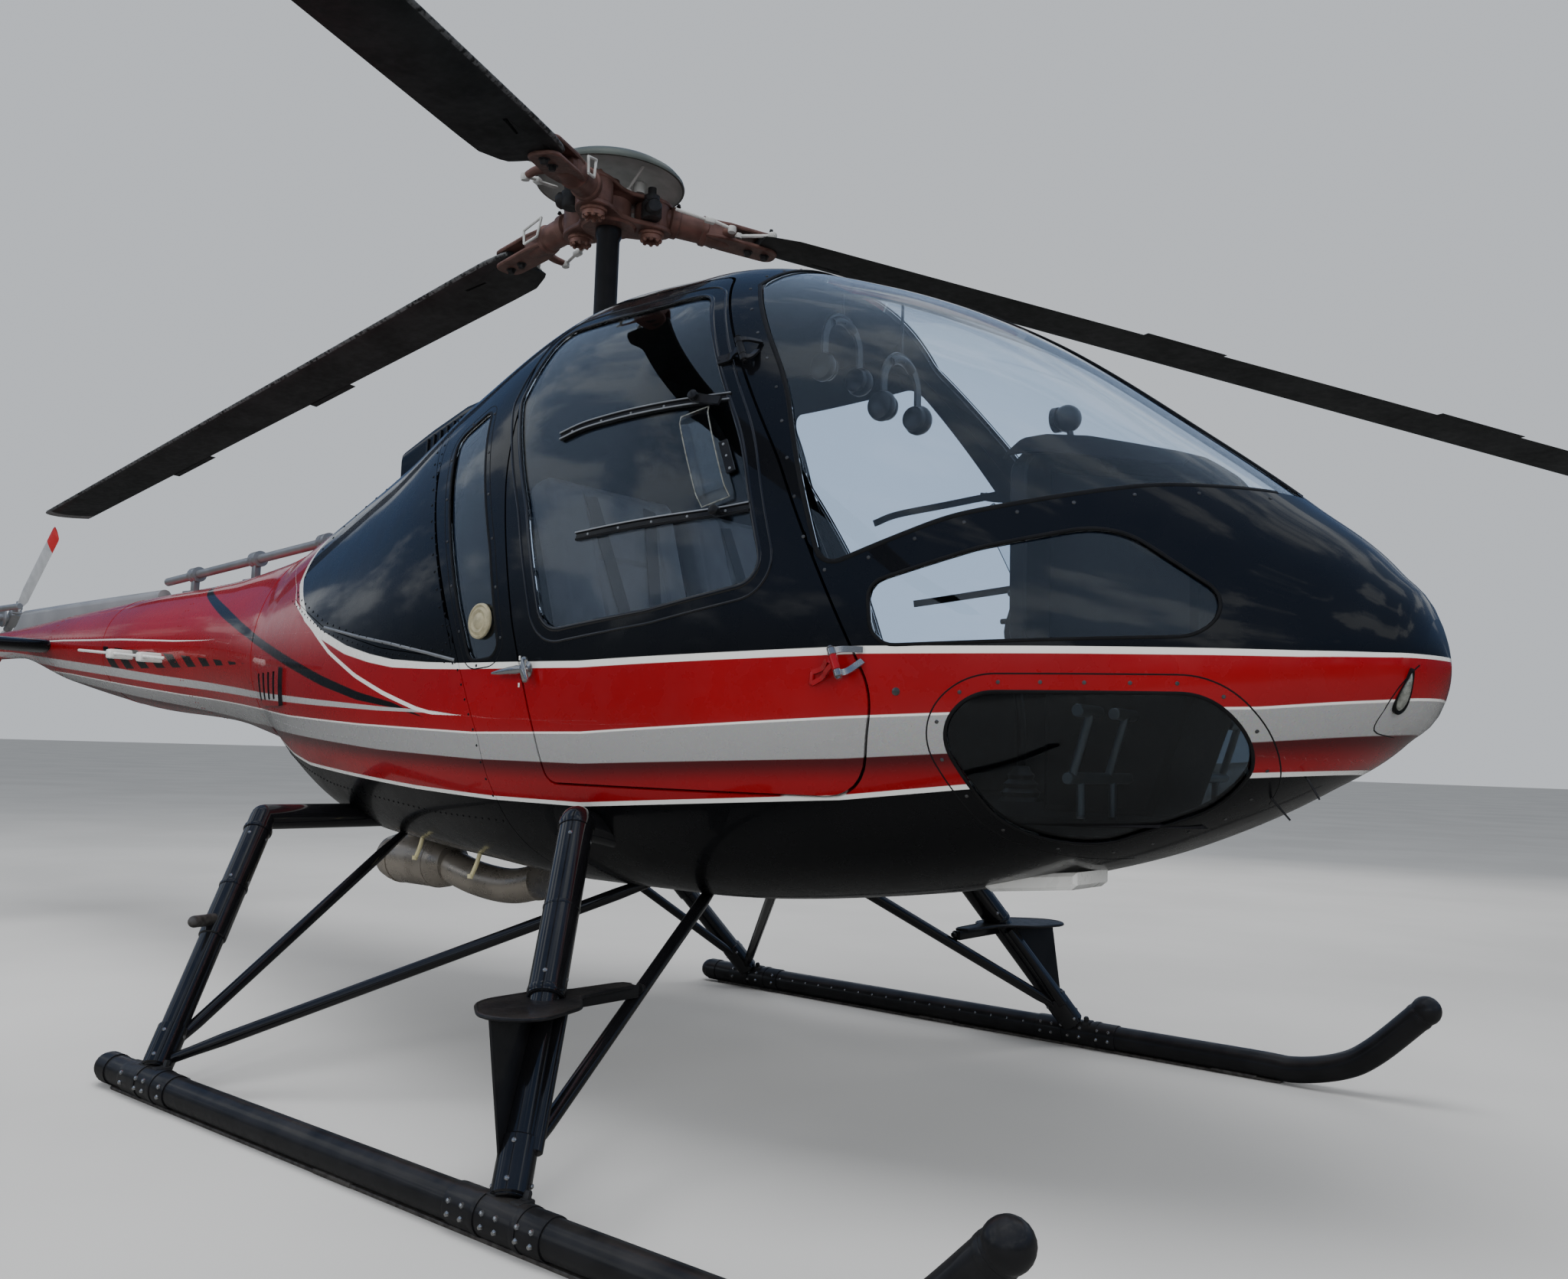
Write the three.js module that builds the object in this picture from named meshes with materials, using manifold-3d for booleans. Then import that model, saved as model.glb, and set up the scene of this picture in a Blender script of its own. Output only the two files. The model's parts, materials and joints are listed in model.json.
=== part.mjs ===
// Light helicopter on skids: three-blade main rotor, two seats side by side, long pointed nose and a round
// tail boom.
// Millimetres. X points to the nose, Y to port and Z up. While the pieces are made, X is 0 at the rotor
// mast, Y is 0 on the centre plane and Z is 0 on the ground; the last lines move the whole to its own origin.
import * as THREE from 'three';
import { mergeVertices } from 'three/addons/utils/BufferGeometryUtils.js';
import Module from 'manifold-3d';

const wasm = await Module();
wasm.setup();

// Driving dimensions
const GAP = 0.3;              // between pieces that touch
const SKIN = 24;              // wall of the cabin and the doors
const COWL_SKIN = 14;         // wall of the aft body and the boom
const DOOR_GAP = 6;           // round each door
const FACETS = 24;            // points round the body
const NOSE_X = 2515;
const AFT_END_X = -1350;      // joint between the aft body and the boom
const BOOM_END_X = -5330;
const FLOOR_Z = 800;
const DECK_Z = 742;
const PLATE = 18;             // floor, deck and bulkhead thickness
const HUB_Z = 2700;
const MAST_R = 38;
const MAST_FOOT_Z = 1880;
const BLADE_TIP = 4877;
const BLADE_ROOT = 500;
const BLADE_CHORD = 240;
const FLAP_HINGE = 200;       // radius where a blade arm starts to droop
const DROOP = 6.5;            // degrees, each blade at rest
const FIRST_BLADE = 57;       // degrees from the nose towards port
const TAIL_HUB = [-5310, 250, 1584];
const TAIL_RADIUS = 710;
const TAIL_BLADE_ANGLE = 43;  // degrees above the nose direction
const SKID_Y = 1195;
const SKID_R = 38;
const SHOE = 7;               // wear shoe under each skid tube
const SKID_Z = SKID_R + SHOE;
const LEG_R = 30;
const SLEEVE_R = 41;
const BRACE_R = 17;
const CROSS_R = 38;

// Body sections. Columns: x, crown z, keel z, widest z, half width, crown power, keel power.
const SECTIONS = [
  [NOSE_X, 1165, 1125, 1145, 20, 2.0, 2.0],
  [2490, 1245, 1060, 1140, 105, 2.0, 2.0],
  [2420, 1345, 985, 1135, 205, 2.0, 2.0],
  [2250, 1500, 875, 1125, 355, 2.1, 2.1],
  [2000, 1700, 755, 1110, 500, 2.2, 2.2],
  [1650, 1955, 650, 1095, 630, 2.3, 2.4],
  [1250, 2155, 580, 1080, 720, 2.4, 2.6],
  [800, 2270, 545, 1070, 765, 2.5, 2.7],
  [400, 2265, 545, 1070, 760, 2.5, 2.7],
  [0, 2135, 565, 1080, 725, 2.4, 2.6],
  [-400, 1965, 590, 1100, 655, 2.3, 2.5],
  [-800, 1835, 625, 1140, 560, 2.2, 2.3],
  [-1150, 1735, 735, 1190, 460, 2.1, 2.1],
  [AFT_END_X, 1685, 830, 1220, 400, 2.0, 2.0],
  [-1850, 1610, 955, 1285, 305, 2.0, 2.0],
  [-2850, 1557, 1048, 1310, 245, 2.0, 2.0],
  [-3700, 1513, 1170, 1345, 165, 2.0, 2.0],
  [-4500, 1465, 1310, 1388, 80, 2.0, 2.0],
  [BOOM_END_X, 1435, 1300, 1368, 66, 2.0, 2.0],
];

// Outlines in side view. Columns: x, z, corner radius.
const SEAM = [[470, 300], [450, 790], [420, 950], [335, 1120], [85, 1613], [-150, 2100], [-240, 2500]];
const DOOR = [
  [320, 2165, 40], [925, 2165, 60], [1300, 1590, 900], [1570, 1060, 160], [1530, 838, 110],
  [672, 838, 40], [640, 960, 200], [540, 1230, 500], [430, 1620, 900],
];
const DOOR_WINDOW = [
  [390, 2075, 60], [925, 2090, 70], [1200, 1640, 600], [1310, 1305, 60], [1000, 1245, 400],
  [655, 1205, 80], [545, 1530, 500], [385, 1850, 60],
];
const WINDSHIELD = [
  [1030, 2500, 0], [1030, 2110, 60], [1270, 1775, 700], [1440, 1325, 45], [1700, 1430, 500],
  [2050, 1500, 500], [2232, 1505, 10], [2500, 1560, 0], [2500, 2500, 0],
];
const FRONT_WINDOW = [
  [1545, 1290, 40], [1760, 1360, 300], [2000, 1410, 90], [2230, 1240, 60], [2150, 1180, 60],
  [1560, 1158, 50],
];
const CHIN_WINDOW = [
  [1690, 1000, 60], [1775, 1066, 40], [2180, 1070, 70], [2250, 960, 50], [2140, 850, 120], [1880, 748, 60],
  [1770, 790, 60],
];
const QUARTER_WINDOW = [
  [235, 1860, 30], [85, 1790, 40], [300, 1290, 200], [375, 1140, 40], [500, 1150, 40], [420, 1430, 300],
];
const ENGINE_PANEL = [
  [300, 1150], [-90, 1192], [-540, 1275], [-935, 1400], [-915, 1560], [-760, 1700], [-190, 1990], [60, 1650],
];

// Gear points: x, y (on the starboard side), z.
const FRONT_TOP = [792, -742, 752];
const FRONT_FOOT = [1142, -SKID_Y, SKID_Z];
const REAR_TOP = [-587, -750, 690];
const REAR_FOOT = [-262, -SKID_Y, SKID_Z];
const SKID_TAIL_X = -500;
const SKID_BEND_X = 1840;
const SKID_TIP = [2190, 262];

// Paints and materials
function paint(color, roughness = 0.25, metalness = 0) {
  return new THREE.MeshStandardMaterial({ color, roughness, metalness });
}
const black = paint(0x0b0c10);
const red = paint(0xb01018);
const silver = paint(0xb9bcbe, 0.3, 0.4);
const satinBlack = paint(0x17191c, 0.45);
const bladeGrey = paint(0x24282b, 0.6);
const steel = paint(0x8b8680, 0.4, 0.8);
const bronze = paint(0x7a5348, 0.5, 0.5);
const seatGrey = paint(0x3c3f44, 0.8);
const glass = new THREE.MeshStandardMaterial({
  color: 0x4a5560, roughness: 0.05, transparent: true, opacity: 0.4,
});
const brown = paint(0x6d5f50, 0.5, 0.5);

// A closed geometry as a solid, and a solid as a geometry
function solid(geometry) {
  const bare = geometry.clone();
  bare.deleteAttribute('normal');
  bare.deleteAttribute('uv');
  const merged = mergeVertices(bare, 1e-3);
  const vertProperties = new Float32Array(merged.attributes.position.array);
  const triVerts = new Uint32Array(merged.index.array);
  return new wasm.Manifold(new wasm.Mesh({ numProp: 3, vertProperties, triVerts }));
}

function geometryOf(piece) {
  const { vertProperties, triVerts } = piece.getMesh();
  const geometry = new THREE.BufferGeometry();
  geometry.setAttribute('position', new THREE.BufferAttribute(new Float32Array(vertProperties), 3));
  geometry.setIndex(new THREE.BufferAttribute(new Uint32Array(triVerts), 1));
  return geometry;
}

const aircraft = new THREE.Group();

function add(name, piece, material, parent = aircraft) {
  const geometry = piece.isBufferGeometry ? piece : geometryOf(piece);
  const mesh = new THREE.Mesh(geometry, material);
  mesh.name = name;
  parent.add(mesh);
  return mesh;
}

const join = (...pieces) => pieces.reduce((all, piece) => all.add(piece));
// The largest body of a piece that a cut has left in several: the offcuts are dropped
const larger = (best, one) => (one.volume() > best.volume() ? one : best);
const largest = (piece) => piece.decompose().reduce(larger);
const flip = ([x, y, z]) => [x, -y, z];

// A piece for each side from one maker that gets the side: -1 for starboard, 1 for port
function bothSides(name, make, material) {
  add(`${name}_right`, make(-1), material);
  add(`${name}_left`, make(1), material);
}

// A smooth curve through one column of the section table, without overshoot
function smooth(column, x) {
  const rows = [...SECTIONS].reverse();
  const xs = rows.map((row) => row[0]);
  const ys = rows.map((row) => row[column]);
  const last = xs.length - 1;
  const slope = xs.slice(1).map((value, i) => (ys[i + 1] - ys[i]) / (value - xs[i]));
  const tangent = (i) => {
    if (i === 0 || i === last) return slope[Math.min(i, last - 1)];
    if (slope[i - 1] * slope[i] <= 0) return 0;
    const before = xs[i] - xs[i - 1];
    const after = xs[i + 1] - xs[i];
    return (slope[i - 1] * after + slope[i] * before) / (before + after);
  };
  const above = x >= xs[last] ? last : xs.findIndex((value) => value > x);
  const i = Math.min(last - 1, Math.max(0, above - 1));
  const h = xs[i + 1] - xs[i];
  const t = Math.min(1, Math.max(0, (x - xs[i]) / h));
  const [t2, t3] = [t * t, t * t * t];
  return (2 * t3 - 3 * t2 + 1) * ys[i] + (t3 - 2 * t2 + t) * h * tangent(i)
    + (3 * t2 - 2 * t3) * ys[i + 1] + (t3 - t2) * h * tangent(i + 1);
}

// One ring of the body at x, moved in by inset: two half super-ellipses that meet at the widest line
function bodyRing(x, inset) {
  const columns = [1, 2, 3, 4, 5, 6].map((column) => smooth(column, x));
  const [crown, keel, widest, half, crownPower, keelPower] = columns;
  return Array.from({ length: FACETS }, (_, i) => {
    const angle = (2 * Math.PI * i) / FACETS;
    const [c, s] = [Math.cos(angle), Math.sin(angle)];
    const power = 2 / (s >= 0 ? crownPower : keelPower);
    const rise = s >= 0 ? crown - inset - widest : widest - keel - inset;
    const bulge = (share) => Math.sign(share) * Math.abs(share) ** power;
    return [x, (half - inset) * bulge(c), widest + rise * bulge(s)];
  });
}

// A closed solid through rings of the same number of points, with a centre point on each end
function loft(rings) {
  const count = rings[0].length;
  const points = rings.flat();
  const middle = (ring) => [0, 1, 2].map((k) => ring.reduce((sum, point) => sum + point[k], 0) / count);
  const first = points.push(middle(rings[0])) - 1;
  const last = points.push(middle(rings[rings.length - 1])) - 1;
  const faces = [];
  for (let i = 0; i < count; i += 1) {
    const j = (i + 1) % count;
    for (let r = 0; r + 1 < rings.length; r += 1) {
      const [a, b, c, d] = [r * count + i, r * count + j, (r + 1) * count + j, (r + 1) * count + i];
      faces.push(a, b, c, a, c, d);
    }
    const end = (rings.length - 1) * count;
    faces.push(first, j, i, last, end + i, end + j);
  }
  const geometry = new THREE.BufferGeometry();
  geometry.setAttribute('position', new THREE.BufferAttribute(new Float32Array(points.flat()), 3));
  geometry.setIndex(faces);
  const made = solid(geometry);
  if (made.volume() > 0) return made;
  geometry.setIndex(faces.map((_, i) => faces[i - (i % 3) + [0, 2, 1][i % 3]]));
  return solid(geometry);
}

// The body between two stations, moved in by inset. The outside has a ring at each row of the table and one
// between each two, and the inside only the rows.
function body(from, to, inset = 0) {
  const rows = SECTIONS.map((row) => row[0]);
  const halves = rows.slice(1).map((x, i) => (x + rows[i]) / 2);
  const stations = [...rows, ...(inset > 0 ? [] : halves)].filter((x) => x > from + 1 && x < to - 1);
  const all = [from, ...stations.sort((a, b) => a - b), to];
  return loft(all.map((x) => bodyRing(x, inset)));
}

// Corners with radii as a plain list of outline points, each round corner an arc
function rounded(corners, steps = 4) {
  return corners.flatMap(([x, z, radius = 0], i) => {
    if (!radius) return [[x, z]];
    const at = new THREE.Vector2(x, z);
    const towards = (other) => new THREE.Vector2(other[0], other[1]).sub(at).normalize();
    const u = towards(corners[(i + corners.length - 1) % corners.length]);
    const v = towards(corners[(i + 1) % corners.length]);
    const half = Math.acos(u.dot(v)) / 2;
    const centre = u.clone().add(v).normalize().multiplyScalar(radius / Math.sin(half)).add(at);
    const start = u.multiplyScalar(radius / Math.tan(half)).add(at).sub(centre);
    const end = v.multiplyScalar(radius / Math.tan(half)).add(at).sub(centre);
    const turn = Math.atan2(start.cross(end), start.dot(end));
    return Array.from({ length: steps + 1 }, (_, k) => {
      const angle = start.angle() + (turn * k) / steps;
      return [centre.x + radius * Math.cos(angle), centre.y + radius * Math.sin(angle)];
    });
  });
}

// An outline with each point moved out by a distance along its corner's middle line
function grown(points, distance) {
  const area = points.reduce((sum, [x, z], i) => {
    const [nextX, nextZ] = points[(i + 1) % points.length];
    return sum + x * nextZ - nextX * z;
  }, 0);
  const side = Math.sign(area) * distance;
  const normal = (a, b) => new THREE.Vector2(b[1] - a[1], a[0] - b[0]).normalize();
  return points.map((point, i) => {
    const before = normal(points[(i + points.length - 1) % points.length], point);
    const after = normal(point, points[(i + 1) % points.length]);
    const middle = before.clone().add(after).normalize();
    const reach = side / Math.max(0.5, middle.dot(after));
    return [point[0] + middle.x * reach, point[1] + middle.y * reach];
  });
}

// A side-view outline as a slab from one y to another
function slab(points, fromY, toY) {
  const shape = new THREE.Shape(points.map(([x, z]) => new THREE.Vector2(x, z)));
  const geometry = new THREE.ExtrudeGeometry(shape, { depth: toY - fromY, bevelEnabled: false });
  geometry.rotateX(Math.PI / 2);
  geometry.translate(0, toY, 0);
  return solid(geometry);
}

// The same slab on one side of the centre plane only: side is -1 for starboard and 1 for port
function sideSlab(points, side, near, far) {
  return side < 0 ? slab(points, -far, -near) : slab(points, near, far);
}

function box(low, high) {
  const size = high.map((value, i) => value - low[i]);
  const geometry = new THREE.BoxGeometry(...size);
  geometry.translate(...low.map((value, i) => value + size[i] / 2));
  return solid(geometry);
}

// A round bar between two points, with its own radius at each end
function rod(from, to, radius, endRadius = radius, sides = 10) {
  const [a, b] = [new THREE.Vector3(...from), new THREE.Vector3(...to)];
  const length = a.distanceTo(b);
  const geometry = new THREE.CylinderGeometry(endRadius, radius, length, sides);
  geometry.translate(0, length / 2, 0);
  const up = new THREE.Vector3(0, 1, 0);
  geometry.applyQuaternion(new THREE.Quaternion().setFromUnitVectors(up, b.sub(a).normalize()));
  geometry.translate(...from);
  return solid(geometry);
}

// A profile of [radius, height] pairs turned about the Z axis through a point
function turned(profile, centre = [0, 0, 0], sides = 16) {
  const geometry = new THREE.LatheGeometry(profile.map(([r, z]) => new THREE.Vector2(r, z)), sides);
  geometry.rotateX(Math.PI / 2);
  geometry.translate(...centre);
  return solid(geometry);
}

// A round tube along a smooth curve through points
function tube(points, radius, sides = 10, steps = 8) {
  const along = points.map((point) => new THREE.Vector3(...point));
  const curve = new THREE.CatmullRomCurve3(along, false, 'centripetal');
  const section = new THREE.Shape(Array.from({ length: sides }, (_, i) => {
    const angle = (2 * Math.PI * i) / sides;
    return new THREE.Vector2(radius * Math.cos(angle), radius * Math.sin(angle));
  }));
  return solid(new THREE.ExtrudeGeometry(section, { steps, extrudePath: curve, bevelEnabled: false }));
}

const sphere = (centre, radius) => solid(new THREE.SphereGeometry(radius, 10, 6).translate(...centre));

// Body shells: the skin between the outer form and the same form moved in
const WIDE = 900;                // beyond the body's side
const CENTRE_STRIP = 18;         // half the strip between the windshield halves
const DOOR_TOP_Y = 150;          // doors stay outboard of this
const NOSE_BLOCK_X = 2400;       // the nose is solid ahead of this
const DECK_CLEAR_X = 700;        // front end of the hollow behind the cabin
const PAST = 60;                 // by which a cutter runs past an end
const PANE_INSET = 6;
const PANE = 6;
const ahead = [...SEAM.map(([x, z]) => [x + GAP / 2, z]), [3000, 2500], [3000, 300]];
const behind = [...SEAM.map(([x, z]) => [x - GAP / 2, z]), [-3000, 2500], [-3000, 300]];
const frontTube = rod(FRONT_TOP, flip(FRONT_TOP), CROSS_R);
const rearTube = rod(REAR_TOP, flip(REAR_TOP), CROSS_R);
const tubeHoles = join(
  rod(FRONT_TOP, flip(FRONT_TOP), CROSS_R + GAP),
  rod(REAR_TOP, flip(REAR_TOP), CROSS_R + GAP),
);

const outer = body(AFT_END_X + GAP, NOSE_X);
const inside = body(AFT_END_X - PAST, NOSE_BLOCK_X, SKIN);
const insideClear = body(AFT_END_X, NOSE_BLOCK_X - GAP, SKIN + GAP);
const cabinSkin = outer.subtract(inside).intersect(slab(ahead, -WIDE, WIDE));
const aftInside = body(AFT_END_X - PAST, DECK_CLEAR_X, COWL_SKIN);
const aftSkin = outer.subtract(aftInside).intersect(slab(behind, -WIDE, WIDE)).subtract(tubeHoles);
const paneSkin = body(AFT_END_X, NOSE_BLOCK_X + 40, PANE_INSET)
  .subtract(body(AFT_END_X - PAST, NOSE_BLOCK_X + 50, PANE_INSET + PANE));

// Cabin shell with its doorways and windows. Window columns: name, outline, distance from the centre plane
// at which it starts.
const WINDOWS = [
  ['windshield', WINDSHIELD, CENTRE_STRIP],
  ['front_window', FRONT_WINDOW, 200],
  ['chin_window', CHIN_WINDOW, 120],
  ['quarter_window', QUARTER_WINDOW, 200],
];
const doorOutline = rounded(DOOR);
const doorWindow = rounded(DOOR_WINDOW);

let cabin = cabinSkin;
for (const side of [-1, 1]) {
  cabin = cabin.subtract(sideSlab(grown(doorOutline, DOOR_GAP), side, DOOR_TOP_Y, WIDE));
  for (const [, corners, near] of WINDOWS) {
    cabin = cabin.subtract(sideSlab(rounded(corners), side, near, WIDE));
  }
}
// Hinges: knuckles on one slanted line outside the skin, each with an arm that runs into the skin it carries
const HINGE_TOP = [1143, -617, 1870];
const HINGE_FOOT = [1505, -703, 1121];
const KNUCKLE = 34;
const LUG = 16;
const KNUCKLE_R = 9;
const ARM_R = 6;
const hingeSpan = new THREE.Vector3(...HINGE_TOP).distanceTo(new THREE.Vector3(...HINGE_FOOT));
function hingePoint(distance, side) {
  const [x, y, z] = HINGE_TOP.map((value, i) => value + ((HINGE_FOOT[i] - value) * distance) / hingeSpan);
  return [x, -side * y, z];
}
// Arms from the pins into the skins, each a step forward and a step inward. Columns: hinge's distance along
// the line, arm into the cabin shell, arm into the door.
const HINGES = [
  [0, [52, 60], [-46, 36]],
  [hingeSpan, [64, 56], [-46, 36]],
];
const ON_SHELL = 1;
const ON_DOOR = 2;
// Knuckles of one length on both hinges, each offset along the line from the hinge's middle
function hingeLeaf(side, offsets, length, column) {
  return join(...HINGES.flatMap((hinge) => offsets.map((offset) => {
    const middle = hinge[0] + offset;
    const [forward, inward] = hinge[column];
    const root = hingePoint(middle, side);
    const arm = rod(root, [root[0] + forward, root[1] - side * inward, root[2]], ARM_R);
    const [low, high] = [middle - length / 2, middle + length / 2].map((at) => hingePoint(at, side));
    return rod(low, high, KNUCKLE_R).add(arm);
  })));
}

for (const [name, corners, near] of WINDOWS) {
  bothSides(name, (side) => {
    const outline = grown(rounded(corners), -GAP);
    return paneSkin.intersect(sideSlab(outline, side, near + GAP, WIDE));
  }, glass);
}

// Doors: the same skin inside the doorway, with a window, its pane and a knuckle on each hinge
bothSides('door', (side) => cabinSkin
  .intersect(sideSlab(doorOutline, side, DOOR_TOP_Y + DOOR_GAP, WIDE))
  .subtract(sideSlab(doorWindow, side, DOOR_TOP_Y, WIDE))
  .add(hingeLeaf(side, [0], KNUCKLE, ON_DOOR)), red);
bothSides('door_window', (side) => paneSkin
  .intersect(sideSlab(grown(doorWindow, -GAP), side, DOOR_TOP_Y + DOOR_GAP, WIDE)), glass);

// Louvred vents on the aft body's sides: a raised skin with upright slots
const VENT = [[-1260, 1040], [-1260, 1180], [-930, 1165], [-930, 1035]];
const SLOTS = [-1200, -1130, -1060, -990];
const ventSkin = body(-1340, -800, -22).subtract(body(-1345, -795, COWL_SKIN / 2));
const SLOT_WIDTH = 24;
function ventOn(side) {
  return SLOTS.reduce((vent, x, i) => {
    const slot = [[x, 1000], [x, 1220], [x + SLOT_WIDTH, 1220], [x + SLOT_WIDTH, 1000]];
    return vent.subtract(sideSlab(slot, side, 470 + i * 18, WIDE));
  }, ventSkin.intersect(sideSlab(VENT, side, 100, WIDE)));
}

// Engine side panels, then the aft body with their openings, the mast hole and the top cowl's seat
const PANEL_TOP_Y = 240;
bothSides('engine_panel', (side) => aftSkin
  .intersect(sideSlab(grown(ENGINE_PANEL, -GAP), side, PANEL_TOP_Y + GAP, WIDE)), black);
const TOP_COWL = [[120, 2500], [120, 1900], [-1000, 1500], [-1000, 2500]];
const topOpening = slab(TOP_COWL, -PANEL_TOP_Y, PANEL_TOP_Y);
let aft = aftSkin.subtract(topOpening);
for (const side of [-1, 1]) aft = aft.subtract(sideSlab(ENGINE_PANEL, side, PANEL_TOP_Y, WIDE));
const lugs = [KNUCKLE / 2 + LUG / 2 + GAP, -KNUCKLE / 2 - LUG / 2 - GAP];
const pinLugs = join(hingeLeaf(-1, lugs, LUG, ON_SHELL), hingeLeaf(1, lugs, LUG, ON_SHELL));
add('cabin_shell', cabin.subtract(tubeHoles).subtract(topOpening).add(pinLugs), black);
add('aft_body', join(aft, ventOn(-1), ventOn(1)), red);
const mastHole = rod([0, 0, 1500], [0, 0, 2500], MAST_R + 12, MAST_R + 12, 14);
add('top_cowl', outer.subtract(aftInside)
  .intersect(slab(grown(TOP_COWL, -GAP), -PANEL_TOP_Y + GAP, PANEL_TOP_Y - GAP))
  .subtract(mastHole), black);

// Air scoop on the top cowl: a wedge box that opens to the rear
const SCOOP = [[-165, 2085], [-420, 2060], [-760, 1945], [-760, 1700], [-165, 1900]];
const SCOOP_HALF = 225;
const SCOOP_WALL = 20;
const SCOOP_HOLLOW = [[-300, 1500], [-300, 2045], [-420, 2040], [-780, 1925], [-780, 1500]];
const scoopSeat = body(-1300, 300, -GAP);
add('air_scoop', slab(SCOOP, -SCOOP_HALF, SCOOP_HALF)
  .subtract(slab(SCOOP_HOLLOW, SCOOP_WALL - SCOOP_HALF, SCOOP_HALF - SCOOP_WALL))
  .subtract(scoopSeat), black);

// Cabin floor, rear bulkhead and engine deck, each trimmed to the inside of the skin
const floorPlate = box([530, -WIDE, FLOOR_Z], [2100, WIDE, FLOOR_Z + PLATE]);
add('cabin_floor', floorPlate.intersect(insideClear), satinBlack);
const BULKHEAD = [[480, 700], [432, 950], [347, 1120], [160, 1500], [128, 2300]];
const bulkhead = [...BULKHEAD, ...BULKHEAD.map(([x, z]) => [x + PLATE, z]).reverse()];
add('rear_bulkhead', slab(bulkhead, -WIDE, WIDE)
  .intersect(insideClear)
  .subtract(box([0, -WIDE, 0], [2000, WIDE, FLOOR_Z])), satinBlack);
const deckClear = body(AFT_END_X, DECK_CLEAR_X, COWL_SKIN + GAP);
const deckPlate = box([-900, -WIDE, DECK_Z], [-20, WIDE, DECK_Z + PLATE - GAP]);
add('engine_deck', deckPlate.intersect(deckClear), steel);
const ENGINE_TOP_Z = 1240;
const GEARBOX_Z = ENGINE_TOP_Z + GAP;
add('engine_block', box([-720, -380, DECK_Z + PLATE], [-120, 380, ENGINE_TOP_Z]), steel);
add('main_gearbox', join(
  turned([
    [0, GEARBOX_Z], [150, GEARBOX_Z], [150, 1420], [95, 1520],
    [70, MAST_FOOT_Z - GAP], [0, MAST_FOOT_Z - GAP],
  ]),
  box([-130, -100, GEARBOX_Z], [10, 100, 1380]),
), steel);


// Bench seat: base, cushion and back
const SEAT_Z = 1010;
const SEAT_HALF = 580;
const beforeBulkhead = [...BULKHEAD.map(([x, z]) => [x + PLATE + GAP, z]), [3000, 2300], [3000, 700]];
const CUSHION_HALF = 565;
const CUSHION_X = 600;
const CUSHION_Z = SEAT_Z + 95;
const FLOOR_TOP = FLOOR_Z + PLATE + GAP;
const floorClear = box([0, -WIDE, 0], [NOSE_BLOCK_X, WIDE, FLOOR_TOP]);
add('seat_base', box([560, -SEAT_HALF, FLOOR_TOP], [1010, SEAT_HALF, SEAT_Z]), satinBlack);
const cushion = box([CUSHION_X, -CUSHION_HALF, SEAT_Z + GAP], [1040, CUSHION_HALF, CUSHION_Z]);
add('seat_cushion', cushion, seatGrey);
const SEAT_BACK = [
  [470, SEAT_Z + GAP], [CUSHION_X - GAP, SEAT_Z + GAP], [CUSHION_X - GAP, CUSHION_Z],
  [390, 1720], [270, 1700],
];
add('seat_back', slab(SEAT_BACK, -CUSHION_HALF, CUSHION_HALF)
  .intersect(slab(beforeBulkhead, -WIDE, WIDE)), seatGrey);

// Instrument pedestal with its panel and glare shield
const PEDESTAL_Y = 270;
const PANEL_AND_SHIELD = [
  [1660, 1700], [1660, 1180], [1690, 1180], [1720, 1640],
  [2060, 1590], [2060, 1610], [1800, 1680], [1700, 1700],
];
add('instrument_pedestal', join(
  slab([[1690, 1640], [1690, FLOOR_TOP], [1960, FLOOR_TOP], [2060, 1100], [2060, 1600]], -150, 150),
  slab(PANEL_AND_SHIELD, -PEDESTAL_Y, PEDESTAL_Y),
).intersect(insideClear), satinBlack);
const STICK = [1345, 350];
add('cyclic_stick', join(
  rod([STICK[0], STICK[1], FLOOR_TOP], [STICK[0] + 25, STICK[1], 1060], 14),
  rod([STICK[0] + 25, STICK[1], 1055], [STICK[0] - 20, STICK[1], 1270], 12),
  rod([STICK[0] - 20, STICK[1], 1255], [STICK[0] + 15, STICK[1], 1385], 20, 24),
  sphere([STICK[0] + 15, STICK[1], 1385], 27),
).subtract(floorClear), satinBlack);
const COLLECTIVE_Y = 640;
add('collective_lever', join(
  rod([700, COLLECTIVE_Y, FLOOR_Z + PLATE], [700, COLLECTIVE_Y, 1085], 15),
  rod([700, COLLECTIVE_Y, 1080], [1060, COLLECTIVE_Y, 1190], 11),
  rod([1040, COLLECTIVE_Y, 1184], [1170, COLLECTIVE_Y, 1222], 19),
).subtract(floorClear), satinBlack);

// Tail: boom, top fin, drive shaft, stabilisers, ventral fin, gearbox and guard
const boomInside = body(BOOM_END_X + 20, AFT_END_X + 40, COWL_SKIN);
const boomSkin = body(BOOM_END_X, AFT_END_X - GAP).subtract(boomInside);
add('tail_boom', boomSkin, red);
const boomClear = body(BOOM_END_X - 40, AFT_END_X + 300, -GAP);
const FIN = [[-2900, 1596], [-2900, 1400], [-4540, 1400], [-4540, 1480], [-4460, 1566]];
const FIN_HALF = 32;
add('top_fin', slab(FIN, -FIN_HALF, FIN_HALF)
  .subtract(boomClear), silver);
const SHAFT_A = [-1490, 0, 1722];
const SHAFT_B = [-2880, 0, 1630];
const shaftSlope = (SHAFT_B[2] - SHAFT_A[2]) / (SHAFT_B[0] - SHAFT_A[0]);
const shaftAt = (x) => SHAFT_A[2] + (x - SHAFT_A[0]) * shaftSlope;
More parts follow.
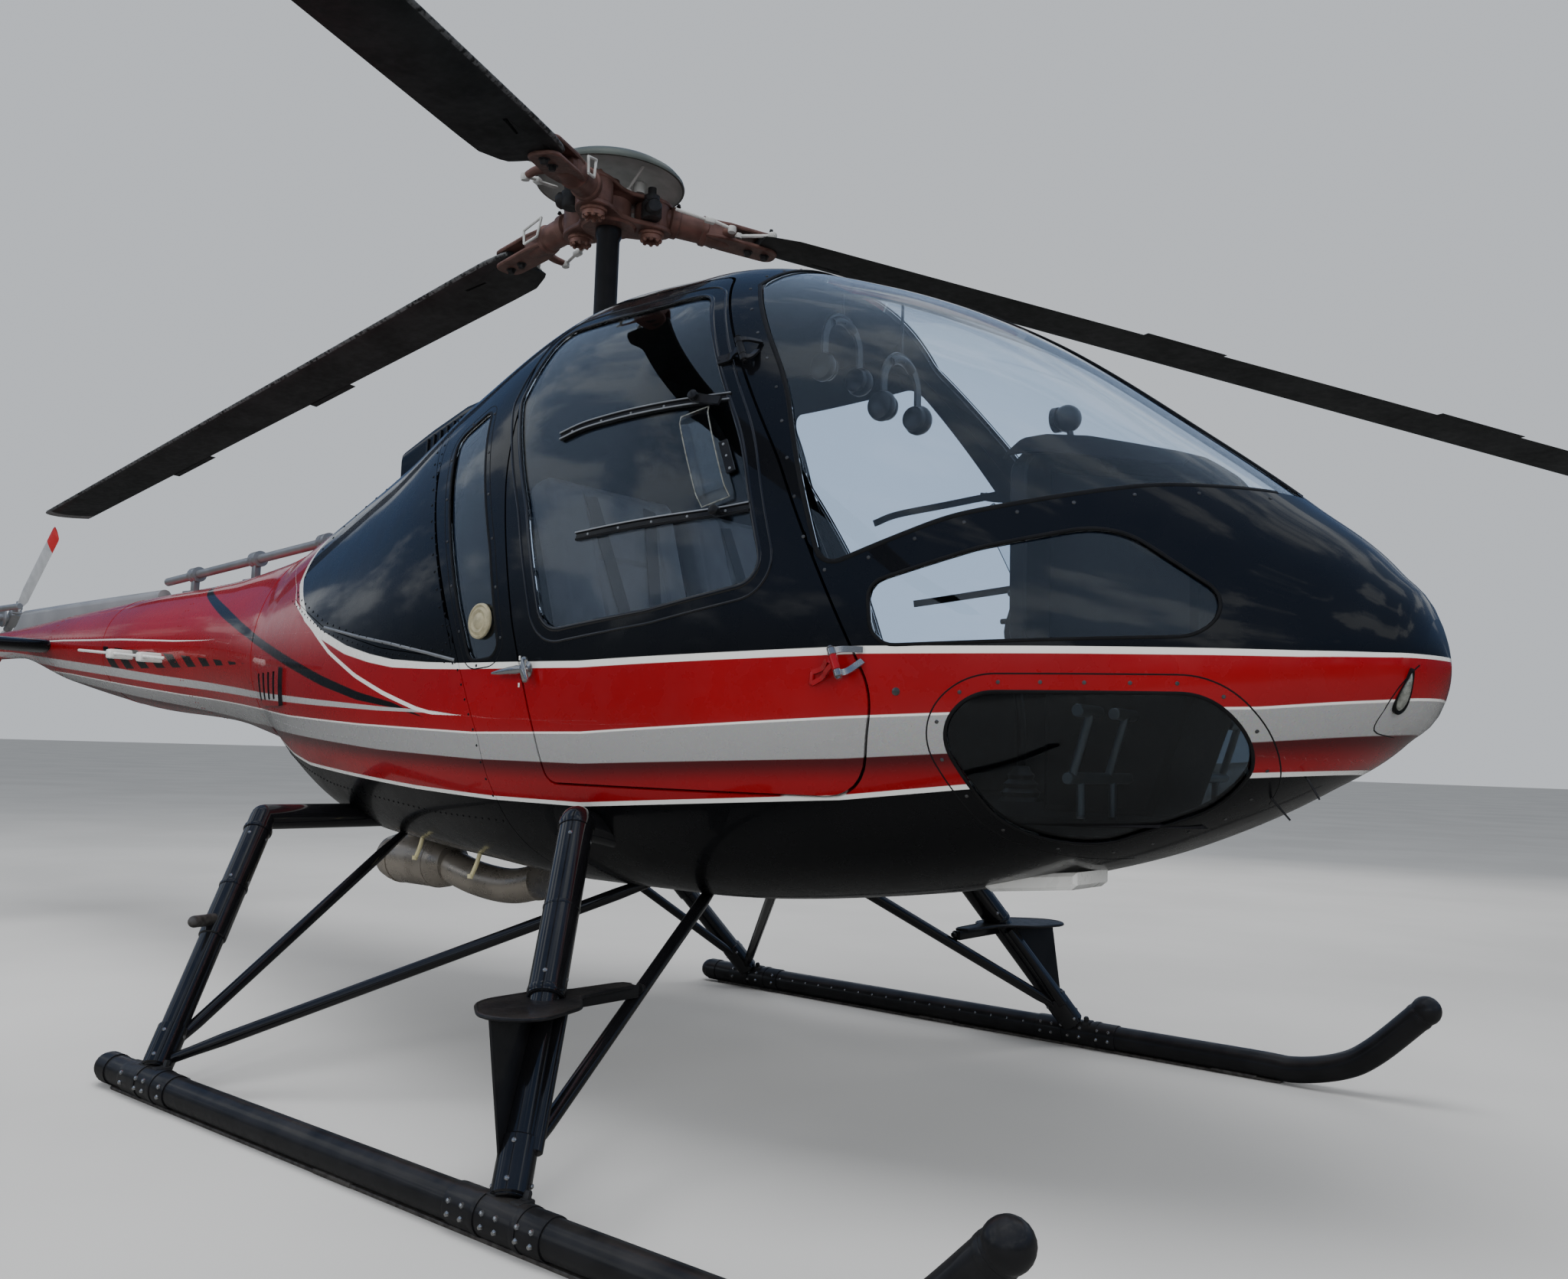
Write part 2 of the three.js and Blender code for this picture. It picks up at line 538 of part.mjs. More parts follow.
add('drive_shaft', join(
  rod([-1000, 0, shaftAt(-1000)], SHAFT_B, 19),
  rod([SHAFT_B[0] + 20, 0, shaftAt(SHAFT_B[0] + 20)], [-5230, 0, 1590], 17),
  ...[-1560, -2080, -2600].map((x) => join(
    rod([x, 0, shaftAt(x)], [x - 40, 0, shaftAt(x - 40)], 34),
    box([x - 36, -14, smooth(1, x) - 20], [x - 4, 14, shaftAt(x) - 10]),
  )),
).subtract(boomClear).subtract(body(AFT_END_X, 0, -GAP)).subtract(
  slab(grown(FIN, GAP), -FIN_HALF - GAP, FIN_HALF + GAP),
), steel);
add('tail_gearbox', join(
  rod([-5230 - GAP, 0, 1584], [-5390, 0, 1584], 62, 50, 12),
  rod([-5310, 0, 1584], [-5310, 105, 1584], 46, 40, 12),
  box([-5385, -35, 1400], [-5250, 35, 1584]),
).subtract(boomClear), steel);

// Wing section: x forward along the chord, z across it, from the leading edge round and back, all in shares
// of the chord.
const AEROFOIL = [[1, 0], [0.94, 0.042], [0.8, 0.06], [0.55, 0.054], [0.25, 0.028], [0, 0.004],
  [0, -0.004], [0.25, -0.028], [0.55, -0.054], [0.8, -0.06], [0.94, -0.042]];

const STABILISER = { leading: -3690, chord: 400, z: 1345, tip: 960, thick: 1.5 };
// Stabiliser stations. Columns: distance from the centre plane, chord share.
const STABILISER_STATIONS = [[60, 1], [STABILISER.tip - 60, 0.86], [STABILISER.tip, 0.7]];
bothSides('stabiliser', (side) => loft(STABILISER_STATIONS.map(([y, share]) => (
  AEROFOIL.map(([along, across]) => [
    STABILISER.leading - STABILISER.chord * (1 - along) * share - (1 - share) * 60,
    side * y,
    STABILISER.z + across * STABILISER.thick * STABILISER.chord * share,
  ])))).subtract(boomClear), satinBlack);
const VENTRAL = [[-4700, 1400], [-5290, 1400], [-5370, 1010], [-5190, 985]];
const VENTRAL_HALF = 13;
add('ventral_fin', slab(VENTRAL, -VENTRAL_HALF, VENTRAL_HALF).subtract(boomClear), red);
const GUARD = [[-5310, 0, 975], [-5520, 0, 835], [-5780, 0, 800], [-6010, 0, 870], [-6120, 0, 1030]];
const GUARD_R = 16;
add('tail_guard', tube(GUARD, GUARD_R)
  .add(rod([-5180, 0, 973], [-5330, 0, 976], GUARD_R))
  .subtract(slab(grown(VENTRAL, GAP), -VENTRAL_HALF - GAP, VENTRAL_HALF + GAP)), satinBlack);

// Side antennas on the boom: two posts that carry a thin rod
bothSides('boom_antenna', (side) => join(
  rod([-2160, side * 340, 1236], [-2980, side * 325, 1290], 7, 7, 10),
  ...[[-2360, 225], [-2640, 210]].map(([x, y]) => box(
    [x - 26, Math.min(side * y, side * 352), 1222 + (-x - 2360) * 0.07],
    [x + 26, Math.max(side * y, side * 352), 1270 + (-x - 2360) * 0.07],
  )),
).subtract(boomClear), silver);

// Belly pod
const pod = slab([[1560, 700], [1580, 628], [1790, 650], [1800, 700]], -190, -20);
add('belly_pod', pod.subtract(body(1200, 2300, -GAP)), silver);

// Exhaust silencer and tail pipe below the belly
add('silencer', join(
  turned([[0, 0], [62, 12], [86, 60], [88, 330], [66, 392], [0, 404]])
    .rotate([0, 90, 0])
    .translate([-1035, 0, 512]),
  rod([-860, 0, 512], [-860, 0, 700], 36),
  rod([-760, 0, 512], [-700, 0, 700], 36),
  tube([[-660, 0, 505], [-500, 0, 470], [-330, 0, 462], [-180, 0, 490]], 58, 12, 5),
).subtract(tube([[-500, 0, 470], [-330, 0, 462], [-180, 0, 490], [-120, 0, 505]], 52, 12, 5))
  .subtract(body(-1300, 300, -GAP)), brown);

// Landing gear
const SKID_KNEE_X = SKID_TIP[0] - 130;
const skidTube = (side, radius) => join(
  rod([SKID_TAIL_X, side * SKID_Y, SKID_Z], [SKID_BEND_X, side * SKID_Y, SKID_Z], radius, radius, 14),
  sphere([SKID_BEND_X, side * SKID_Y, SKID_Z], radius),
  rod([SKID_BEND_X, side * SKID_Y, SKID_Z], [SKID_KNEE_X, side * SKID_Y, 132], radius, radius, 14),
  sphere([SKID_KNEE_X, side * SKID_Y, 132], radius),
  rod([SKID_KNEE_X, side * SKID_Y, 132], [SKID_TIP[0], side * SKID_Y, SKID_TIP[1]], radius, radius, 14),
  sphere([SKID_TIP[0], side * SKID_Y, SKID_TIP[1]], radius + 3),
);
bothSides('skid', (side) => join(
  skidTube(side, SKID_R),
  box([SKID_TAIL_X + 60, side * SKID_Y - 22, 0], [SKID_BEND_X - 40, side * SKID_Y + 22, SHOE + 16]),
), satinBlack);

const clearSkids = join(skidTube(-1, SKID_R + GAP), skidTube(1, SKID_R + GAP));
const on = ([x, y, z], side) => [x, y * -side, z];
const between = (a, b, t) => a.map((value, i) => value + (b[i] - value) * t);
const bodyClear = body(AFT_END_X, NOSE_X - 30, -GAP);

add('front_cross_tube', frontTube.add(sphere(FRONT_TOP, SLEEVE_R)).add(sphere(flip(FRONT_TOP), SLEEVE_R))
  .subtract(bodyClear).add(frontTube), satinBlack);
add('rear_cross_tube', rearTube
  .add(sphere(REAR_TOP, CROSS_R))
  .add(sphere(flip(REAR_TOP), CROSS_R)), satinBlack);

// Each leg with its drag braces and step. Leg columns: name, top, foot, radius of the ball at its top,
// braces as [share of the leg from its foot, point on the belly].
const LEGS = [
  ['front_leg', FRONT_TOP, FRONT_FOOT, SLEEVE_R + 2, [[0.1, [800, -235, 600]]]],
  ['rear_leg', REAR_TOP, REAR_FOOT, CROSS_R + 1, [[0.09, [-470, -330, 640]], [0.06, [640, -230, 600]]]],
];
const STEP_SHARE = 0.47;      // of the leg's length, where the wide sleeve ends at the step
const stepAt = between(FRONT_TOP, FRONT_FOOT, STEP_SHARE + 0.03);
const legSolid = (top, foot, side) => join(
  rod(on(top, side), on(between(top, foot, STEP_SHARE), side), SLEEVE_R),
  rod(on(between(top, foot, STEP_SHARE - 0.02), side), on(foot, side), LEG_R + 4),
  rod(on(between(top, foot, 0.86), side), on(foot, side), SLEEVE_R - 2),
);
const STEP_HALF = 4;             // of the plate's thickness
// The gusset between the leg and the step's outer end, down to the foot
const GUSSET = [[1045, -1178, stepAt[2]], stepAt, between(FRONT_TOP, FRONT_FOOT, 0.9), [1092, -1172, 105]];
function flatBar(side, x, y, z) {
  const across = y.map((value) => side * value).sort((a, b) => a - b);
  return box([x[0], across[0], z[0]], [x[1], across[1], z[1]]);
}
const stepSolid = (side) => join(
  flatBar(side, [905, 1115], [920, 1190], [stepAt[2] - STEP_HALF, stepAt[2] + STEP_HALF]),
  flatBar(side, [953, 979], [700, 960], [stepAt[2] - 32, stepAt[2]]),
  loft([-STEP_HALF, STEP_HALF].map((shift) => GUSSET.map(([x, y, z]) => on([x + shift, y, z], side)))),
);
for (const [name, top, foot, ball, braces] of LEGS) {
  bothSides(name, (side) => largest(join(
    legSolid(top, foot, side),
    ...braces.map(([share, belly]) => rod(on(between(foot, top, share), side), on(belly, side), BRACE_R)),
    ...(name === 'front_leg' ? [stepSolid(side)] : []),
  ).subtract(sphere(on(top, side), ball + GAP))
    .subtract(rod(top, flip(top), CROSS_R + GAP))
    .subtract(bodyClear)
    .subtract(clearSkids)), satinBlack);
}

// Main rotor: mast, hub and cap on the mast's axis, then three arms that droop from their flap hinges
const rotor = new THREE.Group();
aircraft.add(rotor);
const HUB_HALF = 55;
const LOBE_R = 72;
const LOBE_SHARE = 0.72;         // of the flap hinge's radius
const CAP_SEAT = 108;            // above the hub's middle
const hubLobes = [0, 1, 2].map((i) => {
  const angle = THREE.MathUtils.degToRad(FIRST_BLADE + 120 * i);
  const lobe = [FLAP_HINGE * LOBE_SHARE * Math.cos(angle), FLAP_HINGE * LOBE_SHARE * Math.sin(angle)];
  return rod([...lobe, HUB_Z - HUB_HALF], [...lobe, HUB_Z + HUB_HALF], LOBE_R, LOBE_R, 12);
});
add('rotor_mast_and_hub', join(
  rod([0, 0, MAST_FOOT_Z], [0, 0, HUB_Z], MAST_R, MAST_R, 16),
  rod([0, 0, HUB_Z - HUB_HALF], [0, 0, HUB_Z + HUB_HALF], 130, 130, 18),
  ...hubLobes,
  rod([0, 0, HUB_Z + HUB_HALF], [0, 0, HUB_Z + CAP_SEAT], 30),
), bronze, rotor);
add('rotor_cap', turned([
  [0, CAP_SEAT + GAP], [36, CAP_SEAT + GAP], [232, 86], [245, 84],
  [246, 96], [205, 130], [120, 158], [0, 170],
], [0, 0, HUB_Z], 24), bladeGrey, rotor);

// Blade stations. Columns: radius, chord share, twist in degrees.
const BLADE_STATIONS = [[BLADE_ROOT + 8, 0.5, 8], [760, 1, 7.5], [2800, 1, 3], [BLADE_TIP, 1, 0]];
const bladeRing = (chord) => ([radius, share, twist]) => {
  const turn = THREE.MathUtils.degToRad(twist);
  return AEROFOIL.map(([along, across]) => {
    const [c, t] = [(along - 0.75) * chord * (share < 1 ? 0.75 : 1), across * chord * 1.12];
    const [cosine, sine] = [Math.cos(turn), Math.sin(turn)];
    return [radius - FLAP_HINGE, c * cosine - t * sine, c * sine + t * cosine];
  });
};
for (let i = 0; i < 3; i += 1) {
  const arm = new THREE.Group();
  arm.rotation.z = THREE.MathUtils.degToRad(FIRST_BLADE + 120 * i);
  const flap = new THREE.Group();
  flap.position.set(FLAP_HINGE, 0, HUB_Z);
  flap.rotation.y = THREE.MathUtils.degToRad(DROOP);
  arm.add(flap);
  rotor.add(arm);
  const root = BLADE_ROOT - FLAP_HINGE;
  add(`blade_grip_${i + 1}`, join(
    rod([22, 0, 0], [150, 0, 0], 50, 44, 10),
    rod([140, 0, 0], [root + 10, 0, 0], 42, 34, 10),
    box([root - 90, -62, 18], [root + 60, 40, 30]),
    box([root - 90, -62, -30], [root + 60, 40, -18]),
    rod([200, -30, -10], [170, -150, -30], 12),
  ).subtract(box([root + 2, -70, -18 - GAP], [root + 80, 60, 18 + GAP])), bronze, flap);
  add(`main_blade_${i + 1}`, loft(BLADE_STATIONS.map(bladeRing(BLADE_CHORD)))
    .subtract(box([0, -200, 18 - GAP], [root + 60 + GAP, 200, 60]))
    .subtract(box([0, -200, -60], [root + 60 + GAP, 200, -18 + GAP])), bladeGrey, flap);
}

// Tail rotor: hub on the output shaft and two blades in the plane beside the boom
const tail = new THREE.Group();
tail.position.set(...TAIL_HUB);
tail.rotation.y = -THREE.MathUtils.degToRad(TAIL_BLADE_ANGLE);
aircraft.add(tail);
// Tail blade stations. Columns: radius, chord share.
const TAIL_STATIONS = [[80, 0.5], [190, 1], [TAIL_RADIUS, 1]];
const TAIL_CHORD = 115;
const TAIL_DEPTH = 168;
const tailRing = ([radius, share]) => AEROFOIL.map(([along, across]) => [
  radius, across * TAIL_DEPTH, (along - 0.6) * TAIL_CHORD * share,
]);
const tailBlade = loft(TAIL_STATIONS.map(tailRing));
add('tail_rotor', join(
  rod([0, 105 + GAP - TAIL_HUB[1], 0], [0, 34, 0], 22, 22, 10),
  rod([-95, 0, 0], [95, 0, 0], 24, 24, 10),
  rod([0, 20, 0], [0, 48, 0], 34, 28, 10),
  tailBlade,
  tailBlade.rotate([0, 180, 0]),
), steel, tail);

// The whole moves so that its origin is on the ground, under the middle of its overall box
const reach = new THREE.Box3().setFromObject(aircraft, true);
aircraft.position.set(-(reach.min.x + reach.max.x) / 2, -(reach.min.y + reach.max.y) / 2, -reach.min.z);

export default aircraft;
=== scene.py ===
"""Looks of a light helicopter on skids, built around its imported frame.

Points are worked out in metres with X 0 at the rotor mast, Y 0 on the centre plane and Z 0 on the ground. X
points to the nose and Y to port. SHIFT moves them into the frame when a mesh is made.
"""

import json
import math
from functools import partial

import bpy
import numpy as np
from bpy.props import FloatProperty, FloatVectorProperty, PointerProperty
from mathutils import Matrix, Vector
from mathutils.bvhtree import BVHTree

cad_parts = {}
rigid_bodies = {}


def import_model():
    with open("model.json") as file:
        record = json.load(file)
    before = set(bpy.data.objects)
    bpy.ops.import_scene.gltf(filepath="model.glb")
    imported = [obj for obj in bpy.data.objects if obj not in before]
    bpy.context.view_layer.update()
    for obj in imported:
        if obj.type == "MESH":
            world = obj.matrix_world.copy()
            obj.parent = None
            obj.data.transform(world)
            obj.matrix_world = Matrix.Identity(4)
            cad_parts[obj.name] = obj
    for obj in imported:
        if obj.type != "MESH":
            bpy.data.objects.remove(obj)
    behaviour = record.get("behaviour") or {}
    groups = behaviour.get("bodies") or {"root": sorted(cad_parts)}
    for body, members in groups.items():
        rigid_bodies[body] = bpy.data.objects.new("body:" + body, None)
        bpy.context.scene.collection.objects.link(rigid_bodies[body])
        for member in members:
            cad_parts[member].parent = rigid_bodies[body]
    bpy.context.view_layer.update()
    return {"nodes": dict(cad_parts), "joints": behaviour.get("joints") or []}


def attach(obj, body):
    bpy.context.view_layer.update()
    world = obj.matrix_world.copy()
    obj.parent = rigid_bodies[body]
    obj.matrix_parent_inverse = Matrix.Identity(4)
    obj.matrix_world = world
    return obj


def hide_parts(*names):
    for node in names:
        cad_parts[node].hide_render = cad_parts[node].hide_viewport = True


bl_info = {
    "name": "Light helicopter",
    "version": (1, 0, 0),
    "blender": (4, 5, 0),
    "location": "3D View > Sidebar > Helicopter",
    "description": "Builds the helicopter's visual pieces round its frame",
    "category": "Add Mesh",
}

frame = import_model()
JOINTS = {joint["name"]: joint for joint in frame["joints"]}
SHIFT = np.array([*JOINTS["main_rotor_spin"]["pos_m"][:2], 0.0])
GROUND_Z = 0.0

# Body sections. Columns: x, crown z, keel z, widest z, half width, crown power, keel power.
SECTIONS = np.array([
    (2.515, 1.165, 1.125, 1.145, 0.020, 2.0, 2.0),
    (2.490, 1.245, 1.060, 1.140, 0.105, 2.0, 2.0),
    (2.420, 1.345, 0.985, 1.135, 0.205, 2.0, 2.0),
    (2.250, 1.500, 0.875, 1.125, 0.355, 2.1, 2.1),
    (2.000, 1.700, 0.755, 1.110, 0.500, 2.2, 2.2),
    (1.650, 1.955, 0.650, 1.095, 0.630, 2.3, 2.4),
    (1.250, 2.155, 0.580, 1.080, 0.720, 2.4, 2.6),
    (0.800, 2.270, 0.545, 1.070, 0.765, 2.5, 2.7),
    (0.400, 2.265, 0.545, 1.070, 0.760, 2.5, 2.7),
    (0.000, 2.135, 0.565, 1.080, 0.725, 2.4, 2.6),
    (-0.400, 1.965, 0.590, 1.100, 0.655, 2.3, 2.5),
    (-0.800, 1.835, 0.625, 1.140, 0.560, 2.2, 2.3),
    (-1.150, 1.735, 0.735, 1.190, 0.460, 2.1, 2.1),
    (-1.350, 1.685, 0.830, 1.220, 0.400, 2.0, 2.0),
    (-1.850, 1.610, 0.955, 1.285, 0.305, 2.0, 2.0),
    (-2.850, 1.557, 1.048, 1.310, 0.245, 2.0, 2.0),
    (-3.700, 1.513, 1.170, 1.345, 0.165, 2.0, 2.0),
    (-4.500, 1.465, 1.310, 1.388, 0.080, 2.0, 2.0),
    (-5.330, 1.435, 1.300, 1.368, 0.066, 2.0, 2.0),
])[::-1]
# The nose tip is a piece of its own from NOSE_TIP_FROM on. From NOSE_DOME_FROM to NOSE_X it is rounded off.
NOSE_TIP_FROM = 2.4915
NOSE_DOME_FROM = 2.5
NOSE_X = 2.515
AFT_END_X = -1.35
BOOM_END_X = -5.33
# Where rivets and raised bands run round the boom.
BOOM_SEAMS = (-1.4, -2.2, -2.98, -3.72, -4.46, -5.15)
BOOM_BANDS = (-1.4, -2.98)

# Outlines in side view. Columns: x, z, corner radius.
SEAM = [(0.47, 0.3), (0.45, 0.79), (0.42, 0.95), (0.335, 1.12), (0.085, 1.613), (-0.15, 2.1), (-0.24, 2.5)]
AHEAD = [*SEAM, (3.0, 2.5), (3.0, 0.3)]
DOOR = [
    (0.32, 2.165, 0.04), (0.925, 2.165, 0.06), (1.3, 1.59, 0.9), (1.57, 1.06, 0.16), (1.53, 0.838, 0.11),
    (0.672, 0.838, 0.04), (0.64, 0.96, 0.2), (0.54, 1.23, 0.5), (0.43, 1.62, 0.9),
]
DOOR_WINDOW = [
    (0.39, 2.075, 0.06), (0.925, 2.09, 0.07), (1.2, 1.64, 0.6), (1.31, 1.305, 0.06), (1.0, 1.245, 0.4),
    (0.655, 1.205, 0.08), (0.545, 1.53, 0.5), (0.385, 1.85, 0.06),
]
# The windshield's rear edge across the roof, the height where its post starts, and where its sill ends.
WINDSHIELD_REAR = 1.03
POST_TOP = 2.1
SILL_END = 2.225
WINDSHIELD = [
    (WINDSHIELD_REAR, 2.5), (WINDSHIELD_REAR, 2.11, 0.06), (1.27, 1.775, 0.7), (1.44, 1.325, 0.045),
    (1.7, 1.43, 0.5), (2.05, 1.5, 0.5), (2.232, 1.505, 0.01), (2.5, 1.56), (2.5, 2.5),
]
FRONT_WINDOW = [
    (1.545, 1.29, 0.04), (1.76, 1.36, 0.3), (2.0, 1.41, 0.16), (2.225, 1.243, 0.055), (2.15, 1.18, 0.07),
    (1.56, 1.158, 0.055),
]
CHIN_WINDOW = [
    (1.69, 1.0, 0.095), (1.775, 1.066, 0.1), (2.18, 1.07, 0.09), (2.25, 0.96, 0.09), (2.14, 0.85, 0.34),
    (1.88, 0.748, 0.18), (1.77, 0.79, 0.1),
]
QUARTER_WINDOW = [
    (0.235, 1.86, 0.03), (0.085, 1.79, 0.04), (0.3, 1.29, 0.2), (0.375, 1.14, 0.04), (0.5, 1.15, 0.04),
    (0.42, 1.43, 0.3),
]
ENGINE_PANEL = [
    (0.3, 1.15), (-0.09, 1.192), (-0.54, 1.275), (-0.935, 1.4), (-0.915, 1.56), (-0.76, 1.7), (-0.19, 1.99),
    (0.06, 1.65),
]
TOP_COWL = [(0.12, 2.5), (0.12, 1.9), (-1.0, 1.5), (-1.0, 2.5)]
VENT = [(-1.26, 1.04), (-1.26, 1.18), (-0.93, 1.165), (-0.93, 1.035)]
# Distances from the centre plane at which openings start.
STRIP_HALF = 0.018
CHIN_START = 0.12
WINDOW_START = 0.2
DOOR_START = 0.156
# Windows of the cabin shell. Columns: name, outline, distance from the centre plane at which it starts.
WINDOWS = [
    ("windshield", WINDSHIELD, STRIP_HALF),
    ("front_window", FRONT_WINDOW, WINDOW_START),
    ("chin_window", CHIN_WINDOW, CHIN_START),
    ("quarter_window", QUARTER_WINDOW, WINDOW_START),
]
SIDES = (("right", -1), ("left", 1))
# The turns, from the port side up, that go right round a section and that cover one side of it.
FULL_TURN = (-math.pi / 2, 1.5 * math.pi)
HALF_TURNS = {-1: (math.pi / 2, 1.5 * math.pi), 1: (-math.pi / 2, math.pi / 2)}
# Walls of the painted skin and of a pane, half of the slot between two panels, and the gap round a door.
THICK_WALL = 0.022
THIN_WALL = 0.012
PANE_WALL = 0.005
HALF_SLOT = 0.0012
DOOR_GAP = 0.006

# Paint lines in side view, from the tail to the nose. Columns: x, z, half width of the line.
BELT = [
    (-0.93, 2.3, 0.012), (-0.94, 1.7, 0.012), (-0.955, 1.55, 0.014), (-0.93, 1.46, 0.014),
    (-0.838, 1.385, 0.013), (-0.749, 1.323, 0.013), (-0.577, 1.259, 0.013), (-0.341, 1.197, 0.013),
    (-0.166, 1.166, 0.012), (-0.015, 1.146, 0.011), (0.177, 1.135, 0.009), (0.329, 1.13, 0.008),
    (0.8, 1.126, 0.008), (1.54, 1.15, 0.008), (2.08, 1.151, 0.007), (2.32, 1.152, 0.006),
    (2.49, 1.158, 0.004), (2.7, 1.165, 0.004),
]
SWEEP_LINE = [
    (-1.2, 1.56, 0.0), (-0.96, 1.44, 0.001), (-0.902, 1.382, 0.004), (-0.652, 1.278, 0.006),
    (-0.472, 1.195, 0.006), (-0.256, 1.118, 0.006), (-0.061, 1.064, 0.006), (0.128, 1.02, 0.0055),
    (0.212, 1.008, 0.004), (0.361, 1.001, 0.0), (0.8, 0.99, 0.0),
]
BOOM_LINE = [
    (-5.4, 1.372, 0.01), (-4.392, 1.318, 0.016), (-3.587, 1.253, 0.02), (-2.864, 1.198, 0.02),
    (-2.381, 1.156, 0.018), (-1.414, 1.085, 0.013), (-0.548, 1.042, 0.009), (-0.087, 1.021, 0.006),
    (0.212, 1.011, 0.003), (0.361, 1.001, 0.0), (0.8, 0.985, 0.0),
]
SLASH = [
    (-2.4, 1.62, 0.0), (-2.118, 1.514, 0.011), (-1.79, 1.412, 0.02), (-1.549, 1.337, 0.018),
    (-1.333, 1.279, 0.016), (-0.883, 1.184, 0.016), (-0.513, 1.108, 0.015), (-0.23, 1.058, 0.012),
    (-0.002, 1.03, 0.007), (0.178, 0.995, 0.0), (0.5, 0.95, 0.0),
]
SEAM_LINE = [
    (-5.4, 1.395, 0.0), (-4.6, 1.385, 0.002), (-3.525, 1.362, 0.0035), (-3.143, 1.349, 0.0035),
    (-2.74, 1.337, 0.0035), (-2.207, 1.313, 0.003), (-1.792, 1.301, 0.0), (-1.0, 1.28, 0.0),
]
LOW_LINE = [
    (-2.6, 0.4, 0.004), (-2.0, 0.82, 0.004), (-1.5, 0.935, 0.005), (-1.2, 0.93, 0.005),
    (-0.986, 0.878, 0.005), (-0.758, 0.849, 0.005), (-0.317, 0.826, 0.005), (0.062, 0.807, 0.005),
    (0.437, 0.795, 0.005), (0.769, 0.794, 0.005), (1.471, 0.842, 0.005), (1.729, 0.875, 0.005),
    (2.202, 0.916, 0.005), (2.339, 0.928, 0.004), (2.55, 0.955, 0.003),
]
# The silver band's upper and lower edges, and the roof panel. Columns: x and z, or x and half width.
BAND_TOP = [
    (-5.4, 1.33), (-3.5, 1.2), (-2.272, 1.093), (-1.511, 1.038), (-0.862, 1.0), (-0.231, 0.974),
    (0.396, 0.956), (0.81, 0.962), (1.5, 1.007), (1.7, 1.018), (2.25, 1.044), (2.45, 1.068), (2.6, 1.09),
]
BAND_LOW = [
    (-5.4, 1.32), (-3.5, 1.165), (-2.381, 1.052), (-1.741, 0.985), (-0.846, 0.943), (-0.105, 0.906),
    (0.407, 0.892), (0.803, 0.892), (1.49, 0.924), (1.69, 0.94), (2.24, 0.982), (2.43, 1.005), (2.6, 1.03),
]
ROOF_FROM = 1.9
# Half of the step in which one paint turns into the next.
SOFT_EDGE = 0.0015
ROOF_HALF = [(0.1, -0.05), (0.22, 0.0), (0.45, 0.1), (0.8, 0.15), (1.1, 0.13), (1.4, 0.07), (1.6, 0.0),
             (1.8, -0.05)]

# The aft body: all that lies behind the seam, the engine panels' upper edge across the roof, and the vents.
BEHIND = [*SEAM, (-3.0, 2.5), (-3.0, 0.3)]
PANEL_TOP_Y = 0.24
VENT_START = 0.1
VENT_SLOTS = (-1.2, -1.13, -1.06, -0.99)
VENT_SLOT_Z = 1.105

# The tail. FIN holds the shaft cover's top edge, VENTRAL the lower fin's outline: columns x, z.
FIN = [(-2.9, 1.5965), (-3.4, 1.588), (-3.9, 1.579), (-4.44, 1.567), (-4.5, 1.5), (-4.54, 1.482),
       (-4.541, 1.47)]
COVER_HALF = 0.0315
SHAFT_A = np.array([-1.49, 0, 1.722])
SHAFT_B = np.array([-2.88, 0, 1.63])
VENTRAL = [(-4.7, 1.36), (-5.29, 1.34), (-5.35, 1.2), (-5.372, 1.06), (-5.36, 1.02), (-5.33, 1.0),
           (-5.2, 0.987), (-5.16, 0.996)]
TAIL_HUB = np.array([-5.31, 0.25, 1.584])
# The first tail blade's angle in degrees, and the distance from the hub at which the blades turn red.
TAIL_BLADE_ANGLE = 43
TAIL_RED_FROM = 0.6
STABILISER_LEADING = -3.69
STABILISER_CHORD = 0.4
STABILISER_Z = 1.345
# Head radii of the rivets on the boom, the screws round panels and windows, and the rivets on the rails.
BOOM_RIVET = 0.0028
SCREW_RADIUS = 0.0042
RAIL_RIVET = 0.0035
# The middle of the silencer's rear end.
SILENCER_END = (-1.035, 0, 0.512)

# The main rotor: the hub's height, the flap hinges' distance from the mast, the arms' droop in radians, the
# first arm's direction in degrees, and the lobes' distance from the mast.
HUB_Z = 2.7
FLAP_HINGE = 0.2
DROOP = math.radians(6.5)
FIRST_BLADE = 57
LOBE = 0.144
# Blade stations. Columns: radius, trailing edge, leading edge, thickness in chords, twist in degrees.
BLADE_STATIONS = np.array([
    (0.5085, -0.135, 0.044, 0.17, 8.0),
    (0.535, -0.15, 0.05, 0.165, 7.9),
    (0.62, -0.178, 0.058, 0.15, 7.7),
    (0.76, -0.18, 0.06, 0.134, 7.5),
    (1.4, -0.18, 0.06, 0.134, 6.1),
    (2.8, -0.18, 0.06, 0.134, 3.0),
    (4.0, -0.18, 0.06, 0.134, 1.2),
    (4.84, -0.18, 0.06, 0.134, 0.05),
    (4.869, -0.178, 0.054, 0.11, 0.0),
    (4.8768, -0.16, 0.035, 0.03, 0.0),
])

# The landing gear.
SKID_Y = 1.195
SKID_R = 0.038
SKID_Z = 0.045
FRONT_TOP, FRONT_FOOT = np.array((0.792, 0.742, 0.752)), np.array((1.142, SKID_Y, SKID_Z))
REAR_TOP, REAR_FOOT = np.array((-0.587, 0.75, 0.69)), np.array((-0.262, SKID_Y, SKID_Z))
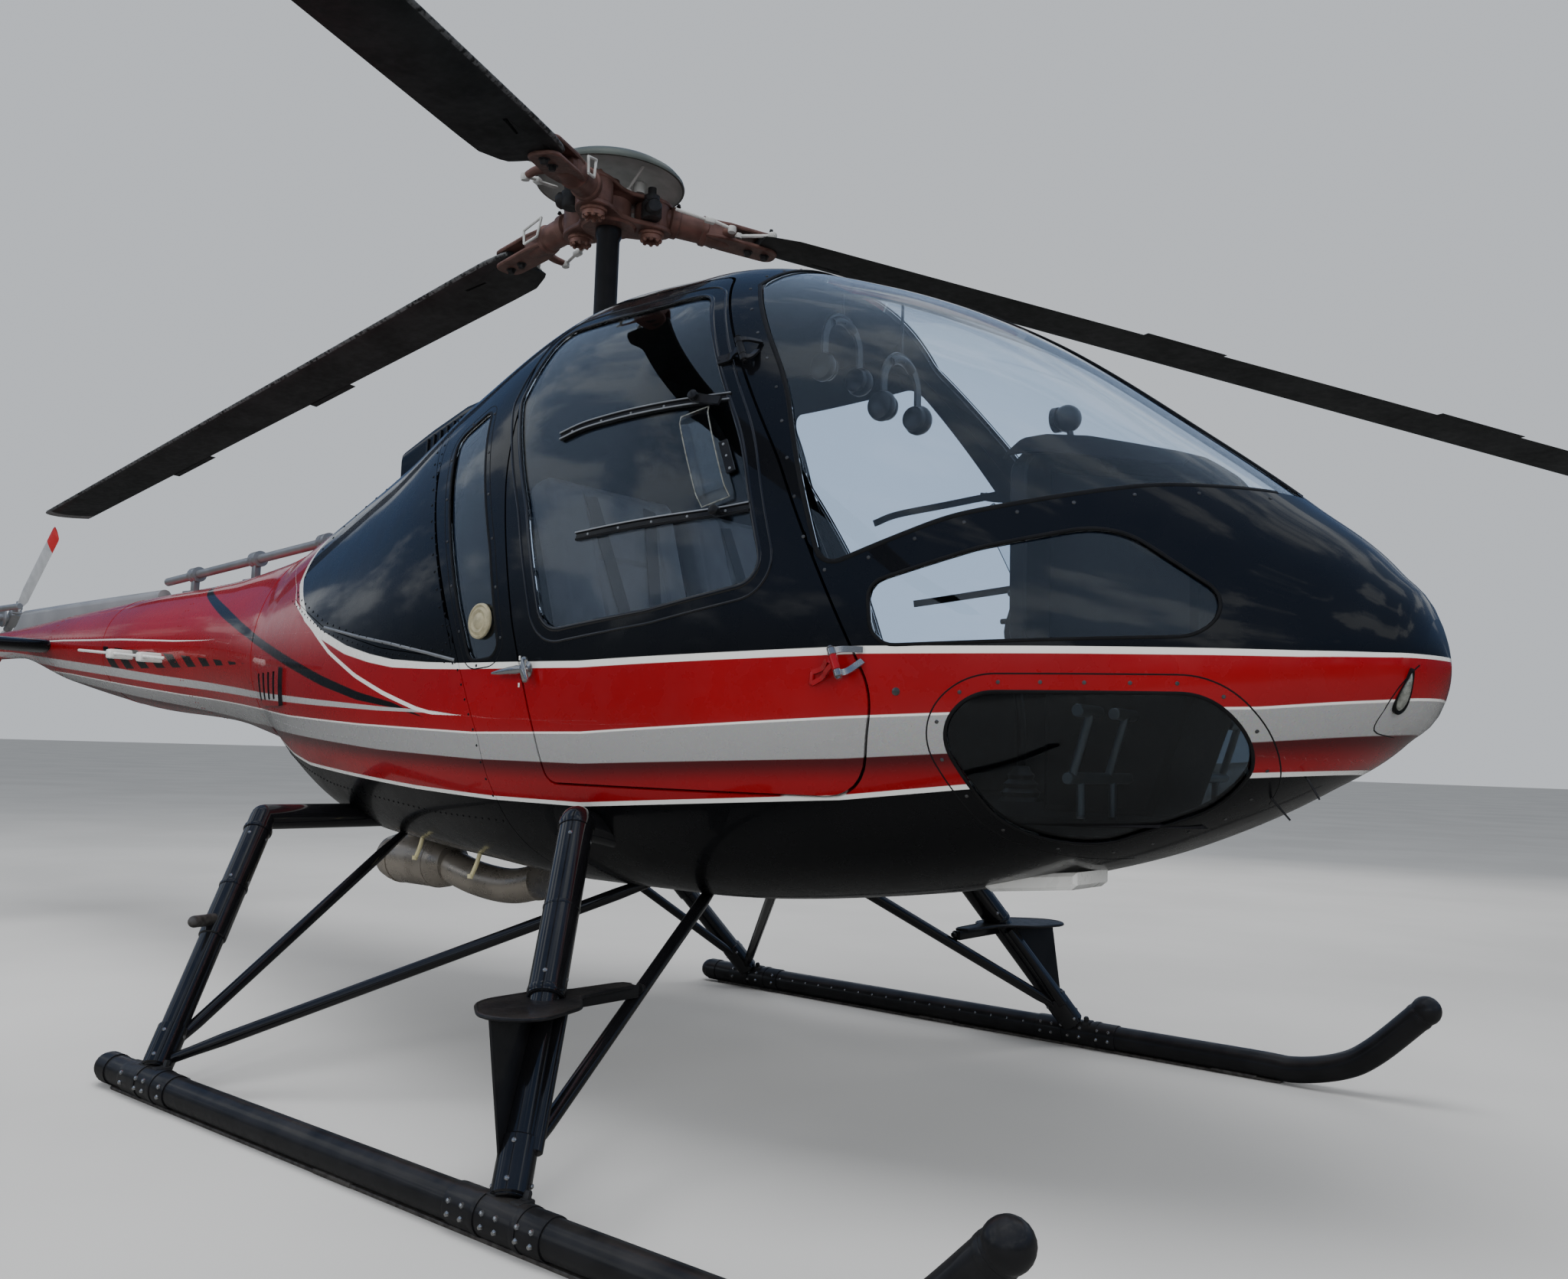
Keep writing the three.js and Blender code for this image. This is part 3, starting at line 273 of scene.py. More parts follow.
# The port skid's middle line. Its bend is a smooth curve up to the ball at its tip.
SKID_LINE = [(-0.49, SKID_Y, SKID_Z), (0.3, SKID_Y, SKID_Z), (1.1, SKID_Y, SKID_Z), (1.7, SKID_Y, SKID_Z),
             (1.84, SKID_Y, SKID_Z), (1.97, SKID_Y, 0.078), (2.06, SKID_Y, 0.135), (2.19, SKID_Y, 0.262)]

# The cabin. BULKHEAD is the rear wall's line in side view. Columns: x, z.
BULKHEAD = [(0.482, 0.825), (0.432, 0.95), (0.347, 1.12), (0.16, 1.5), (0.128, 1.8), (0.128, 2.14)]
FLOOR_TOP = 0.8182
HEADSET_RADIUS = 0.082
PANEL_FACE = 1.662
COMPASS = (1.672, 0, 1.768)
# The stick's, the lever's and the pedals' distances from the centre plane.
STICK_Y = 0.35
LEVER_Y = 0.64
PEDALS_Y = (-0.42, -0.25, 0.25, 0.42)
# Dials on the panel's face. Columns: Y, Z, radius.
DIALS = [(-0.19, 1.575, 0.04), (-0.09, 1.6, 0.043), (0.09, 1.6, 0.043), (0.19, 1.575, 0.04),
         (-0.19, 1.475, 0.036), (0.19, 1.475, 0.036), (-0.175, 1.385, 0.029), (0.175, 1.385, 0.029)]
# Seat pieces. Columns: name, node it stands for, foot of its rear face, lean from upright in degrees,
# thickness, height, side.
SEATS = [
    ("cushion_right", "seat_cushion", (0.612, 1.0115), 90.0, 0.077, 0.412, -1),
    ("cushion_left", "seat_cushion", (0.612, 1.0115), 90.0, 0.077, 0.412, 1),
    ("back_right", "seat_back", (0.478, 1.03), -16.9, 0.1, 0.66, -1),
    ("back_left", "seat_back", (0.478, 1.03), -16.9, 0.1, 0.66, 1),
]
# Across a seat: the cushion's two ends, and how far its seams lie from its middle.
SEAT_INNER, SEAT_OUTER = 0.026, 0.542
SEAM_SPREAD = 0.13
SEAM_DEPTH = 0.0075
SEAM_WIDTH = 0.006
# How a cushion is filled: the size of its cells, the frames of the cloth run, and the most that a point
# moves.
VOXEL = 0.0095
FRAMES = 20
SWELL = 0.013

# The doors' hinges: the knuckles' places on the port side, and the lengths of a knuckle and a lug.
HINGE_TOP = np.array([1.143, 0.617, 1.87])
HINGE_FOOT = np.array([1.505, 0.703, 1.121])
KNUCKLE = 0.034
LUG = 0.016
# Window rims. Columns: outline, start, half width of the seal, place and pitch of its screws, place of the
# groove.
RIMS = [
    (FRONT_WINDOW, WINDOW_START, 0.0038, 0.0, 0.0, 0.0),
    (CHIN_WINDOW, CHIN_START, 0.0038, 0.019, 0.078, 0.036),
    (QUARTER_WINDOW, WINDOW_START, 0.0045, 0.013, 0.14, 0.021),
]
# The clear deflector on the door window. Columns: x, z at its corners.
DEFLECTOR = [(1.022, 1.707), (1.091, 1.727), (1.199, 1.498), (1.131, 1.477)]
UPPER_RAIL = [(0.617, 1.712), (0.718, 1.733), (0.939, 1.746), (1.137, 1.752)]
LOWER_RAIL = [(0.75, 1.438), (0.974, 1.454), (1.163, 1.465), (1.25, 1.474)]
RAIL_SECTION = [(-0.011, -0.001), (0.011, -0.001), (0.011, 0.007), (0.0065, 0.008), (0.0045, 0.004),
                (-0.0045, 0.004), (-0.0065, 0.008), (-0.011, 0.007)]
RAIL_RIDGE = [(-0.0018, 0.0), (0.0018, 0.0), (0.0016, 0.0026), (-0.0016, 0.0026)]
# The ends of the nose lens's long axis in side view, and half its length and width.
LENS = [(2.449, 1.047), (2.478, 1.127)]
LENS_LONG, LENS_WIDE = 0.043, 0.019
LAMP_PANEL = [(2.425, 1.0), (2.406, 1.012), (2.431, 1.056), (2.462, 1.105), (2.484, 1.14)]

# The stage.
FLOOR_HALF = 120
FLOOR_COUNT = 21
# The photo's camera: place in metres, angles in degrees, focal length and width in pixels, and the width in
# millimetres that a sensor is given for them.
CAMERA_PLACE = (3.093, -2.838, 0.932)
CAMERA_YAW = 128.914
CAMERA_PITCH = 5.011
CAMERA_ROLL = 1.818
CAMERA_FOCAL = 1688.8
PHOTO_WIDTH = 2048
SENSOR_WIDTH = 36.0

MATERIALS = {}


def unit(vectors):
    """Vectors scaled to length one."""
    vectors = np.asarray(vectors, float)
    return vectors / np.maximum(np.linalg.norm(vectors, axis=-1, keepdims=True), 1e-9)


def curve(column, x):
    """One column of the section table at x: a cubic through the rows. Its slope at a row is the mean of the
    slopes of the two spans beside it, each weighted by the other's length, and zero where they change
    sign."""
    xs, ys = SECTIONS[:, 0], SECTIONS[:, column]
    h = np.diff(xs)
    slope = np.diff(ys) / h
    tangent = np.empty(len(xs))
    tangent[0], tangent[-1] = slope[0], slope[-1]
    mean = (slope[:-1] * h[1:] + slope[1:] * h[:-1]) / (h[1:] + h[:-1])
    tangent[1:-1] = np.where(slope[:-1] * slope[1:] <= 0, 0, mean)
    i = np.clip(np.searchsorted(xs, x, side="right") - 1, 0, len(h) - 1)
    t = np.clip((x - xs[i]) / h[i], 0, 1)
    t2, t3 = t * t, t * t * t
    return ((2 * t3 - 3 * t2 + 1) * ys[i] + (t3 - 2 * t2 + t) * h[i] * tangent[i]
            + (3 * t2 - 2 * t3) * ys[i + 1] + (t3 - t2) * h[i] * tangent[i + 1])


def body(x, turn, inset=0.0):
    """Points of the body at x and turn. Each section is two half super-ellipses: at an angle from the port
    side up, the unit point is the angle's direction divided by the power norm of its parts, and it is
    stretched by the half width and by the rise to the crown or the drop to the keel. The whole is moved in
    by inset."""
    crown, keel, widest, half, crown_power, keel_power = (curve(k, x) for k in range(1, 7))
    c, s = np.cos(turn), np.sin(turn)
    power = np.where(s >= 0, crown_power, keel_power)
    norm = (np.abs(c) ** power + np.abs(s) ** power) ** (-1 / power)
    rise = np.where(s >= 0, crown - inset - widest, widest - keel - inset)
    return np.stack(np.broadcast_arrays(x, (half - inset) * c * norm, widest + rise * s * norm), -1)


def body_normal(x, turn):
    """Outward unit normals of the body: the cross product of its two central differences."""
    e = 1e-3
    along = body(x + e, turn) - body(x - e, turn)
    around = body(x, turn + e) - body(x, turn - e)
    return unit(np.cross(around, along))


def round_turn(count):
    """Even turns right round a section."""
    return np.linspace(*FULL_TURN, count, endpoint=False)


def turn_at(x, z, side):
    """The turn at which the body has height z on one side at x: the direction of the unit point whose
    height is the share of the rise and whose width follows from the power norm."""
    crown, keel, widest, _, crown_power, keel_power = (curve(k, x) for k in range(1, 7))
    up = z >= widest
    power = np.where(up, crown_power, keel_power)
    t = np.clip(np.where(up, (z - widest) / (crown - widest), (z - widest) / (widest - keel)), -1, 1)
    return np.arctan2(t, side * (1 - np.abs(t) ** power) ** (1 / power))


def on_skin(x, z, side, out=0.0):
    """Points on the body at (x, z) of one side, moved out along the normals, and the normals."""
    x, z = np.asarray(x, float), np.asarray(z, float)
    turn = turn_at(x, z, side)
    normal = body_normal(x, turn)
    return body(x, turn) + normal * out, normal


def rounded(corners, steps=7):
    """An outline with its corners replaced by arcs of their radii, tangent to both edges."""
    points = []
    for i, corner in enumerate(corners):
        at = np.array(corner[:2])
        radius = corner[2] if len(corner) > 2 else 0
        if not radius:
            points.append(at[None])
            continue
        u, v = (unit(np.array(corners[(i + k) % len(corners)][:2]) - at) for k in (-1, 1))
        half = math.acos(np.clip(u @ v, -1, 1)) / 2
        centre = at + unit(u + v) * radius / math.sin(half)
        start, end = (at + w * radius / math.tan(half) - centre for w in (u, v))
        first = math.atan2(start[1], start[0])
        sweep = math.atan2(start[0] * end[1] - start[1] * end[0], start @ end)
        angles = first + sweep * np.linspace(0, 1, steps)
        points.append(centre + radius * np.stack([np.cos(angles), np.sin(angles)], -1))
    return np.concatenate(points)


def spaced(points, pitch, closed=True):
    """Points at even distances along a polyline, and their count follows from the pitch."""
    points = np.asarray(points, float)
    if closed:
        points = np.vstack([points, points[:1]])
    steps = np.r_[0, np.cumsum(np.linalg.norm(np.diff(points, axis=0), axis=1))]
    count = max(2, int(round(steps[-1] / pitch)))
    at = np.linspace(0, steps[-1], count + 1)[: count if closed else count + 1]
    return np.stack([np.interp(at, steps, points[:, k]) for k in range(points.shape[1])], -1)


def to_segments(p, points, closed):
    """For each point of p, the distance to the nearest segment of a polyline, its side (positive on the
    left) and the place along the polyline as a share between its points."""
    a = np.asarray(points, float)
    b = np.roll(a, -1, 0) if closed else a[1:]
    a = a if closed else a[:-1]
    best = np.full(p.shape[:-1], np.inf)
    sign = np.ones(p.shape[:-1])
    place = np.zeros(p.shape[:-1])
    for k, (start, end) in enumerate(zip(a, b)):
        way = end - start
        t = np.clip(((p - start) @ way) / (way @ way), 0, 1)
        gap = p - start - t[..., None] * way
        distance = np.hypot(gap[..., 0], gap[..., 1])
        near = distance < best - 1e-9
        best = np.where(near, distance, best)
        side = np.sign(way[0] * (p[..., 1] - start[1]) - way[1] * (p[..., 0] - start[0]))
        sign = np.where(near, side, sign)
        place = np.where(near, k + t, place)
    return best, sign, place


def inside(p, outline):
    """Signed distance to a closed outline, negative inside: the distance to the nearest edge, with the sign
    from how often a ray crosses the outline."""
    best, _, _ = to_segments(p, outline, True)
    a = np.asarray(outline, float)
    b = np.roll(a, -1, 0)
    odd = np.zeros(p.shape[:-1], bool)
    for (ax, ay), (bx, by) in zip(a, b):
        if ay == by:
            continue
        crosses = (ay > p[..., 1]) != (by > p[..., 1])
        odd ^= crosses & (p[..., 0] < (bx - ax) * (p[..., 1] - ay) / (by - ay) + ax)
    return np.where(odd, -best, best)


def line_field(p, line):
    """How far above a paint line each point lies, in half widths of the line there."""
    table = np.asarray(line)
    best, sign, place = to_segments(p, table[:, :2], False)
    half = np.interp(place, np.arange(len(table)), table[:, 2])
    return np.clip(sign * best / np.maximum(half, 1e-5), -200, 200), sign * best


def paint_fields(points):
    """The named fields that the paint reads: distances from the paint lines in side view, and from the roof
    panel's edge in plan."""
    p = points[..., [0, 2]]
    belt, above_belt = line_field(p, BELT)
    low, above_low = line_field(p, LOW_LINE)
    x = p[..., 0]
    roof = np.interp(x, *np.array(ROOF_HALF).T) - np.abs(points[..., 1])
    roof = np.where(points[..., 2] > ROOF_FROM, roof, -0.2)
    return {
        "belt": belt,
        "above_belt": above_belt,
        "low": low,
        "above_low": above_low,
        "sweep": line_field(p, SWEEP_LINE)[0],
        "boom_line": line_field(p, BOOM_LINE)[0],
        "slash": line_field(p, SLASH)[0],
        "seam_line": line_field(p, SEAM_LINE)[0],
        "band_top": p[..., 1] - np.interp(x, *np.array(BAND_TOP).T),
        "band_low": p[..., 1] - np.interp(x, *np.array(BAND_LOW).T),
        "roof": roof,
    }


# The cells of a trimmed grid. Corners 0 to 3 run round the cell, and crossing 4 + k lies between corners k
# and k + 1.
CELL_CASES = {
    case: [
        point
        for k in range(4)
        for point in (
            ([k] if case >> k & 1 else [])
            + ([4 + k] if (case >> k & 1) != (case >> (k + 1) % 4 & 1) else [])
        )
    ]
    for case in range(1, 16)
}


def trimmed(values, field):
    """The part of a grid where a field is negative: each cell keeps its corners inside and the points on
    its edges where the field, taken as straight between corners, is zero. Returns the kept rows of values
    and triangles."""
    n, m = field.shape
    field = np.where(np.abs(field) < 1e-6, -1e-6, field)
    flat = values.reshape(n * m, -1)
    ids = np.arange(n * m).reshape(n, m)
    inner = field < 0

    def crossing(first, second):
        fa, fb = field.reshape(-1)[first], field.reshape(-1)[second]
        t = np.where((fa < 0) != (fb < 0), fa / np.where(fa == fb, 1, fa - fb), 0)[..., None]
        return flat[first] + t * (flat[second] - flat[first])

    along = crossing(ids[:-1, :], ids[1:, :])
    across = crossing(ids[:, :-1], ids[:, 1:])
    along_id = n * m + np.arange((n - 1) * m).reshape(n - 1, m)
    across_id = n * m + (n - 1) * m + np.arange(n * (m - 1)).reshape(n, m - 1)
    pool = np.vstack([flat, along.reshape(-1, flat.shape[1]), across.reshape(-1, flat.shape[1])])
    corner = [ids[:-1, :-1], ids[1:, :-1], ids[1:, 1:], ids[:-1, 1:]]
    edge = [along_id[:, :-1], across_id[1:, :], along_id[:, 1:], across_id[:-1, :]]
    table = np.stack([*corner, *edge], -1).reshape(-1, 8)
    case = sum(
        c.astype(int) << k
        for k, c in enumerate([inner[:-1, :-1], inner[1:, :-1], inner[1:, 1:], inner[:-1, 1:]])
    ).reshape(-1)
    triangles = []
    for value, polygon in CELL_CASES.items():
        rows = table[case == value]
        for k in range(1, len(polygon) - 1):
            triangles.append(rows[:, [polygon[0], polygon[k], polygon[k + 1]]])
    triangles = np.vstack(triangles)
    used, triangles = np.unique(triangles, return_inverse=True)
    return pool[used], triangles.reshape(-1, 3)


def welded(values, triangles):
    """Rows whose first three columns agree to a thousandth of a millimetre become one, and triangles that
    lose a corner by it are dropped."""
    _, first, same = np.unique(np.round(values[:, :3], 6), axis=0, return_index=True, return_inverse=True)
    triangles = same.reshape(-1)[triangles]
    a, b, c = triangles.T
    return values[first], triangles[(a != b) & (b != c) & (c != a)]


def walled(points, normals, triangles, thickness):
    """A sheet given a wall: the sheet, the same sheet moved in along the normals and turned round, and a quad
    strip on each edge that only one triangle has."""
    count = len(points)
    edges = np.vstack([triangles[:, [0, 1]], triangles[:, [1, 2]], triangles[:, [2, 0]]])
    key = edges[:, 0] * count + edges[:, 1]
    back = edges[:, 1] * count + edges[:, 0]
    rim = edges[~np.isin(key, back)]
    strip = np.stack([rim[:, 1], rim[:, 0], rim[:, 0] + count, rim[:, 1] + count], -1)
    return (
        np.vstack([points, points - normals * thickness]),
        [triangles, triangles[:, ::-1] + count, strip],
    )


def skin(name, low, high, field_of, finish, body_name, instead_of=(), wall=THIN_WALL, inset=0.0, cell=0.013,
         turns=FULL_TURN, painted=True, inner=None, rim=False):
    """A piece of the body's skin: the body's surface from one x to another, trimmed to where field_of is
    negative, and given a wall. Painted pieces carry the paint's fields. The inner material covers the
    inside and, with rim, the wall's edges."""
    xs = np.linspace(low, high, int((high - low) / cell) + 2)
    reach = max(curve(4, xs).max(), (curve(1, xs) - curve(2, xs)).max() / 2)
    turn = np.linspace(*turns, int((turns[1] - turns[0]) * reach / cell) + 2)
    x, turn = np.meshgrid(xs, turn, indexing="ij")
    points = body(x, turn, inset)
    normals = body_normal(x, turn)
    fields = paint_fields(points) if painted else {}
    stack = np.concatenate([points, normals, *(f[..., None] for f in fields.values())], -1)
    kept, triangles = welded(*trimmed(stack, field_of(points)))
    a, b, c = (kept[triangles[:, k], :3] for k in range(3))
    facing = np.einsum("ij,ij->i", np.cross(b - a, c - a), kept[triangles[:, 0], 3:6])
    if facing.sum() < 0:
        triangles = triangles[:, ::-1]
    points, faces = walled(kept[:, :3], kept[:, 3:6], triangles, wall)
    attributes = {key: np.tile(kept[:, 6 + k], 2) for k, key in enumerate(fields)}
    inner_faces = (len(triangles), None if rim else 2 * len(triangles)) if inner else None
    return mesh(name, points, faces, [finish, inner] if inner else [finish], body_name, instead_of,
                attributes=attributes, second=inner_faces)


def mesh(name, points, faces, finish, body_name="airframe", instead_of=(), attributes=None, sharp=35,
         second=None):
    """Makes a piece from points and face arrays, shades it smooth up to the sharp angle, and sets it to
    ride. finish is one finish's name or two, and faces numbered from second[0] up to second[1] take the
    second."""
    data = bpy.data.meshes.new(name)
    rows = [row for block in faces for row in np.asarray(block).tolist()]
    data.from_pydata((np.asarray(points) + SHIFT).tolist(), [], rows)
    materials = [MATERIALS[key] for key in ([finish] if isinstance(finish, str) else finish)]
    for one in materials:
        data.materials.append(one)
    if second:
        index = np.zeros(len(data.polygons), np.int32)
        index[second[0]:second[1]] = 1
        data.polygons.foreach_set("material_index", index)
    for key, values in (attributes or {}).items():
        layer = data.attributes.new(key, "FLOAT", "POINT")
        layer.data.foreach_set("value", np.asarray(values, np.float32))
    data.validate()
    data.shade_smooth()
    data.set_sharp_from_angle(angle=math.radians(sharp))
    obj = bpy.data.objects.new(name, data)
    bpy.context.scene.collection.objects.link(obj)
    if body_name:
        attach(obj, body_name)
    if instead_of:
        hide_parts(*instead_of)
    return obj


def outward(part):
    """A closed part with its faces turned to point out, judged by its signed volume about its middle."""
    points, faces = np.asarray(part[0], float), part[1]
    local = points - points.mean(0)
    volume = 0.0
    for rows in faces:
        for k in range(1, rows.shape[1] - 1):
            a, b, c = local[rows[:, 0]], local[rows[:, k]], local[rows[:, k + 1]]
            volume += np.einsum("ij,ij->i", a, np.cross(b, c)).sum()
    return points, ([rows[:, ::-1] for rows in faces] if volume < 0 else faces)


def merge(*parts):
    """Several closed parts of points and face arrays as one, each turned outwards."""
    points, faces, start = [], [], 0
    for part_points, part_faces in map(outward, parts):
        points.append(np.asarray(part_points))
        faces += [np.asarray(block) + start for block in part_faces]
        start += len(part_points)
    return np.vstack(points), faces


def ring_faces(rings, count, closed_round=True, closed_along=False):
    """Quads between rings of count points, numbered ring by ring."""
    ids = np.arange(rings * count).reshape(rings, count)
    a = ids if closed_along else ids[:-1]
    b = np.roll(ids, -1, 0) if closed_along else ids[1:]
    if closed_round:
        return np.stack([a, np.roll(a, -1, 1), np.roll(b, -1, 1), b], -1).reshape(-1, 4)
    return np.stack([a[:, :-1], a[:, 1:], b[:, 1:], b[:, :-1]], -1).reshape(-1, 4)


def sweep(path, section, scale=1.0, up=(0, 0, 1), closed=False):
    """A closed section carried along a path: at each path point the section's two columns run along the
    path's side direction, which is its tangent crossed with up, and along the direction square to both.
    scale is one number for each path point. Open paths get a flat face at each end."""
    path = np.asarray(path, float)
    section = np.asarray(section, float)
    tangent = unit((np.roll(path, -1, 0) - np.roll(path, 1, 0)) if closed else np.gradient(path, axis=0))
    side = unit(np.cross(tangent, np.broadcast_to(np.asarray(up, float), path.shape)))
    square = np.cross(side, tangent)
    scale = np.broadcast_to(np.asarray(scale, float), len(path))[:, None, None]
    points = path[:, None] + scale * (section[None, :, :1] * side[:, None]
                                      + section[None, :, 1:] * square[:, None])
    n, m = points.shape[:2]
    faces = [ring_faces(n, m, closed_along=closed)[:, ::-1]]
    if not closed:
        faces += [np.arange(m)[None], np.arange((n - 1) * m, n * m)[::-1][None]]
    return points.reshape(-1, 3), faces


def circle(radius=1.0, sides=20):
    """Points round a circle, counter-clockwise."""
    a = np.linspace(0, 2 * math.pi, sides, endpoint=False)
    return radius * np.stack([np.cos(a), np.sin(a)], -1)


def smooth_path(points, steps=12):
    """A smooth curve through points: the cubic with half of the span between each point's two neighbours as
    its slope there."""
    p = np.asarray(points, float)
    ghost = np.vstack([2 * p[0] - p[1], p, 2 * p[-1] - p[-2]])
    t = np.linspace(0, 1, steps, endpoint=False)[:, None]
    a, b, c, d = ghost[:-3, None], ghost[1:-2, None], ghost[2:-1, None], ghost[3:, None]
    runs = 0.5 * (2 * b + (c - a) * t + (2 * a - 5 * b + 4 * c - d) * t ** 2
                  + (3 * b - a - 3 * c + d) * t ** 3)
    return np.vstack([runs.reshape(-1, p.shape[1]), p[-1:]])


def bar(start, end, radius, end_radius=None, sides=20, edge=0.15):
    """A round bar with softened ends: a circle carried from start to end, smaller at both ends by edge."""
    start, end = np.asarray(start, float), np.asarray(end, float)
    end_radius = radius if end_radius is None else end_radius
    way = end - start
    length = np.linalg.norm(way)
    inset = min(edge * min(radius, end_radius), length / 4) / length
    t = np.array([0, inset, 1 - inset, 1])
    up = (0, 0, 1) if abs(way[2]) < 0.9 * length else (1, 0, 0)
    soft = np.array([1 - edge, 1, 1, 1 - edge])
    return sweep(start + t[:, None] * way, circle(1, sides),
                 soft * np.interp(t, [0, 1], [radius, end_radius]), up)


def capsule(path, radius, sides=16):
    """A tube along a path with a round ball end at each end: the ring's radius follows a quarter circle
    there."""
    path = np.asarray(path, float)
    a = np.linspace(0.12, math.pi / 2, 5)[:-1]
    start = path[0] + unit(path[0] - path[1]) * radius * np.cos(a)[:, None]
    end = path[-1] + unit(path[-1] - path[-2]) * radius * np.cos(a[::-1])[:, None]
    scale = np.r_[np.sin(a), np.ones(len(path)), np.sin(a[::-1])] * radius
    return sweep(np.vstack([start, path, end]), circle(1, sides), scale)


def square_to(axis):
    """Two unit vectors square to an axis and to each other."""
    u = unit(np.cross(axis, (1, 0, 0) if abs(axis[0]) < 0.9 else (0, 1, 0)))
    return u, np.cross(axis, u)


def lathe(profile, origin=(0, 0, 0), axis=(0, 0, 1), sides=32, closed=False):
    """A profile of (radius, height) turned about an axis: the radius goes round, and the height along the
    axis. An end with radius zero is one point, any other end a flat face."""
    profile = np.asarray(profile, float)
    axis = unit(axis)
    u, v = square_to(axis)
    around = circle(1, sides)
    spoke = around[:, :1] * u + around[:, 1:] * v
    first, end = (not closed and profile[k, 0] == 0 for k in (0, -1))
    rings = profile[1 if first else 0:len(profile) - (1 if end else 0)]
    points = (rings[:, :1, None] * spoke + rings[:, 1:, None] * axis).reshape(-1, 3)
    faces = [ring_faces(len(rings), sides, closed_along=closed)]
    ring, last = np.arange(sides), (len(rings) - 1) * sides
    if not closed:
        for is_pole, height, edge in ((first, profile[0, 1], ring[::-1]), (end, profile[-1, 1], ring + last)):
            if is_pole:
                faces.append(np.stack([edge, np.roll(edge, -1), np.full(sides, len(points))], -1))
                points = np.vstack([points, height * axis])
            else:
                faces.append(edge[None])
    return points + np.asarray(origin), faces


def block(low, high, radius=0.004, steps=3):
    """A box with round edges: a small ball's points, each moved to the corner that its direction points
    to."""
    low, high = np.asarray(low, float), np.asarray(high, float)
    radius = min(radius, (high - low).min() / 2.01)
    quarter = np.linspace(0, math.pi / 2, steps)
    turn = np.concatenate([quarter + k * math.pi / 2 for k in range(4)])
    sx = np.repeat([1, -1, -1, 1], steps)
    sy = np.repeat([1, 1, -1, -1], steps)
    lift = np.concatenate([quarter - math.pi / 2, quarter])
    sz = np.repeat([-1, 1], steps)
    centre, half = (low + high) / 2, (high - low) / 2 - radius
    x = sx[None] * half[0] + radius * np.cos(lift)[:, None] * np.cos(turn)[None]
    y = sy[None] * half[1] + radius * np.cos(lift)[:, None] * np.sin(turn)[None]
    z = np.broadcast_to((sz * half[2] + radius * np.sin(lift))[:, None], x.shape)
    points = centre + np.stack([x, y, z], -1)
    n, m = x.shape
    faces = [ring_faces(n, m), np.arange(m)[::-1][None], np.arange((n - 1) * m, n * m)[None]]
    return points.reshape(-1, 3), faces


def domes(points, normals, radius, height=None, sides=8):
    """Rivet heads: at each point three rings of a low dome about the normal, the last one closed by its
    middle."""
    points, normals = np.asarray(points, float), np.asarray(normals, float)
    height = radius * 0.55 if height is None else height
    ref = np.where(np.abs(normals[:, :1]) < 0.9, [[1.0, 0, 0]], [[0, 1.0, 0]])
    u = unit(np.cross(normals, ref))
    v = np.cross(normals, u)
    ring = circle(1, sides)
    shape = np.array([(1, -0.3), (1, 0.25), (0.62, 0.85)])
    flat = ring[None, :, :1] * u[:, None] + ring[None, :, 1:] * v[:, None]
    rings = (points[:, None, None] + shape[None, :, None, :1] * radius * flat[:, None]
             + shape[None, :, None, 1:] * height * normals[:, None, None])
    top = (points + normals * height)[:, None]
    each = np.concatenate([rings.reshape(len(points), -1, 3), top], 1)
    quads = ring_faces(3, sides)
    tip = 2 * sides + np.arange(sides)
    fan = np.stack([tip, np.roll(tip, -1), np.full(sides, 3 * sides)], -1)
    foot = np.arange(sides)[::-1][None]
    base = (np.arange(len(points)) * each.shape[1])[:, None, None]
    return each.reshape(-1, 3), [
        (quads[None] + base).reshape(-1, 4), (fan[None] + base).reshape(-1, 3),
        (foot[None] + base).reshape(-1, sides),
    ]


def mirrored(part):
    """A part on the other side of the centre plane, with its faces turned round."""
    points, faces = part
    return np.asarray(points) * (1, -1, 1), [np.asarray(rows)[:, ::-1] for rows in faces]


def about(axis, angle):
    """The matrix that turns by an angle about an axis."""
    x, y, z = unit(axis)
    k = np.array([[0, -z, y], [z, 0, -x], [-y, x, 0]])
    return np.eye(3) + math.sin(angle) * k + (1 - math.cos(angle)) * k @ k


def sided(name, side, part, finish, node_name="", on_door=False):
    """A piece from a part made for the port side, mirrored for starboard. It rides the airframe or its
    side's door. The side's word ends its name and the name of the node that it stands for."""
    word = "_left" if side > 0 else "_right"
    points, faces = part if side > 0 else mirrored(part)
    mesh(name + word, points, faces, finish, "door" + word if on_door else "airframe",
         [node_name + word] if node_name else ())


def material(name):
    """The empty node tree of a new finish. Pieces made of it are given the slot."""
    made = bpy.data.materials.new(name)
    made.use_nodes = True
    made.node_tree.nodes.clear()
    MATERIALS[name] = made
    return made.node_tree


def node(tree, kind, inputs=None, **settings):
    """A shader node with its settings, and with its inputs set to values or linked to sockets."""
    made = tree.nodes.new("ShaderNode" + kind)
    for key, value in settings.items():
        setattr(made, key, value)
    for key, value in (inputs or {}).items():
        if isinstance(value, bpy.types.NodeSocket):
            tree.links.new(value, made.inputs[key])
        else:
            made.inputs[key].default_value = value
    return made


def field(tree, name):
    """The socket of a named field stored on the points."""
    return node(tree, "Attribute", attribute_name=name).outputs["Fac"]


def ramp(tree, value, low, high):
    """A smooth step from 0 at low to 1 at high."""
    made = node(tree, "MapRange", {"Value": value, "From Min": low, "From Max": high},
                interpolation_type="SMOOTHSTEP")
    return made.outputs["Result"]


def combine(tree, operation, a, b=0.0):
    """One arithmetic step."""
    return node(tree, "Math", {0: a, 1: b}, operation=operation).outputs[0]


def times(tree, first, *others):
    """A product, one step for each further factor."""
    for other in others:
        first = combine(tree, "MULTIPLY", first, other)
    return first


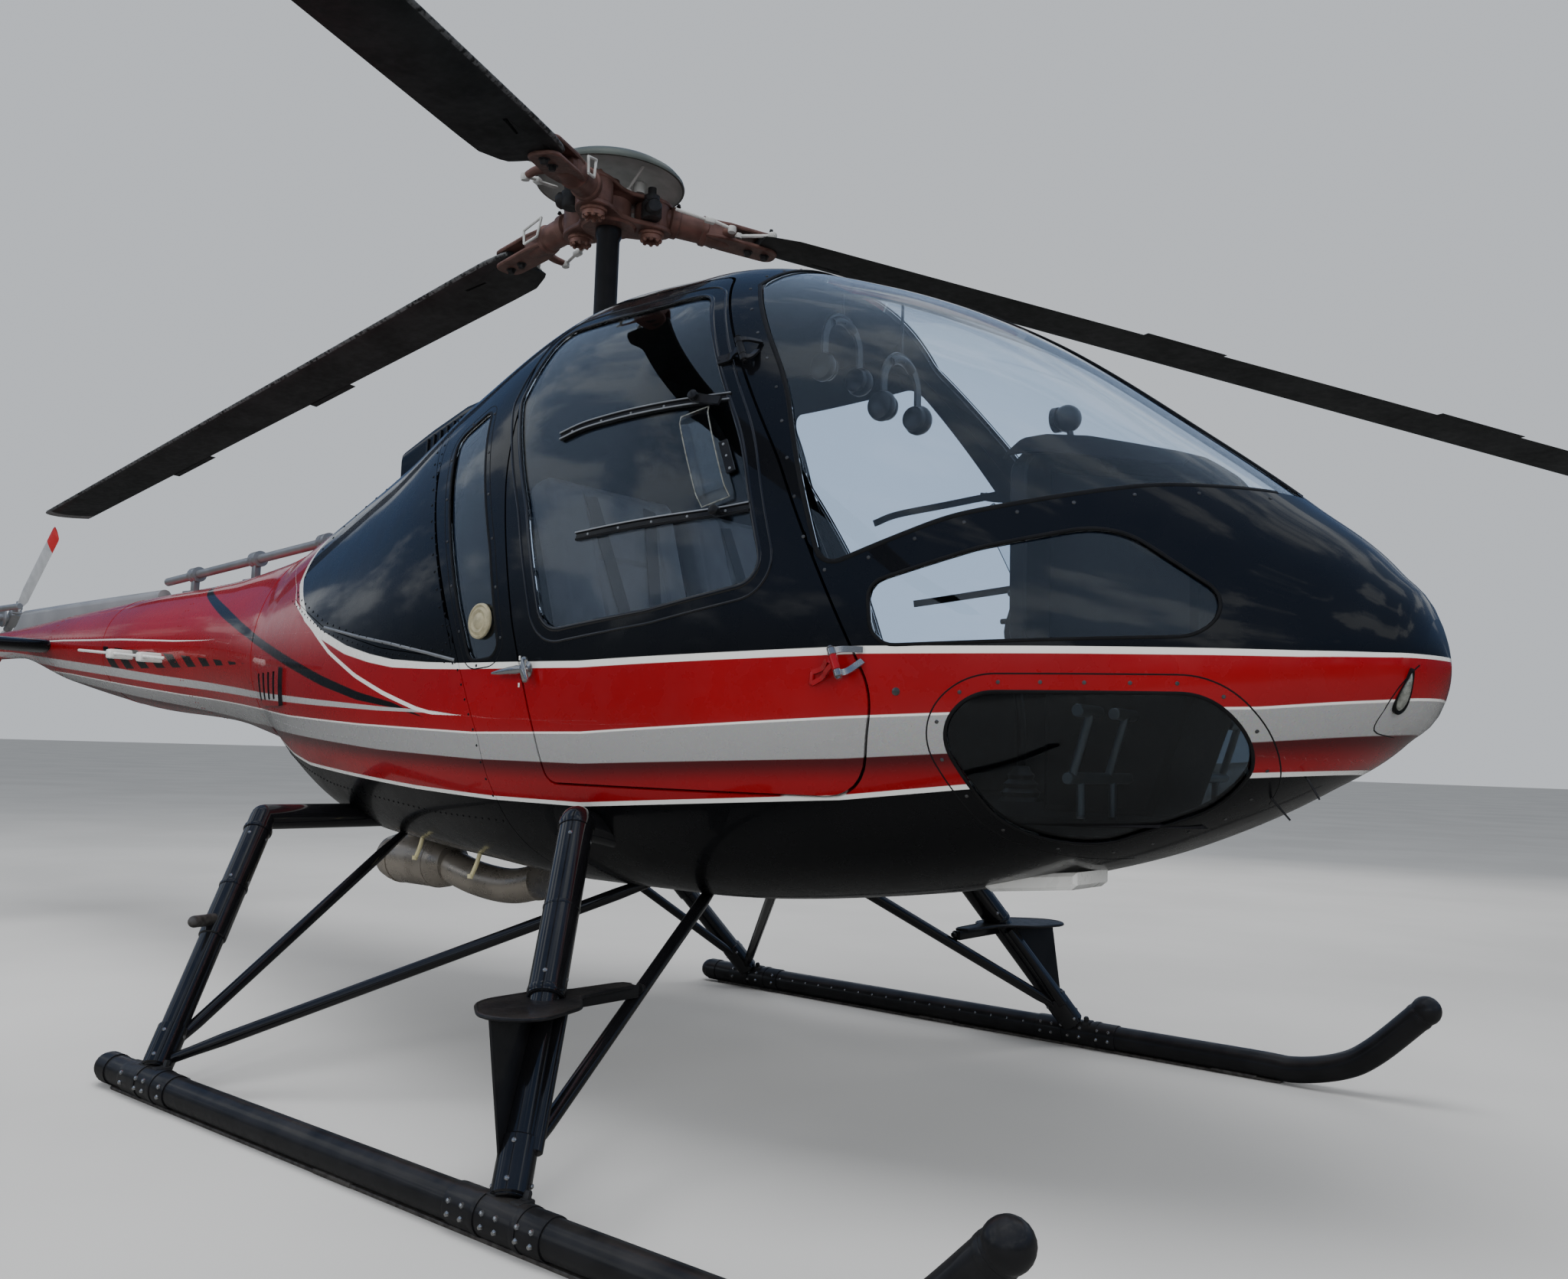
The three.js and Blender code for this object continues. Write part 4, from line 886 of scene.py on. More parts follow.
def rescaled(tree, value, low, high, first, last):
    """A straight step from first at low to last at high."""
    return node(tree, "MapRange", {
        "Value": value, "From Min": low, "From Max": high, "To Min": first, "To Max": last,
    }).outputs["Result"]


def over(tree, base, colour, mask):
    """A colour laid over base where mask is 1."""
    made = node(tree, "Mix", {0: mask, 6: base, 7: colour}, data_type="RGBA")
    return made.outputs[2]


def line_mask(tree, value):
    """1 within one half width of a line, with a soft edge."""
    return ramp(tree, combine(tree, "ABSOLUTE", value), 1.12, 0.88)


def noise(tree, scale, detail=3.0, roughness=0.55, stretch=None):
    """Noise in the object's own coordinates."""
    coords = node(tree, "TexCoord").outputs["Object"]
    if stretch:
        coords = node(tree, "Mapping", {"Vector": coords, "Scale": stretch}).outputs["Vector"]
    made = node(tree, "TexNoise",
                {"Vector": coords, "Scale": scale, "Detail": detail, "Roughness": roughness})
    return made.outputs["Fac"]


def finish_surface(tree, inputs, bumps=()):
    """A principled surface; each bump is (height socket, strength, distance)."""
    normal = None
    for height, strength, distance in bumps:
        given = {"Height": height, "Strength": strength, "Distance": distance}
        if normal:
            given["Normal"] = normal
        normal = node(tree, "Bump", given).outputs["Normal"]
    shader = node(tree, "BsdfPrincipled", {**inputs, **({"Normal": normal} if normal else {})})
    out = node(tree, "OutputMaterial")
    tree.links.new(shader.outputs[0], out.inputs["Surface"])


def plain(name, colour, roughness, metallic=0.0, coat=0.0, shade=0.8, grain=40.0, rough_spread=0.08,
          relief=0.0, relief_scale=300.0, dust=0.0, specular=0.5):
    """A one-colour finish with faint clouds of shade, uneven gloss, and optionally a fine relief and dust
    that gathers on faces that look up."""
    tree = material(name)
    cloud = noise(tree, grain)
    dark = tuple(c * shade for c in colour)
    base = over(tree, (*dark, 1), (*colour, 1), ramp(tree, cloud, 0.35, 0.62))
    least, most = max(0.02, roughness - rough_spread), min(1, roughness + rough_spread)
    rough = rescaled(tree, noise(tree, grain * 4, 4.0), 0.3, 0.7, least, most)
    if dust:
        facing = node(tree, "SeparateXYZ", {0: node(tree, "NewGeometry").outputs["Normal"]}).outputs["Z"]
        settled = times(tree, ramp(tree, facing, 0.2, 1.0), dust, ramp(tree, noise(tree, 9.0), 0.3, 0.7))
        base = over(tree, base, (0.32, 0.29, 0.25, 1), settled)
    bumps = [(noise(tree, relief_scale, 2.0), relief, 0.002)] if relief else []
    finish_surface(tree, {
        "Base Color": base, "Roughness": rough, "Metallic": metallic, "Coat Weight": coat,
        "Coat Roughness": 0.04, "Specular IOR Level": specular,
    }, bumps)


def livery(look):
    """The painted skin: black over red along the belt, a silver band with a soft shadow and a painted
    highlight along its top edge, pinstripes and swooshes by their fields, a row of slanted bars on the boom,
    painted shade that darkens the red low down, and a black belly."""
    tree = material("livery")
    red, black = (*look.red, 1), (*look.black, 1)
    white, silver = (*look.white, 1), (*look.silver, 1)
    place = node(tree, "SeparateXYZ", {0: node(tree, "TexCoord").outputs["Object"]})
    x = combine(tree, "SUBTRACT", place.outputs["X"], float(SHIFT[0]))
    z = place.outputs["Z"]
    cloud = noise(tree, 2.2, 2.0)
    base = over(tree, tuple(c * 0.86 for c in red[:3]) + (1,), red, ramp(tree, cloud, 0.3, 0.7))
    band_low, band_top = field(tree, "band_low"), field(tree, "band_top")
    shadow = times(tree, ramp(tree, band_low, -0.055, -0.004), ramp(tree, band_low, 0.012, -0.002),
                   ramp(tree, x, -5.2, -3.0), 0.85)
    base = over(tree, base, (0.02, 0.003, 0.004, 1), shadow)
    # Painted shade: the red turns darker from a little below the band downwards.
    under = times(tree, ramp(tree, band_low, -0.1, -0.32), 0.6)
    base = over(tree, base, tuple(c * 0.45 for c in red[:3]) + (1,), under)
    in_band = times(tree, ramp(tree, band_low, -SOFT_EDGE, SOFT_EDGE),
                    ramp(tree, band_top, SOFT_EDGE, -SOFT_EDGE), ramp(tree, x, -5.3, -4.9))
    flake = node(tree, "TexVoronoi", {"Scale": 900.0}).outputs["Color"]
    base = over(tree, base, over(tree, silver, flake, 0.06), in_band)
    # A thin white line on the band's top edge: a painted highlight.
    edge = times(tree, ramp(tree, band_top, -0.0015, 0.0005), ramp(tree, band_top, 0.0055, 0.0035))
    base = over(tree, base, white, edge)
    # The bars lean back and get shorter to the front.
    lean = combine(tree, "ADD", x, times(tree, z, 1.15))
    wave = combine(tree, "PINGPONG", lean, 0.075)
    middle, tall = (rescaled(tree, x, -2.95, -1.45, *ends) for ends in ((1.262, 1.198), (0.052, 0.0)))
    off = combine(tree, "ABSOLUTE", combine(tree, "SUBTRACT", z, middle))
    bars = times(tree, ramp(tree, combine(tree, "SUBTRACT", off, tall), 0.001, -0.001),
                 ramp(tree, wave, 0.034, 0.037), ramp(tree, x, -2.951, -2.949))
    base = over(tree, base, black, bars)
    for key, colour in (("slash", black), ("boom_line", silver), ("seam_line", white), ("sweep", white)):
        base = over(tree, base, colour, line_mask(tree, field(tree, key)))
    above_low = field(tree, "above_low")
    fore = ramp(tree, x, -1.62, -1.5)
    low_black = times(tree, ramp(tree, above_low, SOFT_EDGE, -SOFT_EDGE), fore)
    base = over(tree, base, black, low_black)
    base = over(tree, base, white, times(tree, line_mask(tree, field(tree, "low")), fore))
    base = over(tree, base, black, ramp(tree, field(tree, "above_belt"), -SOFT_EDGE, SOFT_EDGE))
    base = over(tree, base, white, line_mask(tree, field(tree, "belt")))
    roof = field(tree, "roof")
    base = over(tree, base, red, ramp(tree, roof, -0.001, 0.001))
    edge = times(tree, ramp(tree, roof, -0.009, -0.007), ramp(tree, roof, 0.001, -0.001))
    base = over(tree, base, white, edge)
    rough = rescaled(tree, noise(tree, 14.0, 4.0), 0.3, 0.7, 0.22, 0.34)
    finish_surface(tree, {
        "Base Color": base, "Roughness": rough, "Metallic": times(tree, in_band, 0.35),
        "Coat Weight": combine(tree, "SUBTRACT", look.gloss, times(tree, low_black, 0.6 * look.gloss)),
        "Coat Roughness": 0.025, "Specular IOR Level": 0.2,
    }, [(noise(tree, 3.1, 1.0, 0.4), 0.25, 0.006), (noise(tree, 240.0, 1.0), 0.004, 0.001)])


def glass(name, tint):
    """Clear or smoked sheet: full transmission with a tint and faint smears in its gloss."""
    tree = material(name)
    rough = rescaled(tree, noise(tree, 6.0, 3.0, 0.5, (1, 1, 3)), 0.55, 0.8, 0.0, 0.006)
    finish_surface(tree, {
        "Base Color": (*tint, 1), "Roughness": rough, "IOR": 1.45, "Transmission Weight": 1.0,
        "Specular IOR Level": 0.5,
    })


def make_materials(look):
    """Every finish once."""
    if MATERIALS:
        return
    livery(look)
    tail_blade_finish()
    rotor_blade_finish()
    black, red = tuple(look.black), tuple(look.red)
    plain("black_paint", black, 0.22, coat=look.gloss, shade=0.7, grain=5.0, specular=0.2)
    plain("red_paint", red, 0.25, coat=look.gloss, shade=0.85, grain=3.0)
    plain("grey_paint", (0.2, 0.205, 0.215), 0.35, coat=0.5, shade=0.85, grain=6.0)
    plain("white_paint", tuple(look.white), 0.3, coat=0.5, shade=0.92, grain=8.0)
    glass("clear_sheet", (0.84, 0.88, 0.91))
    glass("door_sheet", (0.8, 0.84, 0.88))
    glass("smoked_sheet", (0.24, 0.27, 0.29))
    plain("seal", (0.006, 0.006, 0.0065), 0.4, relief=0.1, specular=0.25)
    plain("lining", (0.016, 0.017, 0.02), 0.7, shade=0.7, relief=0.08, relief_scale=500.0,
          specular=0.2)
    plain("floor_mat", (0.012, 0.012, 0.014), 0.9, specular=0.1)
    plain("panel_black", (0.012, 0.012, 0.013), 0.5, relief=0.1, relief_scale=600.0, specular=0.3)
    plain("screw_head", (0.2, 0.2, 0.2), 0.35, 0.9, shade=0.6)
    plain("leather", (0.16, 0.16, 0.165), 0.55, shade=0.82, grain=12.0, relief=0.35,
          relief_scale=260.0)
    plain("webbing", (0.055, 0.055, 0.06), 0.85, relief=0.6, relief_scale=900.0)
    plain("steel", (0.6, 0.6, 0.6), 0.2, 0.95, shade=0.9, grain=8.0, rough_spread=0.04)
    plain("alloy", (0.48, 0.49, 0.5), 0.38, 0.85, shade=0.85, grain=10.0, rough_spread=0.08)
    plain("dark_metal", (0.05, 0.05, 0.052), 0.45, 0.7, shade=0.7, rough_spread=0.14)
    plain("satin_black", (0.008, 0.008, 0.009), 0.36, coat=0.25, shade=0.7, grain=14.0,
          dust=0.04, specular=0.35)
    plain("gloss_black", (0.006, 0.006, 0.007), 0.16, coat=0.8, shade=0.7, grain=6.0)
    plain("worn_steel", (0.17, 0.16, 0.15), 0.5, 0.8, shade=0.55, grain=60.0, rough_spread=0.16)
    plain("exhaust_metal", (0.42, 0.375, 0.32), 0.3, 0.75, shade=0.72, grain=6.0, rough_spread=0.1,
          relief=0.03)
    plain("primer", (0.15, 0.083, 0.07), 0.42, 0.45, shade=0.7, grain=22.0, rough_spread=0.12)
    plain("hub_nut", (0.24, 0.13, 0.105), 0.38, 0.5, shade=0.7, grain=30.0, rough_spread=0.12)
    plain("pale_grey", (0.42, 0.43, 0.42), 0.45, 0.2, shade=0.8, grain=18.0)
    plain("cap_shell", (0.05, 0.058, 0.052), 0.4, coat=0.2, shade=0.8, grain=9.0)
    plain("blade_paint", (0.013, 0.014, 0.0145), 0.5, shade=0.75, grain=7.0, rough_spread=0.1,
          specular=0.25)
    plain("tip_red", (0.4, 0.02, 0.02), 0.4, shade=0.85)
    plain("tip_white", (0.65, 0.65, 0.64), 0.4, shade=0.9)
    plain("rubber", (0.015, 0.015, 0.015), 0.8, relief=0.2)
    plain("tube_yellow", (0.55, 0.5, 0.28), 0.45, shade=0.85)
    plain("brass", (0.55, 0.4, 0.16), 0.35, 0.9, shade=0.8)
    plain("dial_face", (0.006, 0.006, 0.007), 0.25, coat=0.6)
    plain("dial_mark", (0.6, 0.6, 0.58), 0.5)
    plain("lamp_glass", (0.3, 0.31, 0.28), 0.2, 0.6, coat=1.0, shade=0.6, grain=90.0)
    plain("vent_brass", (0.5, 0.45, 0.3), 0.4, 0.5, shade=0.75, grain=60.0, relief=0.5,
          relief_scale=900.0)


def stage_floor():
    """A pale flat floor: a square sheet just under the skids."""
    n = FLOOR_COUNT
    line = np.linspace(-FLOOR_HALF, FLOOR_HALF, n)
    x, y = np.meshgrid(line, line, indexing="ij")
    points = np.stack([x, y, np.full_like(x, GROUND_Z - 0.0005)], -1).reshape(-1, 3)
    tree = material("studio_floor")
    pale = over(tree, (0.43, 0.43, 0.427, 1), (0.47, 0.47, 0.466, 1), ramp(tree, noise(tree, 0.6), 0.3, 0.7))
    # The paint and the glass mirror a darker ground, as an apron in the helicopter's shadow: painted shade.
    # The floor seen through a pane stays pale.
    path = node(tree, "LightPath").outputs
    base = over(tree, pale, (0.1, 0.1, 0.097, 1), path["Is Glossy Ray"])
    base = over(tree, base, pale, path["Is Transmission Ray"])
    finish_surface(tree, {"Base Color": base, "Roughness": 1.0, "Specular IOR Level": 0.0})
    obj = mesh("studio_floor", points, [ring_faces(n, n, closed_round=False)], "studio_floor", None)


def softbox(name, place, target, size, power, colour=(1, 1, 1)):
    """One area light that faces a point. Neither the camera nor a pane or mirror shows it."""
    data = bpy.data.lights.new(name, "AREA")
    data.shape = "RECTANGLE"
    data.size, data.size_y = size
    data.energy = power
    data.color = colour
    obj = bpy.data.objects.new(name, data)
    bpy.context.scene.collection.objects.link(obj)
    obj.visible_camera = obj.visible_transmission = obj.visible_glossy = False
    aim(obj, np.asarray(place) + SHIFT, np.subtract(target, place))


def aim(obj, place, way, roll=0.0):
    """Puts a lamp or camera at a place, looking along way, rolled about it."""
    d = unit(way)
    r = unit(np.cross(d, (0, 0, 1)))
    u = np.cross(r, d)
    c, s = math.cos(roll), math.sin(roll)
    rows = np.eye(4)
    rows[:3] = np.stack([c * r + s * u, c * u - s * r, -d, place], -1)
    obj.matrix_world = Matrix(rows.tolist())


def stage_camera():
    """The photo's camera: its place, direction and field of view."""
    data = bpy.data.cameras.new("photo_camera")
    data.sensor_fit = "HORIZONTAL"
    data.sensor_width = SENSOR_WIDTH
    data.lens = CAMERA_FOCAL * SENSOR_WIDTH / PHOTO_WIDTH
    data.clip_start, data.clip_end = 0.05, 300
    obj = bpy.data.objects.new("photo_camera", data)
    bpy.context.scene.collection.objects.link(obj)
    yaw, pitch = math.radians(CAMERA_YAW), math.radians(CAMERA_PITCH)
    way = (math.cos(yaw) * math.cos(pitch), math.sin(yaw) * math.cos(pitch), math.sin(pitch))
    aim(obj, np.array(CAMERA_PLACE) + SHIFT, way, math.radians(CAMERA_ROLL))
    bpy.context.scene.camera = obj


def stage_lights():
    """A pale sky, which mirrors see as blue with soft clouds and a dim horizon and panes as pale blue, and
    five soft boxes that no mirror shows."""
    world = bpy.data.worlds.new("studio_sky")
    world.use_nodes = True
    tree = world.node_tree
    way = node(tree, "TexCoord").outputs["Generated"]
    height = node(tree, "SeparateXYZ", {0: way}).outputs["Z"]
    sky = over(tree, (0.04, 0.05, 0.06, 1), (0.075, 0.13, 0.25, 1), ramp(tree, height, 0.03, 0.3))
    cloud = node(tree, "TexNoise", {
        "Vector": node(tree, "Mapping", {"Vector": way, "Scale": (1, 1, 2.2)}).outputs[0],
        "Scale": 2.6, "Detail": 5.0, "Roughness": 0.55,
    }).outputs["Fac"]
    cloud = times(tree, ramp(tree, cloud, 0.5, 0.62), ramp(tree, height, 0.05, 0.22))
    sky = over(tree, sky, (0.62, 0.66, 0.7, 1), cloud)
    tree.links.new(sky, tree.nodes["Background"].inputs["Color"])
    backdrop = node(tree, "Background", {"Color": (0.62, 0.65, 0.69, 1), "Strength": 1.0})
    beyond = node(tree, "Background", {"Color": (0.62, 0.75, 0.95, 1), "Strength": 1.1})
    ray = node(tree, "LightPath")
    # A ray that has crossed a pane counts as both kinds, so the pane's choice comes last.
    mixed = node(tree, "MixShader", {0: ray.outputs["Is Glossy Ray"], 1: backdrop.outputs[0],
                                     2: tree.nodes["Background"].outputs[0]})
    mixed = node(tree, "MixShader", {0: ray.outputs["Is Transmission Ray"], 1: mixed.outputs[0],
                                     2: beyond.outputs[0]})
    tree.links.new(mixed.outputs[0], tree.nodes["World Output"].inputs["Surface"])
    bpy.context.scene.world = world
    softbox("light_top", (0.5, -2.0, 9.0), (0, 0, 1.2), (9, 5), 900)
    softbox("light_front", (7.5, -5.0, 3.6), (0.8, 0, 1.2), (4, 2.5), 300)
    softbox("light_side", (-4.0, -9.0, 4.5), (-1.0, 0, 1.2), (8, 2.6), 420, (0.97, 0.98, 1))
    softbox("light_low", (2.5, -8.0, 1.4), (0.3, 0, 1.0), (7, 1.2), 60, (1, 0.98, 0.95))
    softbox("light_back", (-2.0, 9.0, 5.0), (0, 0, 1.5), (9, 4), 350, (1, 0.97, 0.94))


def outer_window_field(points):
    """Below zero inside any of the shell's windows."""
    y = np.abs(points[..., 1])
    return np.minimum.reduce([
        np.maximum(inside(points[..., [0, 2]], rounded(outline)), start - y) for _, outline, start in WINDOWS
    ])


def cabin_field(points):
    """Below zero on the cabin shell: ahead of the seam, outside the doors, the top cowl and the windows."""
    p = points[..., [0, 2]]
    y = np.abs(points[..., 1])
    door = np.maximum(inside(p, rounded(DOOR)), DOOR_START - DOOR_GAP - y)
    return np.maximum.reduce([
        inside(p, AHEAD) + HALF_SLOT, -door, HALF_SLOT - top_cowl_field(points), -outer_window_field(points),
    ])


def door_field(side):
    """Below zero on a door: inside its outline less the gap, outside its window, on its own side."""
    def field_of(points):
        p = points[..., [0, 2]]
        return np.maximum.reduce([
            inside(p, rounded(DOOR)) + DOOR_GAP, -inside(p, rounded(DOOR_WINDOW)),
            DOOR_START - points[..., 1] * side,
        ])
    return field_of


def window_field(outline, start, side, cut=0.003):
    """Below zero inside a window's outline on its own side, less the seat."""
    def field_of(points):
        p = points[..., [0, 2]]
        return np.maximum(inside(p, rounded(outline)) + cut, start + cut - points[..., 1] * side)
    return field_of


def build_cabin():
    """The cabin's painted shell with its openings."""
    skin("cabin_skin", -0.3, NOSE_TIP_FROM, cabin_field, "livery", "airframe", ["cabin_shell"],
         wall=THICK_WALL, cell=0.0145, inner="lining")


def build_doors():
    """The two doors, each a frame round its window."""
    for word, side in SIDES:
        skin("door_skin_" + word, 0.3, 1.6, door_field(side), "livery", "door_" + word, ["door_" + word],
             wall=THICK_WALL, cell=0.0135, turns=HALF_TURNS[side], inner="lining")


def build_glazing():
    """Every pane, set a little inside the skin's face."""
    for word, side in SIDES:
        for name, outline, start in WINDOWS:
            xs = [c[0] for c in outline]
            high = min(max(xs), NOSE_X)
            tint = "smoked_sheet" if name == "chin_window" else "clear_sheet"
            skin(f"{name}_pane_{word}", min(xs), high, window_field(outline, start, side), tint, "airframe",
                 [f"{name}_{word}"], wall=PANE_WALL, inset=PANE_WALL, cell=0.018, turns=HALF_TURNS[side],
                 painted=False)
        skin(f"door_pane_{word}", 0.35, 1.35, window_field(DOOR_WINDOW, DOOR_START, side), "door_sheet",
             "door_" + word, ["door_window_" + word], wall=PANE_WALL, inset=PANE_WALL, cell=0.018,
             turns=HALF_TURNS[side], painted=False)


def build_stage():
    """Floor, lights and camera."""
    stage_floor()
    stage_lights()
    stage_camera()


def top_cowl_field(points):
    """Below zero inside the top cowl's outline."""
    return np.maximum(inside(points[..., [0, 2]], TOP_COWL), np.abs(points[..., 1]) - PANEL_TOP_Y)


def engine_panel_field(points):
    """Below zero inside either engine panel's outline."""
    return np.maximum(inside(points[..., [0, 2]], ENGINE_PANEL), PANEL_TOP_Y - np.abs(points[..., 1]))


def aft_field(points):
    """Below zero on the aft body: behind the seam, outside the engine panels and the top cowl. Where a
    panel reaches the seam no strip is left between them."""
    z = points[..., 2]
    behind = inside(points[..., [0, 2]], BEHIND) + np.where((z > 1.28) & (z < 1.67), 0.02, HALF_SLOT)
    return np.maximum.reduce([
        behind, HALF_SLOT - engine_panel_field(points), HALF_SLOT - top_cowl_field(points),
    ])


def vent_field(side):
    """Below zero on the raised vent: inside its outline and outside its upright slots."""
    def field_of(points):
        x, z = points[..., 0], points[..., 2]
        tall = np.abs(z - VENT_SLOT_Z) - 0.047
        slots = np.minimum.reduce([np.maximum(np.abs(x - at) - 0.013, tall) for at in VENT_SLOTS])
        return np.maximum.reduce([inside(points[..., [0, 2]], VENT), -slots,
                                  VENT_START - points[..., 1] * side])
    return field_of


def signed_area(p):
    """The area of an outline, above zero where it runs counter-clockwise."""
    return 0.5 * np.sum(p[:, 0] * np.roll(p[:, 1], -1) - np.roll(p[:, 0], -1) * p[:, 1])


def plate(outline, low, high, axes="xz", edge=0.002):
    """A flat outline given a thickness with bevelled rims: four rings of the outline, the outer two moved
    in by edge along the bisectors of its corners."""
    p = np.asarray(outline, float)
    if signed_area(p) < 0:
        p = p[::-1]
    before, after = unit(p - np.roll(p, 1, 0)), unit(np.roll(p, -1, 0) - p)
    inner = np.stack([-(before + after)[:, 1], (before + after)[:, 0]], -1)
    inner /= np.maximum(np.einsum("ij,ij->i", inner, np.stack([-after[:, 1], after[:, 0]], -1))[:, None], 0.2)
    edge = min(edge, abs(high - low) / 3)
    level = [low, low + edge, high - edge, high]
    rings = [p + inner * edge, p, p, p + inner * edge]
    order = {"xz": (0, 2, 1), "xy": (0, 1, 2), "yz": (1, 2, 0)}[axes]
    points = np.zeros((4, len(p), 3))
    for k in range(4):
        points[k][:, order] = np.column_stack([rings[k], np.full(len(p), level[k])])
    faces = ring_faces(4, len(p))
    first, last = np.arange(len(p))[::-1][None], np.arange(3 * len(p), 4 * len(p))[None]
    if axes == "xz":
        faces, first, last = faces[:, ::-1], first[:, ::-1], last[:, ::-1]
    return points.reshape(-1, 3), [faces, first, last]


def grown(outline, by):
    """An outline moved out by a distance along the bisectors of its corners."""
    p = np.asarray(outline, float)
    both = unit(p - np.roll(p, 1, 0)) + unit(np.roll(p, -1, 0) - p)
    return p + by * unit(np.stack([both[:, 1], -both[:, 0]], -1)) * np.sign(signed_area(p))


def outline_on_skin(outline, side, pitch, grow, out, start):
    """Points on the skin at even distances along an outline of the side view, moved out by grow in that
    view, their normals, and whether all were kept. Points past the crown or nearer the centre plane than
    start are left out."""
    p = spaced(grown(spaced(outline, 0.008), grow), pitch)
    points, normals = on_skin(p[:, 0], p[:, 1], side, out)
    low, high = curve(2, p[:, 0]) + 0.002, curve(1, p[:, 0]) - 0.002
    kept = (p[:, 1] > low) & (p[:, 1] < high) & (np.abs(points[:, 1]) > start)
    if not kept.all() and kept.any():
        first = int(np.argmax(~kept & np.roll(kept, -1))) + 1
        kept, points, normals = (np.roll(a, -first, 0) for a in (kept, points, normals))
    return points[kept], normals[kept], bool(kept.all())


def screws_round(outline, grow, pitch, radius, start):
    """Screw heads in a row round an outline on both sides."""
    rows = [outline_on_skin(rounded(outline, 9), side, pitch, grow, 0.0, start)[:2] for side in (-1, 1)]
    return domes(*(np.vstack(part) for part in zip(*rows)), radius)


def screws_along(line, pitch, radius):
    """Screw heads in a row along a line of the side view on both sides."""
    at = spaced(line, pitch, closed=False)
    rows = [on_skin(at[:, 0], at[:, 1], side) for side in (-1, 1)]
    return domes(*(np.vstack(part) for part in zip(*rows)), radius)


def painted_rings(name, grid, ends, instead_of=()):
    """A painted piece of closed rings, one row of the grid each, closed by a point at each end."""
    every = np.vstack([grid.reshape(-1, 3), ends])
    n, m = grid.shape[:2]
    ring = np.arange(m)
    last = (n - 1) * m
    every, faces = outward((every, [
        ring_faces(n, m),
        np.stack([np.roll(ring, -1), ring, np.full(m, n * m)], -1),
        np.stack([last + ring, last + np.roll(ring, -1), np.full(m, n * m + 1)], -1),
    ]))
    mesh(name, every, faces, "livery", "airframe", instead_of, attributes=paint_fields(every))


def build_aft(rivet):
    """The aft body, its engine panels, top cowl, vents and air scoop."""
    skin("aft_skin", AFT_END_X, 0.48, aft_field, "livery", "airframe", ["aft_body"], cell=0.0165,
         inner="lining")
    for word, side in SIDES:
        skin("engine_panel_skin_" + word, -1.0, 0.32,
             lambda points, side=side: np.maximum(engine_panel_field(points) + HALF_SLOT,
                                                  -points[..., 1] * side),
             "livery", "airframe", ["engine_panel_" + word], cell=0.014, turns=HALF_TURNS[side],
             inner="lining")
        skin("vent_" + word, -1.28, -0.9, vent_field(side), "livery", "airframe", wall=THICK_WALL,
             inset=-0.014, cell=0.006, turns=HALF_TURNS[side], inner="lining", rim=True)
        skin("vent_back_" + word, -1.28, -0.9,
             lambda points, side=side: np.maximum(inside(points[..., [0, 2]], VENT) + 0.008,
                                                  VENT_START - points[..., 1] * side),
             "lining", "airframe", wall=0.006, inset=-0.004, cell=0.012, turns=HALF_TURNS[side])
    skin("top_cowl_skin", -1.02, 0.14,
         lambda points: np.maximum.reduce([
             top_cowl_field(points) + HALF_SLOT, 0.05 - np.hypot(points[..., 0], points[..., 1]),
         ]),
         "livery", "airframe", ["top_cowl"], cell=0.012, turns=(0.0, math.pi), inner="lining")
    build_scoop()
    rows = [
        screws_round(ENGINE_PANEL, -0.016, 0.055, SCREW_RADIUS, PANEL_TOP_Y + 0.02),
        screws_along([(0.3, 1.138), (-0.09, 1.18), (-0.54, 1.262), (-0.95, 1.392)], 0.04, rivet),
        screws_along([(0.44, 0.8), (0.41, 0.95), (0.325, 1.12)], 0.045, rivet),
        screws_along([(0.31, 1.14), (0.07, 1.63), (-0.16, 2.05)], 0.036, rivet),
    ]
    mesh("aft_rivets", *merge(*rows), "black_paint")
    points, faces = merge(
        screws_along([(-1.3, 0.9), (-0.6, 0.79), (0.1, 0.74), (0.43, 0.735)], 0.03, rivet),
        screws_along([(-1.1, 1.03), (-0.7, 0.995), (-0.4, 0.975), (0.0, 0.96)], 0.04, rivet * 0.8),
        screws_along([(-1.1, 0.99), (-0.7, 0.955), (-0.4, 0.94), (0.0, 0.925)], 0.04, rivet * 0.8),
    )
    mesh("belly_rivets", points, faces, "livery", "airframe", attributes=paint_fields(points))
    line = [(-0.541, 1.276), (-0.251, 1.232), (-0.042, 1.203), (0.155, 1.172), (0.307, 1.146)]
    edge = on_skin(*spaced(line, 0.02, closed=False).T, 1)
    strip = sweep(edge[0], low_arch(0.0045, 0.0022), 1.0, edge[1])
    for side in (-1, 1):
        sided("panel_strip", side, strip, "alloy")


